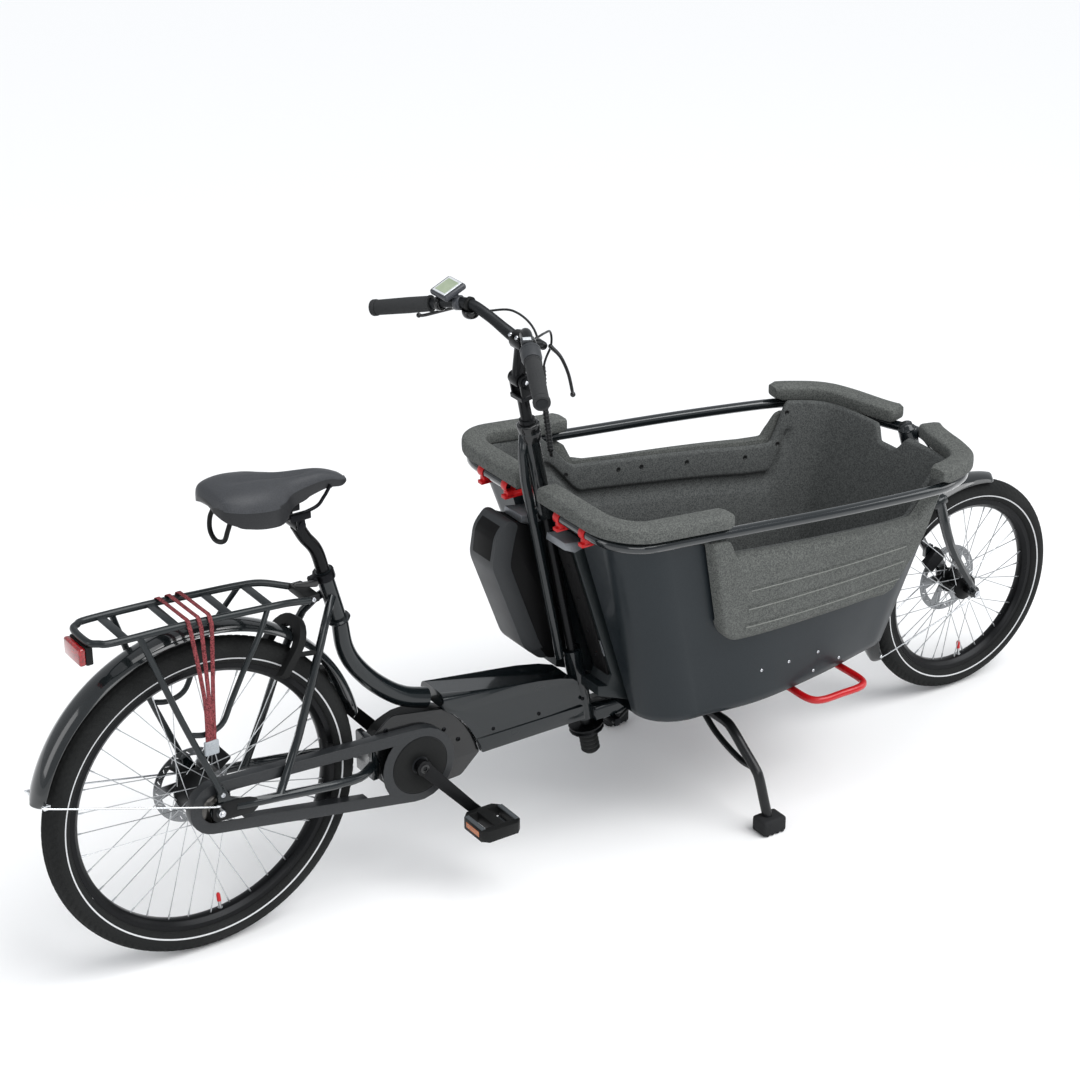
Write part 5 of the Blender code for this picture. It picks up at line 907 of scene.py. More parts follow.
RAIL_BEND = [(0.86 - 0.084 * cos(radians(a)), 0.205 + 0.095 * sin(radians(a)), 0.0)
             for a in range(0, 91, 9)]
RAIL_FRONT = eased([(0.86, 0.3, 0), (1.1, 0.3, 0), (1.35, 0.299, 0), (1.58, 0.287, 0),
                    (1.66, 0.268, 0), (1.715, 0.235, 0), (1.742, 0.18, 0), (1.765, 0.09, 0),
                    (1.7985, 0.0, 0), (1.765, -0.09, 0)], 6)
rear_edge = [Vector((RAIL_REAR_X, y, 0)) for y in (0.0375, 0.0405, 0.09, 0.15)]
rear_edge += [Vector(p) for p in RAIL_BEND]
rear_edge += [Vector((x, 0.3, 0)) for x in (0.9, 0.97, 1.03, 1.042)]
front_edge = [p for p in RAIL_FRONT if p.x > 1.595 and p.y > 0.05] + [Vector((1.78, 0.052, 0))]
edges = joined(foam_edge(rear_edge, (0.86, 0.8)), foam_edge(front_edge, (0.72, 0.82)))
# The liner takes the foam with painted shade, and the rolled edges take the plain grey foam.
piece("foam_liner_beaded", liner, SHADE_PAINTED_FOAM, "frame", ("foam_liner",), 60.0)
piece("foam_edges_beaded", both_sides(edges), BEAD_FOAM, "frame", (), 60.0)

# Liner plugs: dark plastic caps pressed into the liner's low sides, over the screws that hold it to the tub.
# Each is a small dish that stands a little out of the foam.
PLUG_BLACK = surface("black_plug_plastic", "#0d0e0e", "#181919", 0.001, 0.55)


def wall_marks(spots, outward, facing):
    """Marks on both sides of the box at (x, z) spots some way out of the wall, facing out (1) or in (-1)."""
    marks = []
    for x, z in spots:
        place = min((p for p in places if p > SIDE_START), key=lambda p: abs(tub_spot(p, z).x - x))
        spot = tub_spot(place, z, outward)
        marks.append((spot, tub_spot(place, z, outward + 0.01 * facing) - spot))
    return on_both_sides(marks)


plug_marks = wall_marks(((1.023, 0.6608), (1.162, 0.6406), (1.2245, 0.6331), (1.343, 0.6171), (1.491, 0.5967),
                         (1.6117, 0.677), (1.5816, 0.6115)), LINER_IN, -1)
plug = lathe([(0.0055, -0.001), (0.0055, 0.0006), (0.0042, 0.0009), (0.0032, 0.0003), (0.0, 0.0003)],
             (0, 0, 0), (0, 0, 1), 16)
piece("liner_plugs", at_marks(plug, plug_marks), PLUG_BLACK, "frame")

# Side panels: thick guards of grey bead foam, moulded and glued outside the tub, with a hollow along the top
# and three fine grooves. A thin light strip along each groove's lower lip is painted highlight, where light
# from above catches the lip.
PANEL_REAR = 0.425
PANEL_FRONT = 3.55
PANEL_LOW = [(PANEL_REAR, 0.476), (0.69, 0.474), (1.0, 0.471), (1.5, 0.466), (2.0, 0.46), (2.5, 0.454),
             (2.82, 0.4455), (2.93, 0.449), (3.02, 0.47), (3.28, 0.54), (PANEL_FRONT, 0.6)]
# Foam painted light for the strips along the grooves' lower lips: painted highlight.
HIGHLIGHT_PAINTED_FOAM = surface("painted_highlight_foam", "#666865", "#848682", 0.0019, 0.85, dents=0.0001, shine=0.2)
PANEL_DEPTH = 0.03
GROOVES = ((0.595, 0.5655), (0.551, 0.527), (0.5085, 0.4824))
GROOVE_ENDS = (1.098, 1.56)
GROOVE_DEPTH = 0.003
GROOVE_HALF = 0.0042
CORNER_ROUND = 0.045
HOLLOW_LINE = [(1.07, 0.6445), (1.3, 0.632), (1.53, 0.6185), (1.6, 0.6145)]
HOLLOW_DEPTH = 0.016
HIGHLIGHT_RADIUS = 0.0013
PANEL_COLUMNS = 170
PANEL_LINES = 76
PANEL_MIDDLE_Z = 0.66


def groove_z(groove, x):
    """The height of a groove's bottom, which falls towards the front."""
    return groove[0] + (groove[1] - groove[0]) * (x - GROOVE_ENDS[0]) / (GROOVE_ENDS[1] - GROOVE_ENDS[0])


def panel_offset(spot, above_low, below_high, from_rear, from_front):
    """How far the panel's face stands out of the tub's wall."""
    out = PANEL_DEPTH * (0.06 + 0.94 * step_up(from_rear, -0.003, 0.009))
    out *= 0.35 + 0.65 * step_up(from_front, -0.012, 0.016)
    out -= 0.014 * (1 - step_up(above_low, -0.01, 0.014))
    hollow = min(1.0, max(0.0, (spot.z - between(HOLLOW_LINE, spot.x)) / 0.026))
    hollow *= step_up(spot.x, 1.064, 1.092)
    front_line = 1.545 + (spot.z - 0.62) * 1.15
    hollow *= 1 - step_up(spot.x, front_line - 0.012, front_line + 0.022)
    out -= HOLLOW_DEPTH * hollow
    start, end = GROOVE_ENDS
    fade = step_up(spot.x, start - 0.004, start + 0.006) * (1 - step_up(spot.x, end - 0.05, end))
    for groove in GROOVES:
        near = abs(spot.z - groove_z(groove, spot.x))
        out -= GROOVE_DEPTH * fade * max(0.0, 1 - near / GROOVE_HALF)
    return out - 0.01 * (1 - step_up(below_high, -0.008, 0.008))


panel_rows = []
highlight_lines = [[], [], []]
for column_number in range(PANEL_COLUMNS + 1):
    at = PANEL_REAR + (PANEL_FRONT - PANEL_REAR) * column_number / PANEL_COLUMNS
    place = SIDE_START + at
    x = tub_spot(place, PANEL_MIDDLE_Z).x
    low = between(PANEL_LOW, at)
    tall = 1 - step_up(at, 0.67, 0.74) * (1 - step_up(at, 2.98, 3.26))
    high = (rail_height(x) - 0.013) * tall + between(LOW_WALL, x) * (1 - tall)
    from_rear = x - tub_spot(SIDE_START + PANEL_REAR, PANEL_MIDDLE_Z).x
    turning = max(0.0, 1 - from_rear / CORNER_ROUND)
    low += CORNER_ROUND * (1 - sqrt(1 - turning * turning))
    row = [tub_spot(place, low, 0.0005)]
    for line in range(PANEL_LINES + 1):
        z = low + (high - low) * line / PANEL_LINES
        spot = tub_spot(place, z)
        from_front = tub_spot(SIDE_START + PANEL_FRONT, z).x - spot.x
        row.append(tub_spot(place, z, panel_offset(spot, z - low, high - z, from_rear, from_front)))
    row.append(tub_spot(place, high, 0.0005))
    panel_rows.append(row)
    # Each groove's strip of painted highlight runs just under its lower lip.
    for line, groove in zip(highlight_lines, GROOVES):
        spot = tub_spot(place, groove[0])
        z = groove_z(groove, spot.x) - 0.0046
        if GROOVE_ENDS[0] < spot.x < GROOVE_ENDS[1] - 0.02:
            out = panel_offset(tub_spot(place, z), z - low, high - z, from_rear, 0.1)
            line.append(tub_spot(place, z, out + 0.0002))
for side in ("left", "right"):
    panel = grid(panel_rows)
    bmesh.ops.holes_fill(panel, edges=panel.edges, sides=0)
    turned_out(panel)
    # Thin tubes of light foam along the lower lips: painted highlight.
    lips = joined(*[swept(line, HIGHLIGHT_RADIUS, 6) for line in highlight_lines])
    if side == "right":
        mirrored(panel)
        mirrored(lips)
    piece("side_panel_" + side + "_foam", panel, BEAD_FOAM, "frame", ("side_panel_" + side,), 60.0)
    piece("side_panel_" + side + "_lips", lips, HIGHLIGHT_PAINTED_FOAM, "frame", (), 60.0)

# Rail: one glossy bent steel tube round the box, held by red plastic clips across its rear. The clear coat
# draws one sharp highlight along it.
RAIL_PAINT = surface("gloss_anthracite_paint", "#121719", "#1a2023", 0.0012, 0.14, 0.3, coat=1.0)
RED_PLASTIC = surface("red_clip_plastic", "#b3161a", "#c61d20", 0.0015, 0.36)
RAIL_RADIUS = 0.0115
CLIP_HALF = 0.008


def clamp_ring(inner, outer, half, spot, way, steps=40, slope=0.001):
    """A clamp's ring round a tube, with its outer edges broken."""
    return lathe([(inner, -half), (outer - 0.0008, -half), (outer, slope - half), (outer, half - slope),
                  (outer - 0.0008, half), (inner, half)], spot, way, steps, True)


half_rail = [Vector((RAIL_REAR_X, y, 0)) for y in (0.1, 0.15)] + [Vector(p) for p in RAIL_BEND[:-1]]
half_rail += RAIL_FRONT[:6 * 8 + 1]
rail_line = [Vector((p.x, p.y, rail_height(p.x))) for p in half_rail]
rail_line += [Vector((p.x, -p.y, p.z)) for p in rail_line[-2::-1]]
piece("rail_gloss", swept(rail_line, RAIL_RADIUS, 24), RAIL_PAINT, "frame", ("rail",), 40.0)
clips = []
for y, foot_end in ((0.095, 0.822), (0.184, 0.796)):
    for middle in (-y, y):
        left, right = middle + CLIP_HALF, middle - CLIP_HALF
        clips.append(clamp_ring(0.0118, 0.0142, 0.0095, (RAIL_REAR_X, middle, RAIL_REAR_Z), (0, 1, 0), 28,
                                0.0015))
        clips.append(slab((0.762, right, 0.7345), (foot_end, left, 0.7425), 0.0015))
        clips.append(slab((0.768, right, 0.738), (0.784, left, 0.752), 0.0015))
piece("rail_clips_red", joined(*clips), RED_PLASTIC, "frame")

# Tub screws: bright button screws along the tub's lower sides, which hold it to the brackets of the steps
# behind its wall.
tub_screws = wall_marks(((1.176, 0.3614), (1.2596, 0.3568), (1.3444, 0.3498), (1.3363, 0.305),
                         (1.4196, 0.3069)), 0.0, 1)
piece("tub_screws", at_marks(screw_head(0.0036, 0.0018), tub_screws), BRIGHT_STEEL, "frame")

# Battery: a black pack of moulded plastic in its dock on the left, closed by a charcoal cover with a dark
# recess for the lock. The pack is matt and nearly lightless, and the cover's soft edges catch a dull line.
PACK_BLACK = surface("matt_black_abs", "#050506", "#0a0a0b", 0.0012, 0.6, shine=0.15)
COVER_GREY = surface("charcoal_moulded_cover", "#2b2d2f", "#343638", 0.0014, 0.46)


def softened(outline, radius, steps=4):
    """An outline with its corners rounded."""
    spots = [Vector((x, z, 0)) for x, z in outline]
    soft = []
    for before, spot, after in zip(spots[-1:] + spots[:-1], spots, spots[1:] + spots[:1]):
        cut = min(radius, (before - spot).length * 0.45, (after - spot).length * 0.45)
        start = spot + (before - spot).normalized() * cut
        end = spot + (after - spot).normalized() * cut
        for i in range(steps + 1):
            t = i / steps
            point = start * (1 - t) ** 2 + spot * 2 * t * (1 - t) + end * t * t
            soft.append((point.x, point.y))
    return soft


def narrowed(form, height, y):
    """Draws a plate's inner face outwards below a height, to pass beside the beam."""
    for z in (height, height + 0.004):
        bmesh.ops.bisect_plane(form, geom=form.verts[:] + form.edges[:] + form.faces[:], plane_co=(0, 0, z),
                               plane_no=(0, 0, 1))
    for spot in form.verts:
        if spot.co.z < height + 0.001 and spot.co.y < y:
            spot.co.y = y
    return form


LOW_END = 0.398
PACK_LEFT = 0.0465
cover = plate(softened([(0.706, 0.685), (0.735, 0.7155), (0.76, 0.703), (0.749, 0.668), (0.738, 0.612),
                        (0.808, 0.418), (0.836, 0.368), (0.815, 0.373), (0.77, 0.414), (0.695, 0.62)], 0.016),
              0.0335, 0.1225)
cover = rounded(narrowed(cover, LOW_END, PACK_LEFT), 0.006, 50.0, 3)
piece("battery_cover", cover, COVER_GREY, "frame", ("battery",), 35.0)
pack = plate(softened([(0.748, 0.706), (0.798, 0.683), (0.891, 0.379), (0.8805, 0.358), (0.836, 0.3675),
                       (0.8, 0.42), (0.732, 0.612), (0.742, 0.668)], 0.008), 0.037, 0.119)
pack = rounded(narrowed(pack, LOW_END, PACK_LEFT), 0.003, 50.0)
piece("battery_pack", pack, PACK_BLACK, "frame", (), 35.0)
recess = plate(softened([(0.704, 0.675), (0.71, 0.688), (0.724, 0.703), (0.722, 0.686),
                         (0.706, 0.645), (0.6985, 0.626), (0.6978, 0.63)], 0.003), 0.045, 0.111)
recess.transform(Matrix.Translation((-0.001, 0, 0.0004)))
piece("battery_recess", rounded(recess, 0.0015), PACK_BLACK, "frame", (), 35.0)
lock = lathe([(0.0, 0.003), (0.007, 0.003), (0.0082, 0.0015), (0.0082, -0.002)], (0.778, 0.1225, 0.56),
             (0, 1, 0), 24)
piece("battery_lock", lock, BRIGHT_STEEL, "frame")

# Docks: two brackets folded from painted sheet and screwed to the tub's rear wall. Each has a bare metal cap
# along its top, a worn silver grey, and the empty one on the right shows its black contact rail and a small
# metal label.
DOCK_PAINT = surface("dock_sheet_paint", "#161b1d", "#1d2325", 0.0012, 0.38, 0.2, coat=0.1)
SATIN_METAL = surface("satin_dock_metal", "#74777b", "#8c8f93", 0.001, 0.38, 0.6)
DOCK_INNER = 0.0455
DOCK_OUTER = 0.1105
RAIL_TOP = (0.7965, 0.672)
RAIL_FOOT = (0.887, 0.376)
DOCK_BACK = Vector((-0.956, 0, -0.292))
for side, low, high in (("left", DOCK_INNER, DOCK_OUTER), ("right", -DOCK_OUTER, -DOCK_INNER)):
    dressed("dock_" + side, DOCK_PAINT, 0.0012, 35.0, ending="painted")
    cap = plate([(0.7735, 0.6962), (0.7755, 0.7106), (0.824, 0.7025), (0.827, 0.69), (0.8, 0.6832)],
                low, high, 0.0008)
    piece("dock_" + side + "_cap", cap, SATIN_METAL, "frame", (), 35.0)
contact_rail = plate([(0.7985, 0.679), RAIL_TOP, RAIL_FOOT, (0.89, 0.378), (0.8935, 0.3795)],
                     -0.102, -0.054, 0.0008)
piece("dock_rail", contact_rail, PACK_BLACK, "frame", (), 35.0)
label = plate([(0.864, 0.466), (0.8625, 0.4655), (0.8745, 0.4265), (0.876, 0.427)], -0.108, -0.1035)
piece("dock_label", label, SATIN_METAL, "frame")
dock_screws = []
for z in (0.64, 0.56, 0.48, 0.42):
    share = (RAIL_TOP[1] - z) / (RAIL_TOP[1] - RAIL_FOOT[1])
    x = RAIL_TOP[0] + (RAIL_FOOT[0] - RAIL_TOP[0]) * share
    dock_screws.append(((x - 0.0004, -0.078, z), DOCK_BACK))
dock_screws += on_both_sides([((x, 0.1102, z), (0, 1, 0))
                              for x, z in ((0.88, 0.56), (0.905, 0.48), (0.925, 0.39))])
piece("dock_screws", at_marks(screw_head(0.0034, 0.0016), dock_screws), BLACK_STEEL, "frame")
bolt_marks = on_both_sides([((0.815, 0.02, 0.69), DOCK_BACK),
                            ((0.8895, 0.1235, 0.525), (-0.956, 0.05, -0.292))])
piece("tub_bolts", at_marks(screw_head(0.0052, 0.003), bolt_marks), BRIGHT_STEEL, "frame")

# Drive: the motor hangs in its cradle behind a glossy plastic cover. The chain runs from its ring to the rear
# sprocket inside a satin dark-grey case, whose front end carries a flat matt disc round the spindle. Gloss
# mirrors the lights, satin draws them out into a band, and matt only greys.
SPINDLE = Vector((0.4565, 0.0, 0.283))
GLOSS_BLACK = surface("gloss_black_cover", "#0b0c0d", "#121314", 0.0012, 0.22, coat=0.4)
MATT_BLACK = surface("matt_black_plastic", "#0d0e0e", "#151616", 0.0014, 0.55, shine=0.2)
CASE_GREY = surface("satin_grey_chain_case", "#1f2123", "#292b2d", 0.0014, 0.36, coat=0.1)

dressed("motor", MATT_BLACK, 0.003, 40.0, 45.0)
cover_line = ([(0.3605, 0.352), (0.366, 0.368), (0.4, 0.396), (0.412, 0.3995), (0.5235, 0.3798)]
              + [(x - 0.0012, z - 0.001) for x, z in CRADLE[1:]] + [(0.566, 0.214)]
              + arc((SPINDLE.x, SPINDLE.z), 0.076, 285, 175, 24))
cover = plate(softened(cover_line, 0.006, 3), -0.0383, -0.0343, 0.0,
              [circle((SPINDLE.x, SPINDLE.z), 0.018, 32)])
piece("motor_cover_gloss", rounded(cover, 0.0016, 60.0), GLOSS_BLACK, "frame",
      ("motor_cover",), 35.0)
motor_screws = [((x, -0.0383, z), (0, -1, 0)) for x, z in ((0.5276, 0.3316), (0.561, 0.299), (0.392, 0.372))]
motor_screws += [((x, 0.0385, z), (0, 1, 0)) for x, z in ((0.535, 0.338), (0.58, 0.28), (0.5, 0.232))]
piece("motor_screws", at_marks(screw_head(0.0052, 0.0024), motor_screws), BLACK_STEEL, "frame")

dressed("chain_case", CASE_GREY, 0.0028, 40.0, 60.0, 3, "satin")
front_disc = lathe([(0.0195, -0.059), (0.0195, -0.0618), (0.021, -0.0624), (0.06, -0.0624),
                    (0.0615, -0.0618), (0.0618, -0.0606), (0.0618, -0.059)], SPINDLE, (0, 1, 0), 96, True)
piece("case_disc_matt", front_disc, MATT_BLACK, "frame", (), 35.0)
seal = lathe([(0.0624, -0.06), (0.0624, -0.06145), (0.0636, -0.06145), (0.0636, -0.06)],
             SPINDLE, (0, 1, 0), 96, True)
piece("case_disc_groove", seal, PACK_BLACK, "frame")

# Chain: oiled steel plates and rollers, brownish grey with small glints. Its links alternate between outer
# and inner plates. One link of each kind is copied to its marks round the path, which runs over the
# chainring and the rear sprocket.
CHAIN_STEEL = surface("oiled_chain_steel", "#4b4a48", "#6f6d6a", 0.001, 0.34, 1.0, smudges=0.4)
CHAIN_STEP = 0.0127
RING_PITCH = 0.0688
SPROCKET_PITCH = 0.0446
CHAIN_PLANE = -0.051
PLATE_HALF = 0.0005


def chain_path():
    """The pitch line of the chain as close points in x and z."""
    gap = Vector((SPINDLE.x, 0, SPINDLE.z - REAR_AXLE.z))
    slope = degrees(atan2(gap.z, gap.x))
    spread = degrees(asin((RING_PITCH - SPROCKET_PITCH) / gap.length))
    rear = arc((0, REAR_AXLE.z), SPROCKET_PITCH, slope + 90 + spread, slope + 270 - spread, 40)
    front = arc((SPINDLE.x, SPINDLE.z), RING_PITCH, slope - 90 - spread, slope + 90 + spread, 60)
    return [Vector((x, CHAIN_PLANE, z)) for x, z in rear + front]


path = chain_path()
path.append(path[0])
reach = [0.0]
for first, second in zip(path, path[1:]):
    reach.append(reach[-1] + (second - first).length)
pairs = round(reach[-1] / CHAIN_STEP / 2)


def on_chain(distance):
    """The point of the chain's path at a distance along it."""
    distance %= reach[-1]
    index = max(i for i in range(len(reach) - 1) if reach[i] <= distance)
    return path[index].lerp(path[index + 1], (distance - reach[index]) / (reach[index + 1] - reach[index]))


link_step = reach[-1] / pairs / 2
links = []
for number in range(pairs * 2):
    start, end = on_chain(number * link_step), on_chain((number + 1) * link_step)
    links.append(((start + end) / 2, end - start))
link_outline = softened([(-0.01, -0.0036), (0.01, -0.0036), (0.01, 0.0036), (-0.01, 0.0036)], 0.0034, 3)
for kind, offset in (("outer", 0.0029), ("inner", 0.0018)):
    item = joined(*(plate(link_outline, y - PLATE_HALF, y + PLATE_HALF) for y in (-offset, offset)))
    if kind == "inner":
        item = joined(item, *(lathe([(0.0, 0.0024), (0.0034, 0.0024), (0.0034, -0.0024), (0.0, -0.0024)],
                                    (x, 0, 0), (0, 1, 0), 12) for x in (-CHAIN_STEP / 2, CHAIN_STEP / 2)))
    item.transform(Matrix(((0, 1, 0, 0), (0, 0, 1, 0), (1, 0, 0, 0), (0, 0, 0, 1))))
    marks = [mark for number, mark in enumerate(links) if number % 2 == (kind == "inner")]
    piece("chain_" + kind + "_links", at_marks(item, marks), CHAIN_STEEL, "frame",
          ("chain",) if kind == "outer" else ())
dressed("rear_sprocket", CHAIN_STEEL)
dressed("chainring", CHAIN_STEEL)

# Cranks: forged black arms with rounded edges, anodised satin. A capped bolt holds each on the spindle, and a
# black steel neck shows between the arm and the motor.
CRANK_BLACK = surface("satin_black_anodising", "#0c0d0e", "#141517", 0.001, 0.32, 0.4)
CRANK_FACE = 0.066
CRANK_THICK = 0.013
CRANK_LENGTH = 0.165
CRANK_SWEEP = 0.022
CRANK_TURN = radians(-49)
CAP_LINE = [(0.01, -0.0004), (0.01, 0.0012), (0.0085, 0.0018), (0.005, 0.0018), (0.0046, -0.003),
            (0.0, -0.003)]
NECK_LINE = [(0.013, -0.0005), (0.015, -0.0005), (0.015, 0.0034), (0.013, 0.0034)]
for side, hand in (("right", -1), ("left", 1)):
    dressed("crank_" + side, CRANK_BLACK, 0.0022, 45.0, 50.0, 3)
    way = Vector((0, hand, 0))
    cap = lathe(CAP_LINE, SPINDLE + way * (CRANK_FACE + CRANK_THICK), way, 24)
    piece("crank_" + side + "_cap", cap, GLOSS_BLACK, "crankset")
    neck = lathe(NECK_LINE, SPINDLE + way * (CRANK_FACE - 0.0034), way, 32, True)
    piece("crank_" + side + "_neck", neck, BLACK_STEEL, "crankset")

# Pedals: a black plastic cage round its axle, with dull ribbed grey rubber pads above and below for grip, and
# a glossy amber reflector in its front and its back.
TREAD_GREY = surface("grey_pedal_rubber", "#3f4346", "#54585b", 0.0009, 0.8, dents=0.0001)
AMBER = surface("amber_reflector", "#a3520f", "#c56a1b", 0.003, 0.15, coat=1.0)
PEDAL_START = CRANK_FACE + CRANK_SWEEP + CRANK_THICK + 0.007
PAD_X = 0.04
PAD_Z = 0.0128
PAD_RIBS = 11
RIB_STEP = 0.0056
RIB_WIDTH = 0.0028


def pedal_block(centre, hand, x, y, z, edge):
    """A small block of a pedal between two places along each axis, y outwards from its inner end."""
    across = sorted(hand * (PEDAL_START + place) for place in y)
    low, high = (centre + Vector(corner) for corner in zip(sorted(x), across, z))
    return slab(low, high, edge, None, 1)


for side, hand, turn in (("right", -1, CRANK_TURN), ("left", 1, CRANK_TURN + pi)):
    centre = SPINDLE + Vector((CRANK_LENGTH * cos(turn), 0, CRANK_LENGTH * sin(turn)))
    body = side + "_pedal"
    dressed("pedal_" + side, MATT_BLACK, 0.0018, 40.0, 50.0, ending="cage")
    pads = []
    lenses = []
    for fore in (-1, 1):
        x = fore * PAD_X
        for up in (-1, 1):
            z = up * PAD_Z
            pads.append(slab(centre + Vector((x - 0.005, hand * (PEDAL_START + 0.016), z - 0.0012)),
                             centre + Vector((x + 0.005, hand * (PEDAL_START + 0.08), z + 0.0008)), 0.0005,
                             None, 1))
            for rib in range(PAD_RIBS):
                y = 0.02 + RIB_STEP * rib
                crest = z + up * 0.0008
                pads.append(pedal_block(centre, hand, (x - 0.0045, x + 0.0045), (y, y + RIB_WIDTH),
                                        (crest - 0.0008, crest + 0.0008), 0.0003))
        lenses.append(pedal_block(centre, hand, (fore * 0.0455, fore * 0.0466), (0.024, 0.072),
                                  (-0.0062, 0.0062), 0.0004))
    pads = joined(*(turned_out(pad) for pad in pads))
    piece("pedal_" + side + "_pads", pads, TREAD_GREY, body, (), 35.0)
    piece("pedal_" + side + "_reflectors", joined(*lenses), AMBER, body, (), 35.0)
    barrel = [centre + Vector((0, hand * (PEDAL_START + y), 0)) for y in (0.0125, 0.08)]
    piece("pedal_" + side + "_barrel", swept(barrel, 0.0094, 24), CRANK_BLACK, body)

# Mudguards: moulded black shells with rolled edges, each held by a pair of steel wire stays. The gloss draws
# one long streak of light round them, and the polished wires look nearly white.
GUARD_BLACK = surface("gloss_black_mudguard", "#121516", "#1a1e20", 0.0014, 0.16, coat=0.8)
STAY_STEEL = surface("polished_stay_wire", "#c2c5c8", "#e2e4e6", 0.001, 0.2, 1.0)
PLATE_OUT = 0.075
FRONT_FACE = 0.0505
GUARD_STEPS = 90
GUARD_LEAN = radians(75)
GUARD_WALL = 0.0008
ROUNDED_END = 0.035


def guard_radius(radii, share):
    """A mudguard's radius, eased between three given ones."""
    return (radii[0] * (1 - share) * (1 - 2 * share) + 4 * radii[1] * share * (1 - share)
            + radii[2] * share * (2 * share - 1))


def guard_shell(axle, start, end, radii, half_width, depth):
    """A mudguard: an arched section with rolled edges, swept round the tyre."""
    rows = []
    for step in range(GUARD_STEPS + 1):
        share = step / GUARD_STEPS
        turn = radians(start + (end - start) * share)
        from_end = min(1.0, min(share, 1 - share) / ROUNDED_END)
        width = half_width * (0.55 + 0.45 * sqrt(max(0.0, 1 - (1 - from_end) ** 2)))
        radius = guard_radius(radii, share)
        section = []
        for across in range(15):
            lean = GUARD_LEAN * (across / 7 - 1)
            drop = depth * (1 - cos(lean)) / (1 - cos(GUARD_LEAN))
            section.append((width * sin(lean) / sin(GUARD_LEAN), radius - drop))
        lips = [(hand * width * 0.985, radius - depth - 0.001) for hand in (1, -1)]
        line = [(y, r + GUARD_WALL) for y, r in section] + lips[:1]
        line += [(y * 0.97, r - GUARD_WALL) for y, r in section[::-1]] + lips[1:]
        rows.append([Vector((axle.x + r * cos(turn), y, axle.z + r * sin(turn)))
                     for y, r in line + line[:1]])
    return closed_tube(rows, 40)


def guard_edge(axle, turn, radius, y):
    """A point on a mudguard's edge."""
    lean = radians(turn)
    return Vector((axle.x + radius * cos(lean), y, axle.z + radius * sin(lean)))


rear_stays = []
front_stays = []
for hand in (-1, 1):
    end_y = hand * (PLATE_OUT + 0.0025)
    edge = guard_edge(REAR_AXLE, 163, 0.3493, hand * 0.032)
    line = [edge, edge + Vector((0.016, hand * 0.012, -0.005)), Vector((-0.03, end_y, 0.3555)),
            Vector((-0.008, end_y, 0.3505))]
    eyelet = [line[-1], line[-1] + Vector((0.008, 0, -0.003))]
    rear_stays += [swept(eased(line, 6), 0.0019, 12), swept(eyelet, 0.0032, 12)]
    rear_stays.append(slab(edge + Vector((-0.006, min(0, hand * 0.005) - 0.001, -0.006)),
                           edge + Vector((0.008, max(0, hand * 0.005) + 0.001, 0.004)), 0.001))
    end_y = hand * (FRONT_FACE + 0.0173)
    edge = guard_edge(FRONT_AXLE, 202, 0.266, hand * 0.031)
    line = [edge, edge + Vector((0.01, hand * 0.01, 0.004)), Vector((1.9, end_y, 0.24)),
            Vector((1.926, end_y, 0.25))]
    front_stays.append(swept(eased(line, 6), 0.0017, 12))
shell = guard_shell(REAR_AXLE, 13, 165, (0.356, 0.3715, 0.363), 0.032, 0.014)
piece("rear_mudguard_gloss", shell, GUARD_BLACK, "frame", ("rear_mudguard",), 45.0)
piece("rear_mudguard_stays", joined(*rear_stays), STAY_STEEL, "frame")
shell = guard_shell(FRONT_AXLE, 74, 207, (0.2705, 0.2735, 0.2795), 0.031, 0.013)
guard_bracket = slab((FRONT_AXLE.x - 0.112, -0.008, 0.49), (FRONT_AXLE.x - 0.1, 0.008, 0.516), 0.0015,
                     Matrix.Rotation(radians(-20), 4, "Y"))
piece("front_mudguard_gloss", joined(shell, guard_bracket), GUARD_BLACK, "fork_assembly",
      ("front_mudguard",), 45.0)
piece("front_mudguard_stays", joined(*front_stays), STAY_STEEL, "fork_assembly")

# Ring lock: a black plastic horseshoe over the rear tyre, bolted to the seat stays, with its steel bow hidden
# inside. Its edges are softly rounded.
dressed("ring_lock", MATT_BLACK, 0.0028, 40.0, 50.0, 3)

# Rack: bent steel tubes with flat bars across them, welded and powder coated in satin anthracite. Its two
# feet are bolted to the dropouts and its front to a black clamp on the seat tube.
RACK_PAINT = surface("satin_rack_paint", "#181d1f", "#212628", 0.0012, 0.36, 0.3, coat=0.25)
RACK_HALF = 0.057
side_line = [(0.235, 0.037, 0.7055), (0.18, 0.053, 0.722), (0.13, RACK_HALF, 0.728),
             (0.04, RACK_HALF, 0.7346), (-0.05, RACK_HALF, 0.741), (-0.18, RACK_HALF, 0.745),
             (-0.208, 0.047, 0.746), (-0.222, 0.029, 0.746)]
side_line += [(x, -y, z) for x, y, z in side_line[::-1]]
rack_parts = [swept(eased(side_line, 8), 0.007, 20)]
for hand in (-1, 1):
    foot_y = hand * (PLATE_OUT + 0.0003 + 0.0065)
    leg = [(-0.132, hand * 0.059, 0.742), (-0.118, hand * 0.066, 0.7), (-0.0675, hand * 0.0785, 0.554),
           (-0.01, foot_y, 0.41), (0.001, foot_y, 0.381)]
    hoop = [(0.135, hand * 0.058, 0.727), (0.105, hand * 0.072, 0.68), (0.07, hand * 0.079, 0.63),
            (0.038, hand * 0.079, 0.569), (0.015, hand * 0.079, 0.525), (-0.02, hand * 0.079, 0.513),
            (-0.053, hand * 0.0785, 0.52)]
    rack_parts += [swept(eased(leg, 6), 0.0065, 20), swept(eased(hoop, 6), 0.0055, 20)]
    foot_spot = Vector((0.004, foot_y, 0.375))
    rack_parts.append(lathe([(0.0, 0.0032), (0.0098, 0.0032), (0.0105, 0.0022), (0.0105, -0.0022),
                             (0.0098, -0.0032), (0.0, -0.0032)], foot_spot, (0, 1, 0), 28))
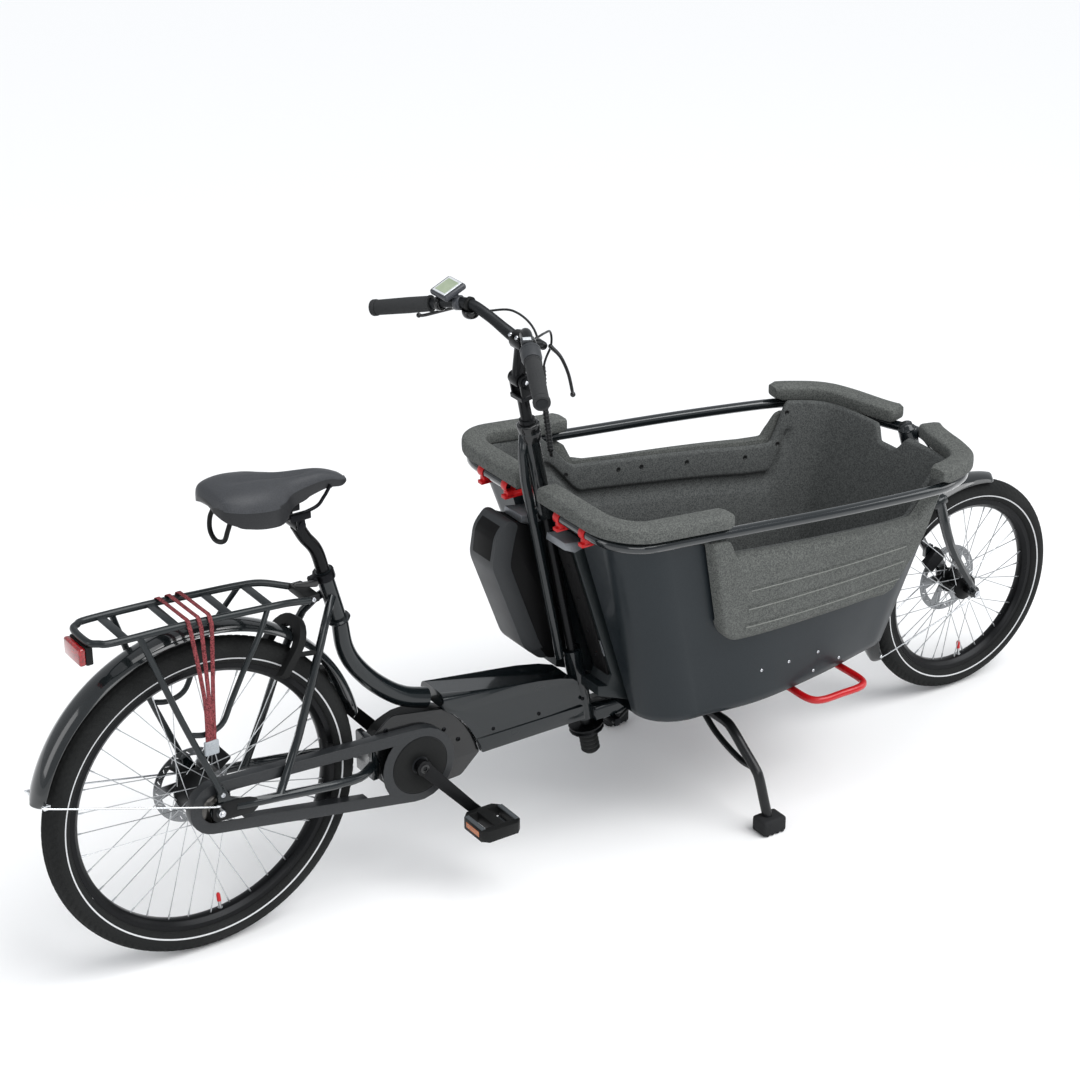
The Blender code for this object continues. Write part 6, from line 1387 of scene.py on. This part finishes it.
for x, z in ((-0.158, 0.7445), (-0.055, 0.7415), (0.056, 0.7335), (0.142, 0.727)):
    rack_parts.append(slab((x - 0.009, -RACK_HALF, z - 0.002), (x + 0.009, RACK_HALF, z + 0.002), 0.0012))
piece("rack_painted", joined(*rack_parts), RACK_PAINT, "frame", ("rack",), 45.0)
rack_clamp = slab((0.2285, -0.038, 0.6975), (0.259, 0.038, 0.7135), 0.0035)
piece("rack_clamp_block", rack_clamp, MATT_BLACK, "frame", (), 45.0)
rack_bolts = on_both_sides([((0.004, PLATE_OUT + 0.01, 0.375), (0, 1, 0)),
                            ((0.244, 0.038, 0.7055), (0, 1, 0))])
piece("rack_bolts", at_marks(screw_head(0.0052, 0.003), rack_bolts), BRIGHT_STEEL, "frame")

# Straps: three flat bands of woven maroon elastic drawn over the rack's right tube and down to one grey
# plastic clip. The weave shows as fine pale dots.
STRAP_RED = surface("maroon_elastic_webbing", "#4a1a1d", "#8a4145", 0.0018, 0.85, dents=0.0004, cells=True)
CLIP_GREY = surface("light_grey_clip_plastic", "#8d9297", "#a5aaae", 0.0014, 0.4)
STRAP_WIDTH = 0.0085
STRAP_THICK = 0.0022


def ribbon(line):
    """A flat band along a line, its width lying along the bike."""
    rows = []
    wide = Vector((STRAP_WIDTH / 2, 0, 0))
    for i, spot in enumerate(line):
        along = (line[min(i + 1, len(line) - 1)] - line[max(i - 1, 0)]).normalized()
        over = along.cross(Vector((1, 0, 0))).normalized() * STRAP_THICK / 2
        corners = ((-1, 0.5), (-0.9, 1), (0.9, 1), (1, 0.5), (1, -0.5), (0.9, -1), (-0.9, -1), (-1, -0.5))
        row = [spot + wide * u + over * v for u, v in corners]
        rows.append(row + row[:1])
    return closed_tube(rows, 10)


straps = []
for index, x in enumerate((-0.034, -0.012, 0.01)):
    line = [(x - 0.004, 0.064, 0.738), (x - 0.004, 0.062, 0.746), (x - 0.004, 0.056, 0.75),
            (x - 0.003, 0.045, 0.7505), (x - 0.001, -0.045, 0.7505), (x, -0.056, 0.75),
            (x, -0.063, 0.7465), (x, -0.0665, 0.738), (x * 0.95, -0.071, 0.72),
            (x * 0.4 - 0.009, -0.088, 0.59), (-0.015 + (index - 1) * 0.0072, -0.0886 + 0.0006 * index, 0.497)]
    straps.append(ribbon(eased(line, 8)))
piece("rack_straps_woven", joined(*straps), STRAP_RED, "frame", ("rack_straps",), 60.0)
clip_parts = [slab((-0.03, -0.0926, 0.472), (0.0, -0.0842, 0.502), 0.003, None, 3),
              slab((-0.025, -0.0934, 0.487), (-0.005, -0.0915, 0.499), 0.0008)]
piece("strap_clip", joined(*clip_parts), CLIP_GREY, "frame", (), 40.0)

# Tail light: a moulded lens over a black plastic housing, screwed to the rack's rear. The lens is deep red
# with a sharp highlight.
LENS_RED = surface("red_lens", "#6d0a0d", "#a11217", 0.005, 0.1, coat=1.0)
piece("tail_light_lens", slab((-0.2427, -0.035, 0.701), (-0.229, 0.035, 0.737), 0.0045, None, 3), LENS_RED,
      "frame", ("tail_light",), 40.0)
housing = joined(slab((-0.23, -0.0355, 0.7), (-0.215, 0.0355, 0.738), 0.003),
                 slab((-0.219, -0.012, 0.724), (-0.213, 0.012, 0.744), 0.001))
piece("tail_light_housing", housing, MATT_BLACK, "frame", (), 40.0)

# Seat: a padded saddle with a central hollow, its grained cover drawn over foam above a smooth border. It
# stands by steel rails on a black seatpost, in a clamp with a quick-release lever. The grain breaks the
# cover's sheen, and the border stays smooth and darker.
SADDLE_COVER = surface("grained_saddle_vinyl", "#2f3033", "#3d3f42", 0.0016, 0.5, dents=0.00012)
SADDLE_EDGE = surface("smooth_saddle_border", "#1b1c1e", "#252628", 0.0014, 0.42)
POST_BLACK = surface("anodised_black_post", "#0f1011", "#17181a", 0.001, 0.26, 0.6)
SADDLE_ROWS = [(0.046, 0.034, 0.956, 0.933), (0.06, 0.064, 0.972, 0.919), (0.1, 0.08, 0.977, 0.903),
               (0.148, 0.078, 0.973, 0.893), (0.182, 0.062, 0.967, 0.89), (0.214, 0.04, 0.9625, 0.906),
               (0.285, 0.023, 0.9555, 0.917), (0.326, 0.017, 0.94, 0.912), (0.342, 0.009, 0.927, 0.915)]
SADDLE_STEPS = 70
SADDLE_TURNS = 48
HOLLOW_HALF = 0.0095
SADDLE_HOLLOW = 0.0048
BORDER_UP = 0.15
RAIL_WIRE = 0.0035


def saddle_row(at):
    """The saddle's half width, top and lower edge at a place along it, eased between the given rows."""
    rows = [Vector(row) for row in SADDLE_ROWS]
    index = min(int(at), len(rows) - 2)
    t = at - index
    before, start, end = rows[max(index - 1, 0)], rows[index], rows[index + 1]
    after = rows[min(index + 2, len(rows) - 1)]
    return 0.5 * (2 * start + (end - before) * t + (2 * before - 5 * start + 4 * end - after) * t * t
                  + (3 * start - before - 3 * end + after) * t ** 3)


cushion_rows = []
for step in range(SADDLE_STEPS + 1):
    x, half, top, low = saddle_row((len(SADDLE_ROWS) - 1) * step / SADDLE_STEPS)
    along = step_up(x, 0.075, 0.12) * (1 - step_up(x, 0.235, 0.285))
    border = low + 0.006
    line = []
    for turn in range(SADDLE_TURNS + 1):
        lean = radians(-12 + 204 * turn / SADDLE_TURNS)
        y = half * 0.985 * copysign(abs(cos(lean)) ** 0.62, cos(lean))
        if sin(lean) > 0:
            z = border + (top - 0.0015 - border) * sin(lean) ** 0.55
        else:
            z = border + 0.01 * sin(lean)
        if sin(lean) > 0.5:
            z -= SADDLE_HOLLOW * exp(-(y / HOLLOW_HALF) ** 2) * along
        line.append(Vector((x, y, z)))
    line += [Vector((x, -0.6 * half, low + 0.009)), Vector((x, 0, low + 0.013)),
             Vector((x, 0.6 * half, low + 0.009))]
    cushion_rows.append(line + line[:1])
cushion = closed_tube(cushion_rows, 80)
for face in cushion.faces:
    face.material_index = int(face.normal.z < BORDER_UP)
saddle = piece("saddle_padded", cushion, [SADDLE_COVER, SADDLE_EDGE], "seat", ("saddle",),
               70.0)
rail_line = eased([(0.3, 0.022, 0.927), (0.284, 0.022, 0.905), (0.262, 0.022, 0.888),
                   (0.19, 0.022, 0.879), (0.14, 0.027, 0.882), (0.1, 0.033, 0.896), (0.078, 0.035, 0.922)], 8)
bumper = eased([(0.082, 0.034, 0.918), (0.072, 0.036, 0.896), (0.067, 0.028, 0.873), (0.064, 0.0, 0.864),
                (0.067, -0.028, 0.873), (0.072, -0.036, 0.896), (0.082, -0.034, 0.918)], 8)
rails = joined(swept(rail_line, RAIL_WIRE), swept([(p.x, -p.y, p.z) for p in rail_line], RAIL_WIRE),
               swept([(0.3, -0.0225, 0.923), (0.3, 0.0225, 0.923)], RAIL_WIRE))
piece("saddle_rails_steel", rails, BLACK_STEEL, "seat", ("saddle_rails",))
piece("saddle_bumper", swept(bumper, 0.0048), MATT_BLACK, "seat")
jaws = [swept([(0.231, -0.03, 0.864), (0.231, 0.03, 0.864)], 0.0052, 20)]
for y in (-0.022, 0.022):
    jaws.append(slab((0.209, y - 0.0065, 0.871), (0.253, y + 0.0065, 0.886), 0.0025))
for y in (-0.0245, 0.0245):
    jaws.append(slab((0.223, y - 0.003, 0.854), (0.24, y + 0.003, 0.874), 0.0015))
piece("saddle_clamp", joined(*jaws), BLACK_STEEL, "seat", (), 40.0)
bend = [SEAT_TOP - SEAT_UP * 0.085, SEAT_TOP - SEAT_UP * 0.02, SEAT_TOP + SEAT_UP * 0.045,
        Vector((0.252, 0, 0.82)), Vector((0.242, 0, 0.838)), Vector((0.235, 0, 0.852))]
post_head = swept([(0.233, -0.0205, 0.856), (0.233, 0.0205, 0.856)], 0.0115, 32)
post = joined(swept(eased(bend, 8), 0.0136, 32), post_head)
piece("seatpost_anodised", post, POST_BLACK, "seat", ("seatpost",), 40.0)
dressed("seat_clamp", BLACK_STEEL, 0.001, 40.0, 50.0)
dressed("clamp_lever", GLOSS_BLACK, 0.0016, 45.0, 50.0)

# Steering column: a black shaft in the painted heads with a glossy collar. A pivot at its top carries the
# stem, and below the frame a ribbed rubber boot closes it under the cable wheel.
BOOT_RUBBER = surface("ribbed_boot_rubber", "#191a1a", "#262727", 0.0014, 0.8)
HEAD_TOP = 0.934
SHAFT_FOOT = 0.196
PIVOT = column(1.034)
collar_line = [(0.015, 0.0024), (0.0215, 0.0024), (0.023, 0.001), (0.0233, -0.004), (0.0228, -0.012),
               (0.0212, -0.016), (0.0226, -0.02), (0.0226, -0.029), (0.0205, -0.036), (0.0168, -0.0375)]
collar = lathe(collar_line, column(HEAD_TOP), COLUMN_UP, 64)
piece("head_collar_gloss", collar, GLOSS_BLACK, "frame", (), 50.0)
dressed("steering_shaft", POST_BLACK, 0.0009, 40.0, 50.0, ending="black")
boot_line = [(0.0, 0.0)]
for rib in range(5):
    boot_line += [(r, z - 0.01 * rib) for r, z in ((0.0162, -0.001), (0.0185, -0.003), (0.0205, -0.0052),
                                                   (0.0205, -0.0068), (0.0185, -0.009))]
boot_line += [(0.015, -0.053), (0.008, -0.055), (0.0, -0.055)]
boot = lathe(boot_line, column(SHAFT_FOOT) - COLUMN_UP * 0.0003, COLUMN_UP, 48)
piece("steering_boot_ribbed", boot, BOOT_RUBBER, "column", ("steering_boot",), 30.0)
cap_line = [(0.0, 0.0062), (0.004, 0.0062), (0.0046, 0.005), (0.008, 0.0045), (0.0088, 0.003),
            (0.0088, 0.0), (0.0, 0.0)]
pivot_caps = [lathe(cap_line, PIVOT + Vector((0, hand * 0.0214, 0)), (0, hand, 0), 32) for hand in (-1, 1)]
piece("pivot_washers", joined(*pivot_caps), BLACK_STEEL, "column", (), 40.0)
pivot_bolts = on_both_sides([((PIVOT.x, 0.0274, PIVOT.z), (0, 1, 0))])
piece("pivot_bolts", at_marks(screw_head(0.0042, 0.002), pivot_bolts), BRIGHT_STEEL, "column")

# Stem: forged and anodised black, it tilts on the column's pivot. Two bright bolts in raised bosses clamp the
# bar in it.
BAR_CENTRE = Vector((0.75, 0.0, 1.112))
BOSS_WAY = Vector((-0.8, 0.0, 0.6)).normalized()
BOSS_LINE = [(0.0, 0.005), (0.0052, 0.005), (0.0058, 0.004), (0.0058, -0.006), (0.0, -0.006)]
dressed("stem", POST_BLACK, 0.0016, 45.0, 50.0, 3, "black")
boss_spots = [BAR_CENTRE + BOSS_WAY * 0.0196 + Vector((0, y, 0)) for y in (-0.0115, 0.0115)]
bosses = joined(*(lathe(BOSS_LINE, spot, BOSS_WAY, 20) for spot in boss_spots))
piece("stem_clamp_bosses", bosses, POST_BLACK, "bars")
clamp_bolts = [(spot + BOSS_WAY * 0.005, BOSS_WAY) for spot in boss_spots]
piece("stem_clamp_bolts", at_marks(screw_head(0.0046, 0.003), clamp_bolts), BRIGHT_STEEL, "bars")

# Handlebar: a black tube, bead blasted to a dull even grey sheen and thick in its clamp, with rubber grips,
# polished hydraulic levers that turn in their perches, and a grey twist shifter on the right.
BAR_BLACK = surface("bead_blasted_bar", "#17191b", "#212325", 0.0007, 0.42, 0.5)
GRIP_RUBBER = surface("dark_grip_rubber", "#242526", "#323334", 0.0011, 0.82, dents=0.00012)
LEVER_BLACK = surface("polished_black_lever", "#0c0d0e", "#151617", 0.001, 0.18, 0.5, coat=0.5)
SHIFTER_GREY = surface("dark_grey_shifter", "#2c2e30", "#393b3e", 0.0012, 0.5)
SILVER_TRIM = surface("silver_display_frame", "#c9cccf", "#dfe2e4", 0.0012, 0.3, 0.3)
GRIP_START = Vector((0.655, 0.18, 1.155))
GRIP_END = Vector((0.594, 0.306, 1.12))
GRIP_WAY = (GRIP_END - GRIP_START).normalized()
BAR_RADIUS = 0.011
CLAMP_SWELL = 0.0017


def on_grip(y, hand=1):
    """The point of the straight grip end of the bar at a distance from the middle."""
    point = GRIP_START + GRIP_WAY * ((y - GRIP_START.y) / GRIP_WAY.y)
    return Vector((point.x, hand * point.y, point.z))


def grip_way(hand):
    """The way that the bar's end points on one side."""
    return Vector((GRIP_WAY.x, hand * GRIP_WAY.y, GRIP_WAY.z))


half_bar = eased([(0.75, 0.0, 1.112), (0.75, 0.024, 1.112), (0.738, 0.042, 1.126), (0.715, 0.065, 1.152),
                  (0.695, 0.1, 1.17), (0.674, 0.142, 1.1655), GRIP_START - GRIP_WAY * 0.012], 8)
half_bar += [GRIP_START + GRIP_WAY * 0.02, GRIP_END + GRIP_WAY * 0.001]
bar_line = [Vector((p.x, -p.y, p.z)) for p in half_bar[:0:-1]] + half_bar
bar_radii = [BAR_RADIUS + CLAMP_SWELL * (1 - step_up(abs(p.y), 0.026, 0.06)) for p in bar_line]
piece("handlebar_blasted", swept(bar_line, bar_radii, 32), BAR_BLACK, "bars", ("handlebar",),
      60.0)
perch_parts = []
lever_joints = []
hose_starts = []
for hand, spot in ((1, Vector((0.664, 0.163, 1.159))), (-1, Vector((0.6765, -0.139, 1.1645)))):
    way = grip_way(hand)
    joint = spot + Vector((0.038, -hand * 0.004, -0.012))
    tank_in = spot + Vector((0.03, -hand * 0.022, -0.006))
    tank_out = joint + Vector((-0.006, hand * 0.008, 0.003))
    perch_parts.append(clamp_ring(0.0112, 0.015, 0.006, spot, way))
    along = (tank_out - tank_in).normalized()
    tank = [tank_in, tank_in + along * 0.001, tank_in + along * 0.005, tank_out - along * 0.003, tank_out]
    perch_parts.append(swept(tank, [0.005, 0.0068, 0.0085, 0.0085, 0.007], 24))
    perch_parts.append(swept([spot, spot + Vector((0.028, 0, -0.006))], [0.0072, 0.006], 16))
    perch_parts.append(swept([tank_in - along * 0.0055, tank_in + along * 0.001], [0.0034, 0.0042], 16))
    lever_joints.append((hand, joint))
    hose_starts.append((tank_in, -along))
piece("lever_perches", joined(*perch_parts), LEVER_BLACK, "bars", (), 45.0)
LEVER_SPOTS = ((0.0115, 0.001, -0.002), (0.0125, 0.004, -0.004), (0.016, 0.03, -0.016),
               (0.006, 0.07, -0.034), (-0.012, 0.11, -0.052), (-0.018, 0.121, -0.054))
LEVER_BALL = [(0.0, 0.0055), (0.0015, 0.0054), (0.0046, 0.003), (0.0054, 0.0), (0.0046, -0.003),
              (0.0015, -0.0054), (0.0, -0.0055)]
for hand, joint in lever_joints:
    side = "left" if hand > 0 else "right"
    line = eased([joint + Vector((x, hand * y, z)) for x, y, z in LEVER_SPOTS], 8)
    radii = [0.0046 - 0.0012 * step_up(i / (len(line) - 1), 0.1, 0.5) for i in range(len(line))]
    blade = joined(swept(line, radii, 20), lathe(LEVER_BALL, line[-1], (0, 0, 1), 20))
    piece("brake_lever_" + side + "_polished", blade, LEVER_BLACK, side + "_brake_lever",
          ("brake_lever_" + side,), 60.0)
GRIP_OUTER = 0.306
PLUG_LINE = [(0.0, 0.0008), (0.0098, 0.0008), (0.011, 0.0002), (0.0113, -0.001), (0.0113, -0.004),
             (0.0, -0.004)]
for side, hand, start in (("left", 1, 0.18), ("right", -1, 0.1905)):
    first, last = on_grip(start, hand), on_grip(GRIP_OUTER, hand)
    length = (last - first).length
    line = [(0.0114, 0.0), (0.0166, 0.0), (0.017, 0.0006), (0.017, 0.0034), (0.0155, 0.0046),
            (0.015, 0.007), (0.0158, 0.01), (0.0163, length * 0.4), (0.0158, length * 0.75),
            (0.0156, length - 0.0125), (0.0146, length - 0.0118), (0.0146, length - 0.0104),
            (0.0166, length - 0.0098), (0.017, length - 0.008), (0.017, length - 0.002),
            (0.0164, length), (0.0114, length)]
    piece("grip_" + side + "_rubber", lathe(line, first, grip_way(hand), 56, True), GRIP_RUBBER, "bars",
          ("grip_" + side,), 35.0)
    piece("grip_" + side + "_plug", lathe(PLUG_LINE, last, grip_way(hand), 40), PACK_BLACK, "bars")
drum_start = on_grip(0.156, -1)
length = (on_grip(0.189, -1) - drum_start).length
drum = lathe([(0.0118, 0.0), (0.0185, 0.0), (0.02, 0.002), (0.02, 0.007), (0.0188, 0.0082),
              (0.0188, 0.0094), (0.02, 0.0106), (0.02, length - 0.01), (0.018, length - 0.003),
              (0.0172, length), (0.0118, length)], drum_start, grip_way(-1), 64, True)
piece("twist_shifter_grey", drum, SHIFTER_GREY, "shifter", ("twist_shifter",), 35.0)
window_turn = grip_way(-1).to_track_quat("Y", "Z").to_matrix().to_4x4()
window_place = Matrix.Translation(drum_start + Vector((-0.006, 0, 0.0135))) @ window_turn
housing = slab((-0.0115, -0.0135, -0.005), (0.0115, 0.0, 0.008), 0.0035, None, 3)
housing.transform(window_place)
piece("shifter_housing", housing, SHIFTER_GREY, "bars", (), 40.0)
glass = slab((-0.008, -0.011, 0.0078), (0.008, -0.002, 0.0088), 0.0008)
glass.transform(window_place)
piece("shifter_window", glass, SILVER_TRIM, "bars", (), 40.0)

# Display: a dark grey moulded case with a silver frame round its greenish screen, tilted up to the rider on a
# foot that is clamped to the bar's left side.
LCD_GREEN = surface("liquid_crystal", "#8f9b84", "#9aa58e", 0.02, 0.15)
BEZEL_GREY = surface("dark_grey_bezel", "#303236", "#3c3e43", 0.0012, 0.35, coat=0.2)
DISPLAY_SPOT = Vector((0.675, 0, 1.19))
DISPLAY_TILT = radians(-24)
TILT = (Matrix.Translation(DISPLAY_SPOT) @ Matrix.Rotation(DISPLAY_TILT, 4, "Y")
        @ Matrix.Translation(-DISPLAY_SPOT))


def tilted(form):
    """A form turned up with the display."""
    form.transform(TILT)
    return form


screen = tilted(slab((0.648, 0.118, 1.184), (0.702, 0.18, 1.1975), 0.0062, None, 4))
foot = joined(swept([(0.68, 0.127, 1.166), (0.678, 0.127, 1.188)], 0.006, 20),
              clamp_ring(0.0114, 0.015, 0.007, (0.6832, 0.124, 1.1678), (-0.47, 0.86, -0.18)))
piece("display_case", joined(screen, foot), BEZEL_GREY, "bars", ("display",), 40.0)
surround = tilted(slab((0.653, 0.126, 1.197), (0.698, 0.172, 1.1985), 0.0006, None, 1))
piece("display_frame", surround, SILVER_TRIM, "bars", (), 35.0)
crystal = tilted(slab((0.6575, 0.1305, 1.1982), (0.6935, 0.1675, 1.199), 0.0003, None, 1))
piece("display_screen", crystal, LCD_GREEN, "bars", (), 35.0)

# Bell: a polished black metal dome on a plastic clamp on the bar's left side, with a small striker for the
# thumb that springs back.
BELL_SPOT = (0.696, 0.1, 1.158)
STRIKER_TIP = (0.723, 0.078, 1.145)
bell_dome = lathe([(0.0, 0.0), (0.0172, 0.0), (0.018, -0.001), (0.0182, -0.005), (0.0172, -0.0095),
                   (0.0145, -0.014), (0.01, -0.017), (0.005, -0.0186), (0.0, -0.019)],
                  BELL_SPOT, (0, 0, 1), 56)
piece("bell_dome_black", bell_dome, LEVER_BLACK, "bars", ("bell",), 50.0)
bell_ring = clamp_ring(0.0113, 0.015, 0.004, (0.694, 0.1, 1.17), (-0.3, 0.95, -0.05))
piece("bell_ring_black", bell_ring, MATT_BLACK, "bars", (), 50.0)
striker_line = eased([(0.7165, 0.094, 1.145), (0.719, 0.09, 1.145), STRIKER_TIP], 4)
striker = joined(swept(striker_line, 0.0021),
                 lathe([(0.0, 0.0032), (0.0024, 0.0024), (0.0034, 0.0), (0.0024, -0.0024), (0.0, -0.0032)],
                       STRIKER_TIP, (0, 0, 1), 16))
piece("bell_striker_black", striker, MATT_BLACK, "bell_striker", ("bell_lever",), 50.0)

# Brake hoses: thin black hydraulic lines from both levers, gathered before the column in a spiral wrap of
# black plastic.
HOSE_BLACK = surface("black_hose_sheath", "#141516", "#202122", 0.0014, 0.38)
HOSE_RADIUS = 0.0024
HOSE_END = Vector((0.818, 0.0, 0.85))
WRAP_RADIUS = 0.0056
COIL_WIRE = 0.0016
COIL_POINTS = 301
COIL_PER_TURN = 14
hose_paths = [
    [(0.708, 0.124, 1.146), (0.736, 0.108, 1.144), (0.775, 0.07, 1.148), (0.8, 0.032, 1.115),
     (0.798, 0.004, 1.05), (0.805, 0.002, 0.95), (HOSE_END.x, 0.002, HOSE_END.z)],
    [(0.724, -0.1, 1.159), (0.748, -0.083, 1.155), (0.78, -0.055, 1.142),
     (0.801, -0.026, 1.1), (0.798, -0.004, 1.045), (0.805, -0.002, 0.95), (HOSE_END.x, -0.002, HOSE_END.z)]]
hoses = []
for (start, way), points in zip(hose_starts, hose_paths):
    line = eased([start + way * 0.001, start + way * 0.008] + [Vector(p) for p in points], 8)
    hoses.append(swept(line, HOSE_RADIUS, 12))
wrapped = eased([(0.7985, 0, 1.045), (0.801, 0, 1.0), (0.805, 0, 0.95), (0.811, 0, 0.905),
                 (0.8165, 0, 0.862)], 8)
hoses.append(swept(wrapped, WRAP_RADIUS, 14))
coil = []
for i in range(COIL_POINTS):
    place = (len(wrapped) - 1) * i / COIL_POINTS
    spot = wrapped[int(place)].lerp(wrapped[int(place) + 1], place - int(place))
    turn = 2 * pi * i / COIL_PER_TURN
    coil.append(spot + Vector((cos(turn), sin(turn), 0)) * (WRAP_RADIUS - 0.0002))
hoses.append(swept(coil, COIL_WIRE, 6))
hose_form = joined(*hoses)
hose_form.transform(TO_FRAME)
hose_pair = laid_out("brake_hoses", hose_form)
hose_pair.data.materials.append(HOSE_BLACK)
hose_pair.data.shade_smooth()
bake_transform(hose_pair)
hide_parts("hose_bundle")

# Stand: a two-legged centre stand of tube, powder coated in satin black, which swings up under the box. Each
# leg ends in a ribbed rubber foot.
STAND_BLACK = surface("satin_black_stand", "#111213", "#1a1b1d", 0.0012, 0.36, 0.3, coat=0.2)
FOOT_RUBBER = surface("stand_foot_rubber", "#17181a", "#232425", 0.0012, 0.78)
STAND_X = 1.16
STAND_Z = 0.205
FOOT_OUT = 0.289
FOOT_RIBS = 4
FOOT_RIB_STEP = 0.0132
stand_parts = [swept([(STAND_X, -0.03, STAND_Z), (STAND_X, 0.03, STAND_Z)], 0.0045, 20)]
feet = []
for hand in (-1, 1):
    leg = eased([(STAND_X, hand * 0.0285, STAND_Z), (STAND_X, hand * 0.09, STAND_Z),
                 (STAND_X, hand * 0.15, STAND_Z), (STAND_X, hand * 0.175, 0.196),
                 (STAND_X, hand * 0.215, 0.168),
                 (STAND_X, hand * 0.255, 0.14), (1.162, hand * 0.268, 0.12), (1.1685, hand * 0.278, 0.07),
                 (1.175, hand * 0.288, 0.02)], 6)
    brace = eased([(STAND_X, hand * y, z) for y, z in ((0.06, 0.201), (0.12, 0.162), (0.2, 0.138),
                                                       (0.254, 0.1385))], 8)
    stand_parts += [swept(leg, 0.011, 24), swept(brace, 0.007, 20)]
    foot_y = hand * FOOT_OUT
    feet.append(slab((1.146, foot_y - 0.0225, 0.0), (1.206, foot_y + 0.0225, 0.036), 0.0065, None, 3))
    for rib in range(FOOT_RIBS):
        x = 1.153 + FOOT_RIB_STEP * rib
        feet.append(slab((x, foot_y - 0.023, 0.0008), (x + 0.006, foot_y + 0.023, 0.01), 0.0008, None, 1))
piece("stand_tubes", joined(*stand_parts), STAND_BLACK, "stand", ("stand",), 45.0)
piece("stand_feet", joined(*feet), FOOT_RUBBER, "stand", (), 40.0)

# Steps: a loop of bent steel tube, powder coated in bright red, below each side of the box; both its ends run
# under the tub to a cross tube.
STEP_RED = surface("red_powder_coat", "#a90f15", "#bd151a", 0.0014, 0.3, coat=0.4)
STEP_Z = 0.2527
for side, hand in (("left", 1), ("right", -1)):
    loop = eased([(x, hand * y, STEP_Z) for x, y in (
        (1.31, 0.118), (1.31, 0.17), (1.31, 0.225), (1.318, 0.25), (1.34, 0.26), (1.385, 0.26),
        (1.43, 0.26), (1.452, 0.25), (1.46, 0.225), (1.46, 0.17), (1.46, 0.118))], 6)
    cross = [(1.303, hand * 0.127, STEP_Z), (1.467, hand * 0.127, STEP_Z)]
    piece("step_" + side + "_red", joined(swept(loop, 0.008, 24), swept(cross, 0.0074, 20)), STEP_RED,
          "frame", ("step_" + side,), 45.0)

# Steering cables: two steel cables in black housings inside the spine, which turn the fork from the column.
# Each end leaves its housing at a black steel stop.
housings = []
for hand in (-1, 1):
    way = eased([(x, hand * y, z) for x, y, z in (
        (0.945, 0.038, 0.217), (0.965, 0.037, 0.225), (1.0, 0.0345, 0.239), (1.1, 0.0345, 0.24),
        (1.48, 0.0345, 0.24), (1.555, 0.0345, 0.244), (1.604, 0.0345, 0.266), (1.636, 0.0345, 0.328),
        (1.669, 0.035, 0.425), (1.7, 0.037, 0.5), (1.726, 0.038, 0.519), (1.76, 0.038, 0.529))], 6)
    housings.append(swept(way, 0.0034, 14))
piece("steering_cables_black", joined(*housings), HOSE_BLACK, "frame", ("steering_cables",))
stops = joined(slab((0.948, -0.043, 0.208), (0.962, 0.043, 0.2262), 0.002),
               slab((1.74, -0.043, 0.514), (1.752, 0.043, 0.53), 0.002))
piece("cable_stops", stops, BLACK_STEEL, "frame", (), 40.0)

# Brake callipers: cast in metal and painted black, one bolted beside each disc. The fine grain of the casting
# breaks their sheen.
CALLIPER_BLACK = surface("cast_black_calliper", "#0f1012", "#1b1c1e", 0.0008, 0.45, 0.5)
for node in ("rear_calliper", "front_calliper"):
    dressed(node, CALLIPER_BLACK, 0.0022, 40.0, 50.0, 3, "cast")

# Axle ends: six-sided bright nuts on both wheels, with plastic covers over the rear dropouts, and a red ring
# on the front hub.
DROPOUT_BLACK = surface("black_dropout_cover", "#0b0c0d", "#121314", 0.0012, 0.48, shine=0.2)
DROPOUT_FACE = 0.0786
guard_line = softened([(-0.016, 0.316), (-0.016, 0.353), (0.06, 0.35), (0.082, 0.34), (0.084, 0.323),
                       (0.07, 0.312)], 0.012)
guards = [plate(guard_line, *sorted((hand * 0.0756, hand * DROPOUT_FACE)), 0.001) for hand in (-1, 1)]
piece("dropout_covers", joined(*guards), DROPOUT_BLACK, "frame", (), 40.0)
for name, body, axle, face, end, thread, shoulder, foot in (
        ("rear_axle_nuts", "frame", REAR_AXLE, DROPOUT_FACE, 0.012, 0.008, 0.0072, 0.0),
        ("front_axle_nuts", "fork_assembly", FRONT_AXLE, 0.0655, 0.006, 0.004, 0.0034, -0.002)):
    nut_line = [(0.0, end), (0.0044, end), (0.005, end - 0.001), (0.005, thread), (0.0078, shoulder),
                (0.0082, foot), (0.0, foot)]
    nuts = [lathe(nut_line, axle + Vector((0, hand * face, 0)), (0, hand, 0), 6) for hand in (-1, 1)]
    piece(name, joined(*nuts), BRIGHT_STEEL, body, (), 25.0)
hub_ring = lathe([(0.0182, -0.0285), (0.02, -0.0285), (0.0205, -0.0275), (0.0205, -0.0255),
                  (0.02, -0.0245), (0.0182, -0.0245)], FRONT_AXLE, (0, 1, 0), 40, True)
piece("front_hub_red_ring", hub_ring, VALVE_RED, "front_wheel")
